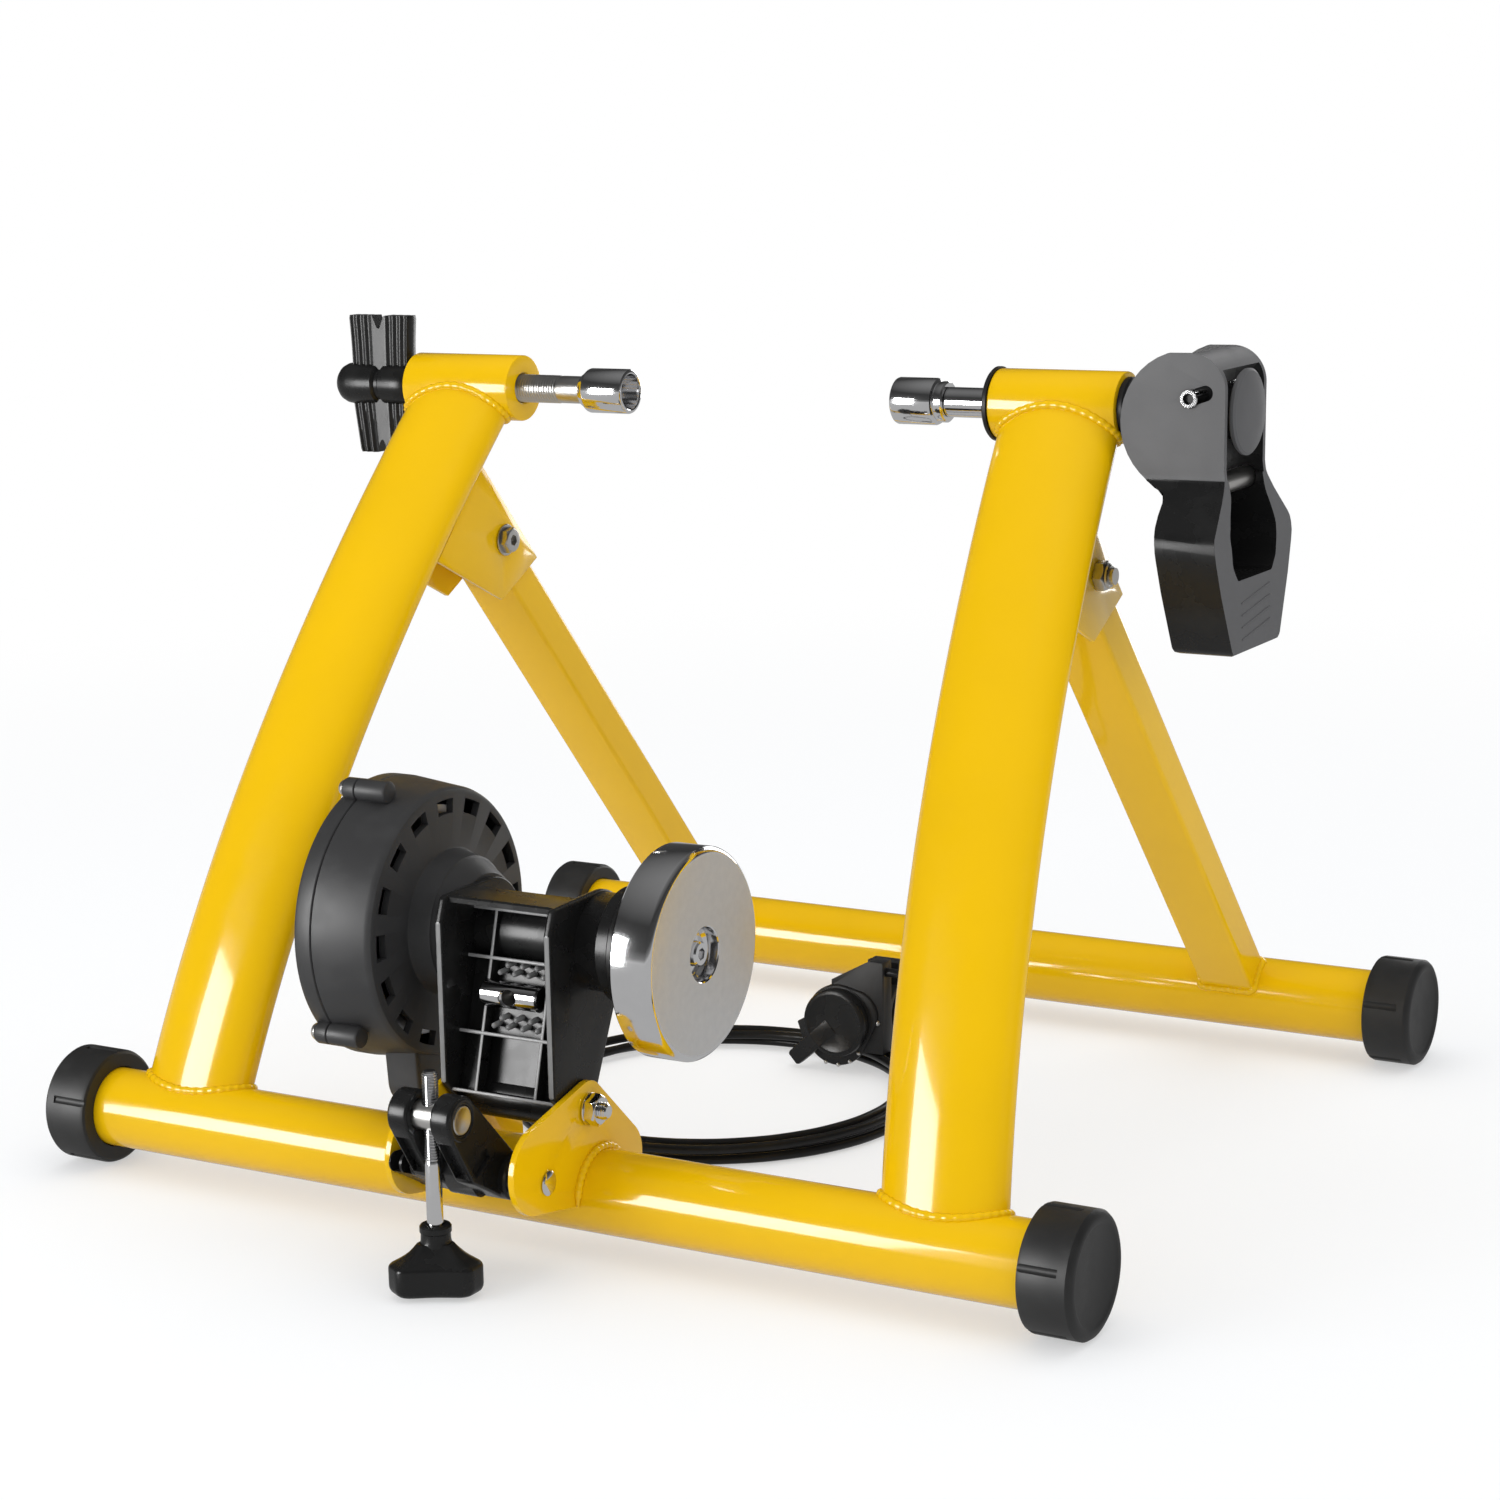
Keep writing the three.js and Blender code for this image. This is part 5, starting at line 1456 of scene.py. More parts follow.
        opening = mirrored(
            [
                (73, 19.4),
                (72.6, 20.8),
                (71.4, 22.0),
                (67, 25.6),
                (65, 26.4),
                (55, 27.9),
                (53, 28.0),
                (51, 27.6),
                (43, 24.2),
                (39, 22.0),
                (36, 20.8),
                (33, 20.5),
                (24, 20.5),
            ]
        )
        window = bench.prism("window", Axis.X, opening, 231, 262)
        px, pz = self.pin
        slot = bench.prism(
            "slot", Axis.Y, belt([(px, pz, 3.5), (px + 7.4, pz + 2.5, 3.5)]), y - 40, y + 40
        )
        seat = bench.turned(
            "seat", Axis.Y, (243, below(31.5)), [(y - 23.9, 5.4), (y + 23.9, 5.4)]
        )
        bench.worked(lever, "DIFFERENCE", [throat, behind, window, slot, seat])
        bench.eased(lever, 0.8, 3, 34)
        second_finish(
            lever,
            Finishes.gloss,
            Finishes.grey,
            lambda at, normal: (normal.x > 0.8 and at.x > 249)
            or (at.z > below(28.5) and abs(at.y - y) > inner + 0.4)
            or (at.z > z + 8 and normal.z > 0.05),
        )
        handed_over(lever, "release_lever", Finishes.grey, "cam_lever")
        for index in range(4):
            drop = 81 + index * 5.4
            path = [
                spot(
                    256.65 + (drop - 81) * 0.0313,
                    y - 17 + 34 * i / 6,
                    below(drop + 2.4 - 4.8 * i / 6),
                )
                for i in range(7)
            ]
            ridge = bench.tube(f"Lever_grip_ridge_{index + 1}", path, lambda share: 0.5, 8)
            handed_over(bench.smooth(ridge), "release_lever", Finishes.grey)
        cross = bench.turned(
            "Lever_cross_pin",
            Axis.Y,
            (243, below(31.5)),
            [(y - 23.5, 4.4), (y - 22.9, 5.0), (y + 22.9, 5.0), (y + 23.5, 4.4)],
            steps=64,
        )
        handed_over(bench.smooth(cross), "release_lever", Finishes.zinc, "lever_cross_pin")

    def build(self) -> None:
        """Builds both clamps."""
        self.cup("left_cup", -1, self.left_mouth, "left_cup_slider")
        self.cup("right_cup", 1, self.right_mouth, "right_clamp")
        self.spindles()
        self.hand_knob()
        self.yoke()
        self.lever_pin()
        self.cam_lever()


@dataclass
class ResistanceUnit:
    """The magnetic unit on its lugs: arm, drum, roller and flywheel, in mm."""

    pivot: Pair = (-8.0, 67.5)
    axis: Pair = (11.7, 138.5)
    pin: Pair = (-42.0, 43.5)
    lug_faces: tuple[Pair, ...] = ((-37.0, -34.0), (27.5, 30.5))
    left: float = -33.4
    right: float = 26.9
    wall: float = 3.5
    ladder: Pair = (-13.4, 115.5)
    ribs: tuple[float, ...] = (38.4, 16.8, -16.8, -43.2)
    posts: Pair = (-17.8, 13.4)
    rib: float = 1.6
    rib_depth: float = 7.0
    barrel_x: float = -4.7
    seam: float = -84.0
    face: float = -54.0
    cover_back: float = -94.5
    drum_radius: float = 64.5
    boss_angles: tuple[float, ...] = (110.0, 220.0, 330.0)

    def lug(self, name: str, faces: Pair, outer: int) -> None:
        """Makes a lug plate and the weld that holds it to the front tube."""
        outline = belt([(*self.pivot, 12.5), (-49, 51, 19.5), (19, 36, 17)], 96)
        lug = bench.prism(f"{name}_painted", Axis.X, outline, *faces)
        low, high = faces[0] - 1, faces[1] + 1
        tube = bench.turned("tube", Axis.X, (0, 27.5), [(low, 19.1), (high, 19.1)], steps=128)
        bolt = bench.turned("bolt", Axis.X, self.pivot, [(low, 4.2), (high, 4.2)], steps=48)
        pin = bench.turned("pin", Axis.X, self.pin, [(low, 4.2), (high, 4.2)], steps=48)
        bench.worked(lug, "DIFFERENCE", [tube, bolt, pin])
        bench.eased(lug, 0.45, 3, 30)
        handed_over(lug, "front_frame", Finishes.yellow, name)
        side = faces[1] + 0.7 if outer > 0 else faces[0] - 0.7
        path = [
            spot(side, *on_circle((0, 27.5), 20.0, -24 + 210 * i / 150)) for i in range(151)
        ]
        weld = bench.tube(
            f"{name}_weld",
            path,
            lambda share: 1.9 * (1 + 0.09 * math.sin(FULL_TURN * 24 * share)) * min(1, share * 9, (1.02 - share) * 9),
            10,
        )
        handed_over(bench.smooth(weld, 60), "front_frame", Finishes.yellow)

    def lug_hardware(self) -> None:
        """Makes the unit's bolt and nut, and the pin of the adjuster's clevis."""
        left, right = self.lug_faces[0][0] - 0.3, self.lug_faces[1][1] + 0.3
        head = hardware.hex_head("Unit_bolt_head", self.pivot, 7.4, left - 1.2, left - 5.5, 8)
        washer = hardware.washer("washer", self.pivot, 7.2, 3.9, left - 1.2, left)
        shank = hardware.threaded(
            "shank",
            Axis.X,
            self.pivot,
            3.9,
            right + 10.2,
            right + 5,
            1.2,
            [(left - 2, 3.9)],
        )
        bolt = bench.smooth(bench.joined(head, washer, shank), 25)
        handed_over(bolt, "front_frame", Finishes.chrome, "unit_pivot_bolt")
        nut = hardware.hex_head("Unit_bolt_nut", self.pivot, 7.4, right + 1.2, right + 6.5, 20)
        ring = hardware.washer("ring", self.pivot, 7.3, 3.95, right, right + 1.2)
        bench.smooth(bench.joined(nut, ring), 25)
        handed_over(nut, "front_frame", Finishes.chrome, "unit_pivot_nut")
        profile = [
            (left - 1.6, 0),
            (left - 1.5, 2.0),
            (left - 1.0, 4.4),
            (left - 0.3, 5.5),
            (left, 5.4),
            (left, 4.0),
            (right, 4.0),
            (right, 5.4),
            (right + 0.3, 5.5),
            (right + 1.0, 4.4),
            (right + 1.5, 2.0),
            (right + 1.6, 0),
        ]
        pin = bench.turned("Clevis_pin_riveted", Axis.X, self.pin, profile, steps=64)
        handed_over(bench.smooth(pin, 50), "front_frame", Finishes.chrome, "clevis_pivot_pin")

    def leant(self, out: float, height: float) -> Pair:
        """Gives a place on the ladder of ribs by its depth behind the front and its height."""
        lean = math.atan2(self.axis[0] - self.pivot[0], self.axis[1] - self.pivot[1])
        y = self.ladder[0] + out * math.cos(lean) + height * math.sin(lean)
        return y, self.ladder[1] - out * math.sin(lean) + height * math.cos(lean)

    def slab(
        self, name: str, across: Pair, depths: Pair, heights: Pair, round_edge: float = 0.35
    ) -> bpy.types.Object:
        """Makes a leant slab of the ladder between three pairs of limits."""
        near, far = depths
        low, high = heights
        outline = [
            self.leant(near, low),
            self.leant(far, low),
            self.leant(far, high),
            self.leant(near, high),
        ]
        slab = bench.prism(name, Axis.X, outline, *across)
        return bench.eased(slab, round_edge, 2) if round_edge else slab

    def arm(self) -> None:
        """Makes the arm: its walls, hood, ladder of ribs, pivot barrel and stepped hub."""
        hood = [(-23, 158, 3), (-26.5, 149, 3), (-26.5, 78, 3)]
        outline = belt([(*self.pivot, 10), (*self.axis, 23), *hood], 96)
        arm = bench.prism("Unit_arm_moulded", Axis.X, outline, self.left, self.left + self.wall)
        bench.eased(arm, 1.1, 3)
        other = bench.prism("wall", Axis.X, outline, self.right - self.wall, self.right)
        bench.eased(other, 1.1, 3)
        inside = self.left + 1, self.right - 1
        top = bench.prism(
            "hood",
            Axis.X,
            [(-23, 158), (-23, 160.2), (-22.2, 161), (-3, 161), (-3, 158)],
            *inside,
        )
        pieces = [other, top]
        depth = self.rib_depth + 0.6
        for height in self.ribs:
            pieces.append(self.slab("shelf", inside, (0, depth), (height - self.rib, height)))
        for x in self.posts:
            across = x - self.rib / 2, x + self.rib / 2
            pieces.append(
                self.slab("post", across, (0.15, depth), (self.ribs[-1] - 1, self.ribs[0] - 0.3))
            )
        pieces.append(self.slab("shelf", self.posts, (0.3, depth), (-28.2 - self.rib, -28.2)))
        back = self.rib_depth, self.rib_depth + 3
        pieces.append(self.slab("panel", inside, back, (self.ribs[-1] - 1, self.ribs[1]), 0))
        barrel = bench.turned("barrel", Axis.X, self.pivot, [(inside[0], 10), (inside[1], 10)])
        hub = bench.turned(
            "hub",
            Axis.X,
            self.axis,
            [
                (self.right - 1.5, 22),
                (37.6, 22),
                (38.4, 22.4),
                (39.0, 23.4),
                (39.3, 25.2),
                (40.1, 26),
                (46.2, 26),
                (46.8, 26.6),
                (47.0, 28.4),
                (48.0, 29.5),
                (57.3, 29.5),
                (58.2, 29.0),
                (58.5, 28.0),
                (58.5, 20.0),
                (56.5, 18.5),
                (56.5, 0.0),
            ],
            steps=128,
        )
        bench.worked(arm, "UNION", [*pieces, barrel, hub])
        seat = (self.leant(2.0, 0)[0], self.ladder[1])
        room = [
            bench.turned(
                "room",
                Axis.X,
                self.axis,
                [(self.left + self.wall, 15.9), (self.right - self.wall, 15.9)],
                steps=96,
            ),
            bench.turned("bore", Axis.X, self.axis, [(self.left - 1, 4.6), (60, 4.6)], steps=48),
            bench.turned(
                "seat",
                Axis.X,
                (self.ladder[0] + 2, self.ladder[1]),
                [(self.barrel_x - 15.3, 6.3), (self.barrel_x + 15.3, 6.3)],
                steps=64,
            ),
            bench.turned("bearing", Axis.X, self.axis, [(30, 11.3), (58, 11.3)], steps=64),
            bench.turned("hole", Axis.X, self.pivot, [(-40, 4.3), (40, 4.3)], steps=48),
        ]
        log.debug("the barrel's seat is at %s", seat)
        bench.worked(arm, "DIFFERENCE", room)
        bench.smooth(arm, 32)
        self.painted_highlight_edges(arm)
        handed_over(arm, "resistance_unit", Finishes.gloss, "unit_arm")

    def painted_highlight_edges(self, arm: bpy.types.Object) -> None:
        """Paints highlights, in a pale finish, on the front edges of the ladder and of the left wall."""
        front = Vector(self.leant(0, 1)) - Vector(self.leant(0, 0))

        def on_front(centre: Vector, normal: Vector) -> bool:
            """Says whether a face is on the ladder's front or on the left wall's front edge."""
            run = Vector((centre.y - self.ladder[0], centre.z - self.ladder[1]))
            off = run.x * front.y - run.y * front.x
            ladder = abs(off) < 0.4 and self.left + 3 < centre.x < self.right - 3
            wall = centre.y < -29.3 and centre.z > 76
            return (ladder or wall) and normal.y < -0.5

        # The pale finish on these front faces is a painted highlight.
        second_finish(arm, Finishes.gloss, Finishes.edge, on_front)

    def studs(self) -> None:
        """Sets the staggered rows of small studs above and below the barrel nut."""
        stud = bench.turned(
            "Arm_stud_1",
            Axis.Y,
            (0, 0),
            [(0, 0), (0.15, 0.75), (0.7, 1.25), (7.0, 1.35), (7.0, 0)],
            steps=12,
        )
        bench.smooth(stud, 50)
        places = []
        for low, high in ((9.6, 13.2), (-14.0, -10.4)):
            places += [(-13.2 + 7.6 * i, low) for i in range(4)]
            places += [(-9.6 + 7.6 * i, high) for i in range(3)]
        for index, (x, height) in enumerate(places):
            y, z = self.leant(0.9, height)
            move = Matrix.Translation(spot(x, y, z) - spot(0, 0, 0))
            twin = bench.copied(stud, f"Arm_stud_{index + 2}", move)
            # The pale finish paints each stud's glint.
            handed_over(twin, "resistance_unit", Finishes.edge)
        bpy.data.objects.remove(stud)

    def barrel_nut(self) -> None:
        """Makes the arm's chromed barrel nut with its threaded hole."""
        x, half = self.barrel_x, 15.0
        y, z = self.ladder[0] + 2, self.ladder[1]
        ends = [(x - half, 5.2), (x - half + 0.8, 6.0), (x + half - 0.8, 6.0), (x + half, 5.2)]
        nut = bench.turned("Arm_barrel_nut", Axis.X, (y, z), ends, steps=96)
        flat = bench.turned(
            "hole",
            Axis.Y,
            (x, z),
            [(y - 9, 5.2), (y - 5.3, 4.6), (y - 4.6, 3.7), (y + 9, 3.7)],
            steps=64,
        )
        bench.worked(nut, "DIFFERENCE", [flat])
        bench.smooth(nut, 28)
        second_finish(
            nut,
            Finishes.chrome,
            Finishes.zinc,
            lambda centre, normal: math.dist((centre.x, centre.z), (x, z)) < 3.75
            and abs(normal.y) < 0.5,
        )
        handed_over(nut, "resistance_unit", Finishes.chrome, "unit_barrel_nut")

    def boss_at(self, angle: float) -> Pair:
        """Gives the place of a cover screw."""
        return on_circle(self.axis, 67.0, angle)

    def housing(self) -> None:
        """Makes the drum's housing with its vents, hub, bosses and lower leg."""
        seam, face, r = self.seam, self.face, self.drum_radius
        profile = [
            (seam, r - 0.5),
            (seam + 0.5, r),
            (face - 3.6, 61.7),
            (face - 1.6, 61.0),
            (face - 0.5, 60.2),
            (face, 58.9),
            (face, 34.6),
            (face + 0.5, 33.6),
            (face + 1.4, 33.2),
            (face + 10.6, 31.2),
            (face + 11.0, 30.6),
            (face + 11.4, 30.2),
            (face + 19.6, 25.2),
            (face + 20.3, 24.2),
            (face + 20.3, 11.3),
            (-48, 11.3),
            (-48, 6.0),
            (face - 3.5, 6.0),
            (face - 3.5, 57.5),
            (seam, r - 3),
        ]
        housing = bench.turned(
            "Drum_housing_moulded", Axis.X, self.axis, profile, ring=True, steps=160
        )
        leg = bench.prism(
            "leg",
            Axis.X,
            belt([(self.pivot[0] + 6, self.pivot[1], 12), (*self.axis, 32.2)], 96),
            -74,
            -56,
        )
        bench.eased(leg, 1.6, 3)
        inside = bench.turned(
            "inside",
            Axis.X,
            self.axis,
            [(seam - 2, 61.4), (seam, 61.4), (face - 3.6, 57.4)],
            steps=160,
        )
        bosses = [self.boss("boss", angle, seam, -67.5, 1) for angle in self.boss_angles]
        solid_leg = bench.worked(leg, "DIFFERENCE", [inside])
        bench.worked(housing, "UNION", [solid_leg])
        clear = bench.turned(
            "clear",
            Axis.X,
            self.axis,
            [(seam - 2, 61.4), (seam, 61.4), (face - 3.6, 57.4)],
            steps=160,
        )
        for boss in bosses:
            bench.worked(boss, "DIFFERENCE", [bench.copied(clear, "clear_copy", Matrix())])
        bpy.data.objects.remove(clear)
        bench.worked(housing, "UNION", bosses)
        vents = []
        for index in range(16):
            middle = index * 22.5
            arcs = [on_circle(self.axis, 56.5, middle - 6.3 + 2.1 * i) for i in range(7)]
            arcs += [on_circle(self.axis, 49.8, middle + 6.3 - 2.1 * i) for i in range(7)]
            vents.append(bench.prism("vent", Axis.X, arcs, face - 6, face + 2))
        bench.worked(housing, "DIFFERENCE", [bench.joined(vents[0], *vents[1:])])
        bench.smooth(housing, 30)
        handed_over(housing, "resistance_unit", Finishes.drum, "unit_housing")

    def boss(self, name: str, angle: float, start: float, end: float, way: int) -> bpy.types.Object:
        """Makes a screw boss with a rounded end, from its seam outwards."""
        r = 5.2
        profile = [
            (start, r - 0.4),
            (start + way * 0.4, r),
            (end - way * 1.4, r),
            (end - way * 0.4, r - 0.5),
            (end, r - 1.6),
        ]
        return bench.turned(name, Axis.X, self.boss_at(angle), profile, steps=48)

    def cover(self) -> None:
        """Makes the drum's back cover, ribbed and dished, with its bosses and screws."""
        front, back, r = self.seam - 0.3, self.cover_back, self.drum_radius
        profile = [
            (front, r - 0.5),
            (front - 0.5, r),
            (back + 3.2, r),
            (back + 1.2, r - 0.8),
            (back + 0.2, r - 2.2),
            (back, r - 4.0),
            (back, 46.0),
            (back + 1.2, 44.6),
            (back + 1.2, 20.0),
            (back, 18.6),
            (back, 0.0),
            (back + 3.4, 0.0),
            (back + 3.4, 61.0),
            (front, 61.4),
        ]
        cover = bench.turned("Drum_cover_moulded", Axis.X, self.axis, profile, ring=False, steps=160)
        bosses = [self.boss("boss", angle, front, back + 3, -1) for angle in self.boss_angles]
        inside = bench.turned(
            "inside", Axis.X, self.axis, [(back + 3.4, 61.3), (front + 2, 61.3)], steps=160
        )
        for boss in bosses:
            bench.worked(boss, "DIFFERENCE", [bench.copied(inside, "inside_copy", Matrix())])
        bpy.data.objects.remove(inside)
        bench.worked(cover, "UNION", bosses)
        ribs = []
        for index in range(12):
            turn = index * 30 + 15
            corners = [
                on_circle(self.axis, 21.5, turn - 2.4),
                on_circle(self.axis, 43.2, turn - 1.2),
                on_circle(self.axis, 43.2, turn + 1.2),
                on_circle(self.axis, 21.5, turn + 2.4),
            ]
            ribs.append(bench.eased(bench.prism("rib", Axis.X, corners, back + 0.2, back + 2), 0.3))
        bench.worked(cover, "UNION", ribs)
        bench.smooth(cover, 30)
        handed_over(cover, "resistance_unit", Finishes.drum, "unit_cover")
        for index, angle in enumerate(self.boss_angles):
            at = self.boss_at(angle)
            seat = back + 2.8
            screw = bench.turned(
                f"Cover_screw_{index + 1}_pan",
                Axis.X,
                at,
                [(seat - 2.4, 2.0), (seat - 2.0, 3.2), (seat - 1.0, 3.9), (seat, 4.0), (seat, 2), (-70, 2)],
                steps=40,
            )
            slots = [
                bench.eased(
                    bench.prism(
                        "slot", Axis.X, self.turned_box(at, 2.3, 0.5, turn), seat - 4, seat - 0.9
                    ),
                    0.1,
                )
                for turn in (20, 110)
            ]
            bench.worked(screw, "DIFFERENCE", slots)
            bench.smooth(screw, 35)
            handed_over(screw, "resistance_unit", Finishes.zinc, f"cover_screw_{index + 1}")

    @staticmethod
    def turned_box(centre: Pair, half_long: float, half_wide: float, turn: float) -> list[Pair]:
        """Gives a rectangle's corners, turned about its centre."""
        c, s = math.cos(math.radians(turn)), math.sin(math.radians(turn))
        corners = ((1, 1), (-1, 1), (-1, -1), (1, -1))
        return [
            (
                centre[0] + c * i * half_long - s * j * half_wide,
                centre[1] + s * i * half_long + c * j * half_wide,
            )
            for i, j in corners
        ]

    def flywheel(self) -> None:
        """Makes the chromed flywheel, its recess and its socket bolt."""
        r = 47.2
        profile = [
            (60.0, 4.4),
            (60.0, 38.0),
            (61.4, 39.4),
            (61.4, 44.0),
            (60.0, 45.2),
            (60.2, 46.2),
            (61.2, r),
            (77.4, r),
            (78.3, 46.8),
            (79.4, 45.6),
            (79.9, 44.8),
            (80.0, 44.2),
            (80.0, 12.6),
            (79.6, 12.1),
            (78.8, 12.0),
            (74.6, 11.7),
            (73.0, 10.4),
            (73.0, 4.4),
        ]
        wheel = bench.turned("Flywheel_plated", Axis.X, self.axis, profile, ring=True, steps=192)
        bench.smooth(wheel, 24)
        second_finish(
            wheel,
            Finishes.chrome,
            Finishes.turned_face,
            lambda centre, normal: (centre.x > 79.95 or centre.x < 60.05),
        )
        handed_over(wheel, "rotor", Finishes.chrome, "flywheel")
        bolt = bench.turned(
            "Flywheel_bolt_socket",
            Axis.X,
            self.axis,
            [
                (70.0, 4.3),
                (73.3, 4.3),
                (73.3, 5.5),
                (77.4, 5.5),
                (78.3, 4.9),
                (78.3, 3.4),
            ],
            steps=64,
        )
        socket = bench.prism("socket", Axis.X, hardware.hexagon(self.axis, 2.9, 10), 75.0, 80.0)
        bench.worked(bolt, "DIFFERENCE", [socket])
        bench.smooth(bolt, 30)
        handed_over(bolt, "rotor", Finishes.chrome, "flywheel_bolt")
        washer = hardware.washer("Flywheel_lock_washer", self.axis, 8.8, 5.7, 73.05, 74.6)
        handed_over(washer, "rotor", Finishes.chrome)

    def roller(self) -> None:
        """Makes the roller with its turned ends, and the shaft."""
        low, high = self.left + self.wall + 1, self.right - self.wall - 1
        profile = [
            (low, 4.4),
            (low, 13.8),
            (low + 0.8, 15.0),
            *[(low + 2 + (high - low - 4) * i / 20, 15.0) for i in range(21)],
            (high - 0.8, 15.0),
            (high, 13.8),
            (high, 4.4),
        ]
        roller = bench.turned("Roller_turned", Axis.X, self.axis, profile, ring=True, steps=128)
        # The roller's dark finish partly paints the shade that it sits in, inside the arm.
        handed_over(bench.smooth(roller, 40), "rotor", Finishes.roller, "roller")
        shaft = bench.turned(
            "Roller_shaft_ground",
            Axis.X,
            self.axis,
            [(-75.5, 3.4), (-74.9, 4.0), (67.4, 4.0), (68, 3.4)],
            steps=48,
        )
        handed_over(bench.smooth(shaft, 40), "rotor", Finishes.zinc, "roller_shaft")

    def inner_works(self) -> None:
        """Makes the rotor disc, the magnet ring and the bearings that the vents let one see."""
        rotor = bench.turned(
            "Rotor_disc_turned",
            Axis.X,
            self.axis,
            [(-68, 4.4), (-68, 52.4), (-67.4, 53), (-64.6, 53), (-64, 52.4), (-64, 4.4)],
            ring=True,
            steps=128,
        )
        handed_over(bench.smooth(rotor, 30), "rotor", Finishes.aluminium, "rotor_disc")
        plate = bench.turned(
            "Magnet_carrier_plate",
            Axis.X,
            self.axis,
            [(-82, 8.5), (-82, 51.2), (-81.2, 52), (-78.8, 52), (-78, 51.2), (-78, 8.5)],
            ring=True,
            steps=128,
        )
        magnets = [
            bench.turned(
                "magnet",
                Axis.X,
                on_circle(self.axis, 40, 30 * i),
                [(-79.5, 7.0), (-77.6, 7.0), (-77.0, 6.4)],
                steps=32,
            )
            for i in range(12)
        ]
        bench.worked(plate, "UNION", magnets)
        handed_over(bench.smooth(plate, 30), "magnet_carrier", Finishes.zinc, "magnet_plate")
        for name, start in (("bearing_left", -47.7), ("bearing_right", 30.3)):
            profile = [
                (start, 4.3),
                (start, 6.2),
                (start + 0.8, 6.6),
                (start + 0.8, 8.6),
                (start, 9.0),
                (start, 10.5),
                (start + 0.5, 11.0),
                (start + 6.5, 11.0),
                (start + 7, 10.5),
                (start + 7, 9.0),
                (start + 6.2, 8.6),
                (start + 6.2, 6.6),
                (start + 7, 6.2),
                (start + 7, 4.3),
            ]
            ring = bench.turned(f"{name}_races", Axis.X, self.axis, profile, ring=True, steps=64)
            handed_over(bench.smooth(ring, 35), "resistance_unit", Finishes.zinc, name)

    def build(self) -> None:
        """Builds the unit."""
        self.lug("unit_lug_left", self.lug_faces[0], -1)
        self.lug("unit_lug_right", self.lug_faces[1], 1)
        self.lug_hardware()
        self.arm()
        self.studs()
        self.barrel_nut()
        self.housing()
        self.cover()
        self.flywheel()
        self.roller()
        self.inner_works()


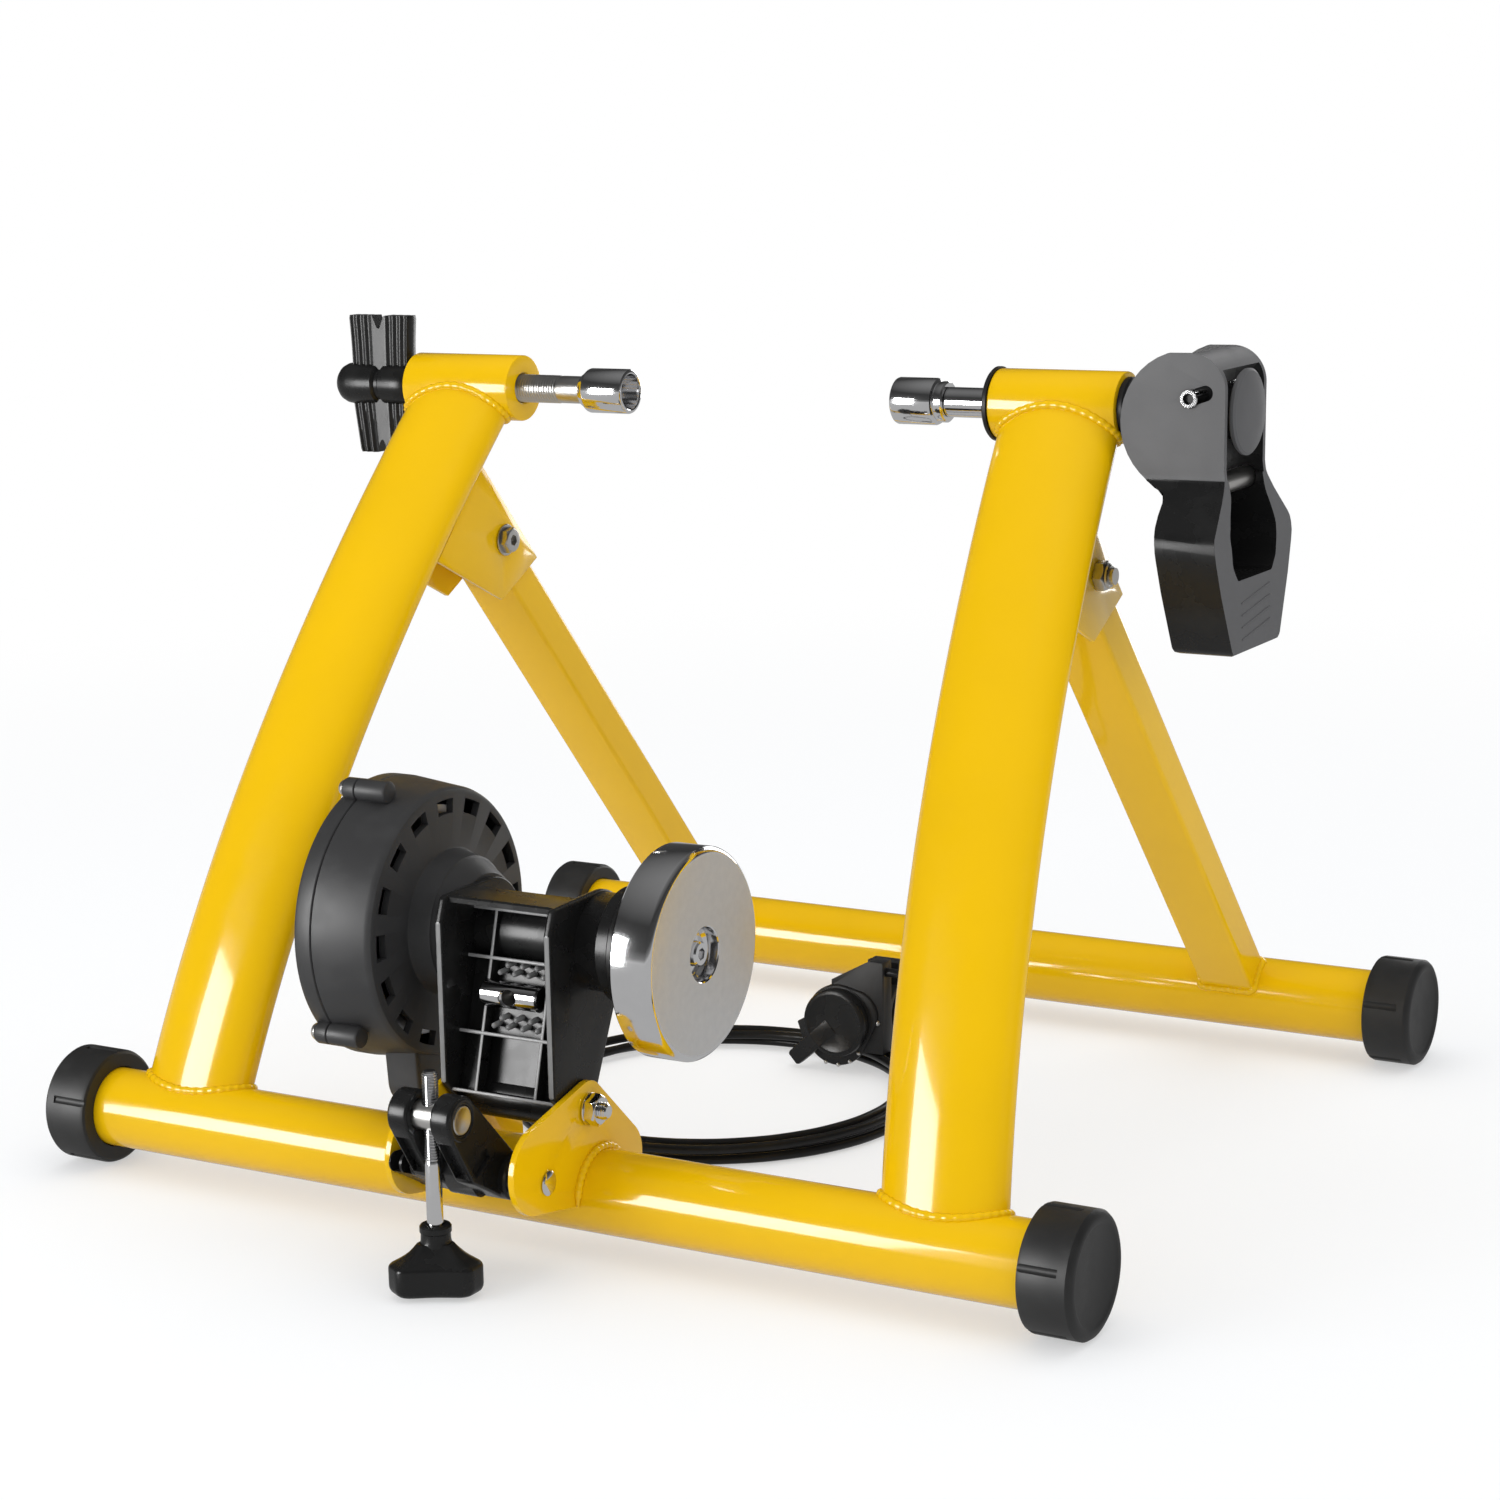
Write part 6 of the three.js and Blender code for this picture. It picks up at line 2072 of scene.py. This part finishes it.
@dataclass
class Adjuster:
    """The tension adjuster: a clevis, its cross barrel, and a rod with a star knob, in mm."""

    middle: float = -5.0
    ear: Pair = (-77.0, 79.0)
    toe: Pair = (-66.5, 51.5)
    pivot: Pair = (-42.0, 43.5)
    half: float = 16.0
    slot: float = 6.0
    rod_radius: float = 3.6
    rod_top: float = 99.0
    knob_low: float = 1.5
    knob_high: float = 19.5
    neck_top: float = 30.5

    def clevis(self) -> None:
        """Makes the clevis: two eared cheeks, hollow in front, on a cross hub with a foot."""
        profile = belt([(*self.ear, 10.5), (*self.toe, 4.5), (*self.pivot, 10)], 96)
        foot = belt([(*self.toe, 4.5), (*self.pivot, 9.6)], 64)
        pieces, pockets = [], []
        for side in (-1, 1):
            inner, outer = self.middle + side * self.slot, self.middle + side * self.half
            span = min(inner, outer), max(inner, outer)
            cheek = bench.prism("cheek", Axis.X, profile, *span)
            bench.eased(cheek, 1.3, 4)
            rim = bench.turned(
                "rim",
                Axis.X,
                self.ear,
                [
                    (outer - side * 1.4, 9.4),
                    (outer + side * 0.1, 9.4),
                    (outer + side * 0.6, 8.9),
                    (outer + side * 0.6, 7.9),
                    (outer - side * 0.4, 7.2),
                    (outer - side * 1.4, 7.2),
                ],
                ring=True,
                steps=64,
            )
            pieces += [cheek, rim]
            channel = [(-85.6, 68.0), (-73.4, 49.0), (-68.6, 51.6), (-80.6, 70.6)]
            pockets.append(
                bench.prism("channel", Axis.X, channel, span[0] + 1.3, span[1] - 1.3)
            )
            pit = [(-71.5, 55.2), (-60.0, 62.0), (-57.0, 57.0), (-67.5, 50.2)]
            pockets.append(bench.prism("pit", Axis.X, pit, outer - side * 2.0, outer + side * 2.0))
        clevis = pieces[0]
        clevis.name = clevis.data.name = "Adjuster_clevis_moulded"
        bar = bench.prism("bar", Axis.X, foot, -33.4, self.middle - self.half + 1)
        bench.eased(bar, 1.0, 3)
        web = bench.prism(
            "web",
            Axis.X,
            belt([(-61.5, 57.5, 2.5), (-61, 49, 2.5), (-50, 43.5, 8)]),
            self.middle - self.slot - 1,
            self.middle + self.slot + 1,
        )
        hub = bench.turned(
            "hub",
            Axis.X,
            self.pivot,
            [(-33.4, 9.2), (-32.6, 10), (-23, 10), (-22.4, 9.2), (-21.6, 9.2), (-21, 10),
             (13.4, 10), (14.4, 9.2), (15.4, 9.2), (16.2, 10), (26.1, 10), (26.9, 9.2)],
        )
        bench.worked(clevis, "UNION", [*pieces[1:], bar, web, hub])
        for span in ((-32.2, -27.4), (-26.2, -21.6)):
            hollow = belt([(-74, 54.6, 1.2), (-74, 49.6, 1.2), (-62, 48.2, 1.2), (-60, 55.2, 1.2)], 24)
            pockets.append(bench.prism("hollow", Axis.X, hollow, *span))
        eye = bench.turned("eye", Axis.X, self.ear, [(-40, 6.8), (30, 6.8)], steps=64)
        bore = bench.turned("bore", Axis.X, self.pivot, [(-40, 4.3), (40, 4.3)], steps=48)
        bench.worked(clevis, "DIFFERENCE", [*pockets, eye, bore])
        bench.smooth(clevis, 32)
        handed_over(clevis, "adjuster_fork", Finishes.gloss, "adjuster_clevis")

    def barrel(self) -> None:
        """Makes the cross barrel, whose dished ends show in the clevis's eyes."""
        low, high = self.middle - self.half - 0.3, self.middle + self.half + 0.3
        profile = [
            (low + 0.7, 0),
            (low + 0.5, 4.2),
            (low, 5.2),
            (low, 6.1),
            (low + 0.4, 6.5),
            (high - 0.4, 6.5),
            (high, 6.1),
            (high, 5.2),
            (high - 0.5, 4.2),
            (high - 0.7, 0),
        ]
        barrel = bench.turned("Adjuster_cross_barrel", Axis.X, self.ear, profile, steps=96)
        hole = bench.turned(
            "hole",
            Axis.Z,
            (self.middle, self.ear[0]),
            [(self.ear[1] - 8, 3.9), (self.ear[1] + 8, 3.9)],
            steps=48,
        )
        bench.worked(barrel, "DIFFERENCE", [hole])
        handed_over(bench.smooth(barrel, 30), "adjuster_swivel", Finishes.zinc, "adjuster_barrel")

    def rod(self) -> None:
        """Makes the rod: plain and bright below, threaded at its top."""
        at = self.middle, self.ear[0]
        rod = hardware.threaded(
            "Adjuster_rod_threaded",
            Axis.Z,
            at,
            self.rod_radius,
            self.rod_top,
            58.0,
            1.25,
            [(57.6, self.rod_radius), (self.knob_high + 0.3, self.rod_radius)],
        )
        handed_over(rod, "adjuster_screw", Finishes.chrome, "adjuster_rod")

    @staticmethod
    def lobed(degrees: float) -> float:
        """Gives the knob's radius in a direction: three blunt lobes with hollow sides between."""
        total, count = 0.0, 7
        for i in range(count):
            turn = (degrees + 2 * (i - count // 2)) % 120
            off = min(turn, 120 - turn)
            if off <= 15:
                total += 21.15 / math.cos(math.radians(off))
            else:
                way = math.radians(60 - off)
                total += 15.5 / math.cos(way) - 0.9 * math.cos(2 * way)
        return total / count

    def knob(self) -> None:
        """Makes the three-lobed knob with its collared neck."""
        centre = self.middle, self.ear[0]
        levels = [
            (1.5, 0.85),
            (1.9, 0.90),
            (2.8, 0.955),
            (4.2, 0.99),
            (5.6, 1.0),
            (13.4, 1.0),
            (14.3, 0.985),
            (14.9, 0.955),
            (15.6, 0.88),
            (16.6, 0.77),
            (17.8, 0.66),
            (19.2, 0.56),
            (20.8, 0.48),
            (22.6, 0.40),
        ]
        rings = []
        for z, share in levels:
            ring = []
            for degrees in range(0, 360, 3):
                radius = self.lobed(degrees) * share
                turn = math.radians(degrees)
                ring.append(
                    spot(centre[0] + radius * math.cos(turn), centre[1] + radius * math.sin(turn), z)
                )
            rings.append(ring)
        knob = bench.skinned("Adjuster_star_knob", rings)
        neck = bench.turned(
            "neck",
            Axis.Z,
            centre,
            [
                (15.0, 7.2),
                (22.2, 7.0),
                (23.6, 6.6),
                (26.8, 6.5),
                (27.3, 7.0),
                (29.6, 7.0),
                (30.3, 6.5),
                (30.5, 5.6),
                (30.5, 3.9),
                (24.0, 3.9),
                (24.0, 0.0),
            ],
            steps=96,
        )
        dimple = bench.turned("dimple", Axis.Z, centre, [(0, 9), (2.2, 8.2)], steps=64)
        bench.worked(knob, "UNION", [neck])
        bench.worked(knob, "DIFFERENCE", [dimple])
        bore = bench.turned("bore", Axis.Z, centre, [(19.6, 3.75), (32, 3.75)], steps=48)
        bench.worked(knob, "DIFFERENCE", [bore])
        handed_over(bench.smooth(knob, 32), "adjuster_grip", Finishes.gloss, "adjuster_knob")

    def build(self) -> None:
        """Builds the adjuster."""
        self.clevis()
        self.barrel()
        self.rod()
        self.knob()


@dataclass
class Shifter:
    """The bar shifter that lies on the coil, in mm."""

    dial: Pair = (-3.0, 26.5)
    front: float = 288.0
    dial_radius: float = 18.0
    lever_turn: float = 222.0
    lever_length: float = 33.5

    def body(self) -> None:
        """Makes the body and its clamp with rounded edges, and the detent ring round the dial."""
        body = bench.from_node("shifter_body", "Shifter_body_moulded", 2)
        bench.eased(body, 0.6, 3, 35)
        handed_over(body, "front_frame", Finishes.black, "shifter_body")
        clamp = bench.from_node("shifter_clamp", "Shifter_clamp_moulded", 2)
        bench.eased(clamp, 0.5, 2, 35)
        handed_over(clamp, "front_frame", Finishes.black, "shifter_clamp")
        swell = bench.prism(
            "Shifter_detent_plate",
            Axis.Y,
            belt([(-5.5, 20.4, 18.4), (-3, 26.5, 19.3), (6, 31, 13)], 96),
            self.front + 0.3,
            self.front + 3.4,
        )
        bench.eased(swell, 0.9, 3, 30)
        tab = bench.prism(
            "tab",
            Axis.Y,
            [(-28.5, 23.0), (-22.5, 26.5), (-18.0, 12.0), (-24.0, 10.5)],
            self.front + 1.0,
            self.front + 4.0,
        )
        bench.eased(tab, 0.6, 2, 30)
        bench.worked(swell, "UNION", [tab])
        bench.smooth(swell, 30)
        handed_over(swell, "front_frame", Finishes.black)
        for index in range(7):
            at = on_circle((-6.2, 19.4), 17.0, 43 - 25 * index)
            self.stud(f"Shifter_detent_{index + 1}", at, 1.2, self.front + 0.4)
        self.stud("Shifter_body_screw", (18.7, 27.5), 1.6, self.front + 2.2)
        screw = bench.turned(
            "Shifter_clamp_screw_pan",
            Axis.Y,
            (13, 50.2),
            [(308.0, 1.8), (317.0, 1.8), (317.0, 3.4), (318.6, 3.2), (319.3, 2.2)],
            steps=40,
        )
        socket = bench.prism(
            "socket", Axis.Y, hardware.hexagon((13, 50.2), 1.5, 15), 317.8, 321.0
        )
        bench.worked(screw, "DIFFERENCE", [socket])
        bench.smooth(screw, 30)
        handed_over(screw, "front_frame", Finishes.zinc, "shifter_clamp_screw")

    def stud(self, name: str, at: Pair, radius: float, seat: float) -> None:
        """Sets a small domed metal stud on the front."""
        profile = [
            (seat + 2, radius),
            (seat, radius),
            (seat - radius * 0.35, radius * 0.86),
            (seat - radius * 0.6, radius * 0.5),
            (seat - radius * 0.68, 0.0),
        ]
        stud = bench.turned(name, Axis.Y, at, profile, steps=24)
        handed_over(bench.smooth(stud, 60), "front_frame", Finishes.zinc)

    def lever(self) -> None:
        """Makes the dial with its thumb lever."""
        back = self.front - 0.3
        face = back - 6
        r = self.dial_radius
        profile = [
            (self.front + 4.8, 3.0),
            (back, 3.0),
            (back, r - 0.3),
            (back - 0.4, r),
            (face + 1.5, r),
            (face + 0.5, r - 0.5),
            (face + 0.05, r - 1.5),
            (face, r - 2.4),
            (face + 0.35, r - 3.0),
            (face + 0.45, 0.0),
        ]
        dial = bench.turned("Shifter_dial_lever", Axis.Y, self.dial, profile, steps=96)
        tip = on_circle(self.dial, self.lever_length - 1.5, self.lever_turn)
        across = self.lever_turn + 90
        start = on_circle(self.dial, 2.0, self.lever_turn)
        outline = [
            on_circle(start, 5.0, across),
            on_circle(tip, 4.3, across),
            on_circle(on_circle(tip, 1.5, self.lever_turn), 3.6, across),
            on_circle(on_circle(tip, 1.5, self.lever_turn), 3.6, across + 180),
            on_circle(tip, 4.3, across + 180),
            on_circle(start, 5.0, across + 180),
        ]
        thumb = bench.prism("thumb", Axis.Y, outline, face + 0.1, back)
        bench.eased(thumb, 0.9, 3, 30)
        bench.worked(dial, "UNION", [thumb])
        bench.smooth(dial, 32)
        handed_over(dial, "shift_control", Finishes.gloss, "shifter_lever")

    def build(self) -> None:
        """Builds the shifter."""
        self.body()
        self.lever()


@dataclass
class Cable:
    """The shift cable: a coil on the floor and its two free stretches, in mm."""

    radius: float = 2.3
    coil_middle: Pair = (-35.0, 213.0)
    coil_radius: float = 105.0
    pitch: float = 8.0
    turns: float = 3.28
    start_turn: float = 20.0
    drift: float = 0.22
    layer: float = 5.6
    low: float = 2.45
    climb_turns: float = 0.25
    steps_per_turn: int = 24
    drum: Triple = (-68.0, 11.7, 138.5)
    gland_turn: float = 300.0
    gland_radius: float = 64.5
    gland_length: float = 12.0
    outlet: Triple = (17.7, 295.0, 54.0)
    to_unit: tuple[Triple, ...] = (
        (-52, 105, 9),
        (-64, 98, 15),
        (-68, 84, 28),
        (-68, 68, 46),
    )
    to_shifter: tuple[Triple, ...] = (
        (46, 297, 50),
        (60, 296, 36),
        (65, 292, 19),
        (62, 283, 7),
        (57, 272, 2.6),
    )

    def coil_point(self, turns: float) -> Vector:
        """Gives a point of the coil, so many turns along it."""
        inward = self.pitch * min(turns, self.turns - turns)
        angle = math.radians(self.start_turn) - FULL_TURN * turns
        share = (turns - self.turns / 2) / (2 * self.climb_turns) + 0.5
        share = min(1.0, max(0.0, share))
        rise = share * share * (3 - 2 * share)
        reach = self.coil_radius - inward
        return Vector(
            (
                self.coil_middle[0] + reach * math.cos(angle),
                self.coil_middle[1] + self.drift * inward + reach * math.sin(angle),
                self.low + self.layer * rise,
            )
        )

    @staticmethod
    def beyond(end: Vector, neighbour: Vector, distance: float) -> Vector:
        """Gives the point past an end, straight on from its neighbour."""
        return end + (end - neighbour).normalized() * distance

    def coil(self) -> list[Vector]:
        """Gives the coil's points, with a short straight stretch at each end."""
        steps = round(self.turns * self.steps_per_turn)
        points = [self.coil_point(self.turns * i / steps) for i in range(steps + 1)]
        first = self.beyond(points[0], points[1], 2 * self.radius)
        return [first, *points, self.beyond(points[-1], points[-2], 2 * self.radius)]

    def gland_point(self, reach: float) -> Vector:
        """Gives a point straight out of the drum's gland."""
        x, y, z = self.drum
        out = on_circle((y, z), reach, self.gland_turn)
        return Vector((x, *out))

    @staticmethod
    def through(places: Sequence[Vector], steps: int) -> list[Vector]:
        """Runs a smooth curve through places.

        Args:
            places: the places in order.
            steps: points from one place to the next.

        Returns:
            Points along the curve, the places among them.
        """
        ends = [places[0] * 2 - places[1], *places, places[-1] * 2 - places[-2]]
        found = []
        for p0, p1, p2, p3 in zip(ends, ends[1:], ends[2:], ends[3:]):
            t1 = (p1 - p0).length ** 0.5
            t2 = t1 + (p2 - p1).length ** 0.5
            t3 = t2 + (p3 - p2).length ** 0.5
            for i in range(steps):
                t = t1 + (t2 - t1) * i / steps
                a1 = p0.lerp(p1, t / t1)
                a2 = p1.lerp(p2, (t - t1) / (t2 - t1))
                a3 = p2.lerp(p3, (t - t2) / (t3 - t2))
                b1 = a1.lerp(a2, t / t2)
                b2 = a2.lerp(a3, (t - t1) / (t3 - t1))
                found.append(b1.lerp(b2, (t - t1) / (t2 - t1)))
        return [*found, places[-1].copy()]

    @staticmethod
    def length(points: Sequence[Vector]) -> float:
        """Gives the length along points."""
        return sum((b - a).length for a, b in pairwise(points))

    def strain_relief(self, name: str, start: Vector, along: Vector, body: str, *nodes: str) -> None:
        """Makes a ribbed, tapering boot where the cable leaves a housing.

        Args:
            name: the boot's name.
            start: where the boot starts, on the shop drawing in mm.
            along: the way that the cable leaves.
            body: the body that it rides on.
            nodes: the CAD nodes that it replaces.
        """
        stations = [(-2.5, 5.0), (7.6, 5.0), (8.4, 4.2), (9.2, 4.2), (9.8, 4.7), (12.4, 4.6)]
        for index in range(4):
            here = 12.8 + index * 2.6
            radius = 4.2 - index * 0.42
            stations += [(here, radius - 0.6), (here + 0.7, radius - 0.6)]
            stations += [(here + 0.9, radius), (here + 2.3, radius - 0.15)]
        stations += [(23.4, 2.5)]
        path = [spot(*(start + along * reach)) for reach, _ in stations]
        boot = bench.tube(name, path, lambda share: 1.0, 32)
        rings = [point for point in path for _ in range(32)]
        for corner, middle, index in zip(boot.data.vertices, rings, range(len(rings))):
            corner.co = middle + (corner.co - middle) * stations[index // 32][1]
        handed_over(bench.smooth(boot, 40), body, Finishes.black, *nodes)

    def coiled_run(self) -> None:
        """Lays the coil and the stretch that rises from it into the shifter."""
        coil = self.coil()
        outlet = Vector(self.outlet)
        stretch = [
            outlet,
            outlet + Vector((4 * self.radius, 0, 0)),
            *[Vector(place) for place in self.to_shifter],
            coil[0],
        ]
        points = [*self.through(stretch, 3), *coil[1:]]
        curve = bpy.data.curves.new("Shift_cable_coil", "CURVE")
        curve.dimensions = "3D"
        curve.bevel_depth = self.radius * MM
        curve.bevel_resolution = 5
        curve.resolution_u = 4
        curve.use_fill_caps = True
        spline = curve.splines.new("BEZIER")
        spline.bezier_points.add(len(points) - 1)
        for knot, point in zip(spline.bezier_points, points):
            knot.co = spot(*point)
            knot.handle_left_type = knot.handle_right_type = "AUTO"
        piece = bpy.data.objects.new("Shift_cable_coil", curve)
        bpy.context.scene.collection.objects.link(piece)
        handed_over(piece, "front_frame", Finishes.sheath, "cable_coil", "cable_to_shifter")
        tuple(spot(*self.outlet))

    def run_to_unit(self) -> None:
        """Lays the stretch that rises from the coil into the drum."""
        coil = self.coil()
        places = [
            self.gland_point(self.gland_radius + self.gland_length + 0.3),
            self.gland_point(self.gland_radius + self.gland_length + 4 * self.radius),
            *[Vector(place) for place in reversed(self.to_unit)],
            coil[-1],
            self.beyond(coil[-1], coil[-2], -2 * self.radius),
        ]
        points = self.through(places, 5)
        path = [spot(*point) for point in points]
        piece = bench.tube("Shift_cable_to_unit", path, lambda share: self.radius, 16)
        handed_over(bench.smooth(piece, 60), None, Finishes.sheath, "cable_to_unit")
        tuple(spot(*places[0]))
        tuple(spot(*coil[-1]))
        tuple(spot(*places[1]))
        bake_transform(piece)

    def build(self) -> None:
        """Builds the cable."""
        self.coiled_run()
        self.run_to_unit()
        out = (self.gland_point(1) - self.gland_point(0)).normalized()
        start = self.gland_point(self.gland_radius)
        self.strain_relief("Drum_cable_boot", start, out, "resistance_unit", "cable_gland")


@dataclass
class Studio:
    """The floor, the lights and the camera, in metres."""

    lens: float = 79.15
    shift: Pair = (0.0239, 0.0031)
    place: Triple = (0.7847, -1.3604, 0.5067)
    turn: float = 30.375
    tilt: float = 11.436
    roll: float = -1.196

    def camera(self) -> None:
        """Sets the camera where the photograph was taken from."""
        turn, tilt, roll = (math.radians(x) for x in (self.turn, self.tilt, self.roll))
        back = Vector(
            (math.sin(turn) * math.cos(tilt), -math.cos(turn) * math.cos(tilt), math.sin(tilt))
        )
        right = Vector((math.cos(turn), math.sin(turn), 0))
        up = back.cross(right)
        level, plumb = math.cos(roll), math.sin(roll)
        columns = right * level + up * plumb, up * level - right * plumb, back
        data = bpy.data.cameras.new("Camera")
        data.lens = self.lens
        data.sensor_width = 36.0
        data.shift_x, data.shift_y = self.shift
        data.clip_end = 60.0
        camera = bpy.data.objects.new("Camera", data)
        bpy.context.scene.collection.objects.link(camera)
        turned = Matrix(columns).transposed().to_4x4()
        camera.matrix_world = Matrix.Translation(self.place) @ turned
        bpy.context.scene.camera = camera

    def lamp(
        self,
        name: str,
        place: Triple,
        size: Pair,
        power: float,
        aim: Triple,
        window: bool = False,
    ) -> None:
        """Hangs a soft rectangular light, or a bright window that only gloss shows.

        Args:
            name: its name.
            place: where it hangs.
            size: its width and height.
            power: its power in watts.
            aim: the point that it faces.
            window: True for a window, which lights no colour.
        """
        data = bpy.data.lights.new(name, "AREA")
        data.shape = "RECTANGLE"
        data.size, data.size_y = size
        data.energy = power
        lamp = bpy.data.objects.new(name, data)
        bpy.context.scene.collection.objects.link(lamp)
        lamp.visible_camera = False
        lamp.visible_diffuse = not window
        lamp.visible_glossy = window
        away = Vector(place) - Vector(aim)
        lamp.matrix_world = Matrix.Translation(place) @ away.to_track_quat("Z", "Y").to_matrix().to_4x4()

    def world(self) -> None:
        """Makes the surroundings: white to the camera, a studio's bands to polished metal."""
        world = bpy.data.worlds.new("Studio")
        world.use_nodes = True
        bpy.context.scene.world = world
        tree = world.node_tree
        ray = tree.nodes.new("ShaderNodeLightPath").outputs
        split = tree.nodes.new("ShaderNodeSeparateXYZ")
        tree.links.new(tree.nodes.new("ShaderNodeTexCoord").outputs["Generated"], split.inputs[0])
        height = Value(tree, split.outputs[2]) * 0.5 + 0.5
        ramp = tree.nodes.new("ShaderNodeValToRGB")
        tree.links.new(height.socket, ramp.inputs[0])
        stops = (
            (0.0, 0.4),
            (0.47, 0.5),
            (0.5, 0.55),
            (0.53, 0.2),
            (0.6, 0.06),
            (0.8, 0.04),
            (0.92, 0.14),
            (1.0, 0.22),
        )
        bands = ramp.color_ramp.elements
        while len(bands) < len(stops):
            bands.new(0.5)
        for band, (position, grey) in zip(bands, stops):
            band.position = position
            band.color = (grey, grey, grey, 1)
        colour = (0.7, 0.7, 0.7, 1)
        for share, other in ((ray["Is Glossy Ray"], ramp.outputs[0]), (ray["Is Camera Ray"], None)):
            mix = tree.nodes.new("ShaderNodeMix")
            mix.data_type = "RGBA"
            tree.links.new(share, mix.inputs["Factor"])
            if isinstance(colour, tuple):
                mix.inputs[6].default_value = colour
            else:
                tree.links.new(colour, mix.inputs[6])
            if other is None:
                mix.inputs[7].default_value = (1, 1, 1, 1)
            else:
                tree.links.new(other, mix.inputs[7])
            colour = mix.outputs[2]
        tree.links.new(colour, tree.nodes["Background"].inputs["Color"])

    def floor(self) -> None:
        """Lays the white floor, which keeps a soft shadow."""
        bpy.ops.object.select_all(action="DESELECT")
        bpy.ops.mesh.primitive_plane_add(size=30, location=(0, 0, -0.0004))
        floor = bpy.context.active_object
        floor.name = "Studio_floor"
        recipe = Recipe("Studio_floor")
        recipe.set(Base_Color=(0.945, 0.965, 0.99, 1), Roughness=0.9)
        recipe.shader.inputs["Specular IOR Level"].default_value = 0.0
        tree = recipe.tree
        glow = recipe.node("ShaderNodeEmission", {}, {"Strength": 1.0})
        ray = tree.nodes.new("ShaderNodeLightPath").outputs["Is Camera Ray"]
        far = (recipe.radius_about(Axis.Z, (0, -SHOP_SHIFT)) * MM).above(1.1, 1.3)
        share = Value(tree, ray) * (far * 0.52 + 0.48)
        mix = recipe.node("ShaderNodeMixShader", {}, {0: share})
        tree.links.new(recipe.shader.outputs[0], mix.inputs[1])
        tree.links.new(glow.outputs[0], mix.inputs[2])
        dim = recipe.node("ShaderNodeEmission", {}, {"Strength": 0.46})
        mirrored = tree.nodes.new("ShaderNodeLightPath").outputs["Is Glossy Ray"]
        calm = recipe.node("ShaderNodeMixShader", {}, {0: Value(tree, mirrored)})
        tree.links.new(mix.outputs[0], calm.inputs[1])
        tree.links.new(dim.outputs[0], calm.inputs[2])
        tree.links.new(calm.outputs[0], tree.nodes["Material Output"].inputs[0])
        floor.data.materials.append(recipe.material)

    def build(self) -> None:
        """Builds the studio."""
        self.camera()
        self.world()
        self.floor()
        self.lamp("Key_softbox", (-0.95, -1.62, 0.62), (1.15, 1.25), 12.0, (0, 0, 0.2))
        self.lamp("Overhead_softbox", (0.1, 0.2, 2.3), (2.2, 2.2), 17.0, (0, 0, 0))
        self.lamp("Right_fill", (1.9, -0.6, 0.9), (0.9, 1.2), 4.0, (0, 0, 0.15))
        self.lamp("Front_window", (-1.0, -1.7, 0.42), (0.85, 0.85), 42.0, (0, 0, 0.2), True)
        self.lamp("Edge_window", (0.1, 1.9, 0.6), (0.7, 1.1), 8.0, (0, 0, 0.2), True)
        view = bpy.context.scene.view_settings
        view.view_transform = "Standard"


def main() -> None:
    """Builds the trainer in its studio."""
    Studio().build()
    Cable().build()
    for part in (StandFrame(), FoldBolts(), AxleClamps(), ResistanceUnit(), Adjuster(), Shifter()):
        log.info("building %s", type(part).__name__)
        part.build()
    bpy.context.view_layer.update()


if __name__ == "__main__":
    main()
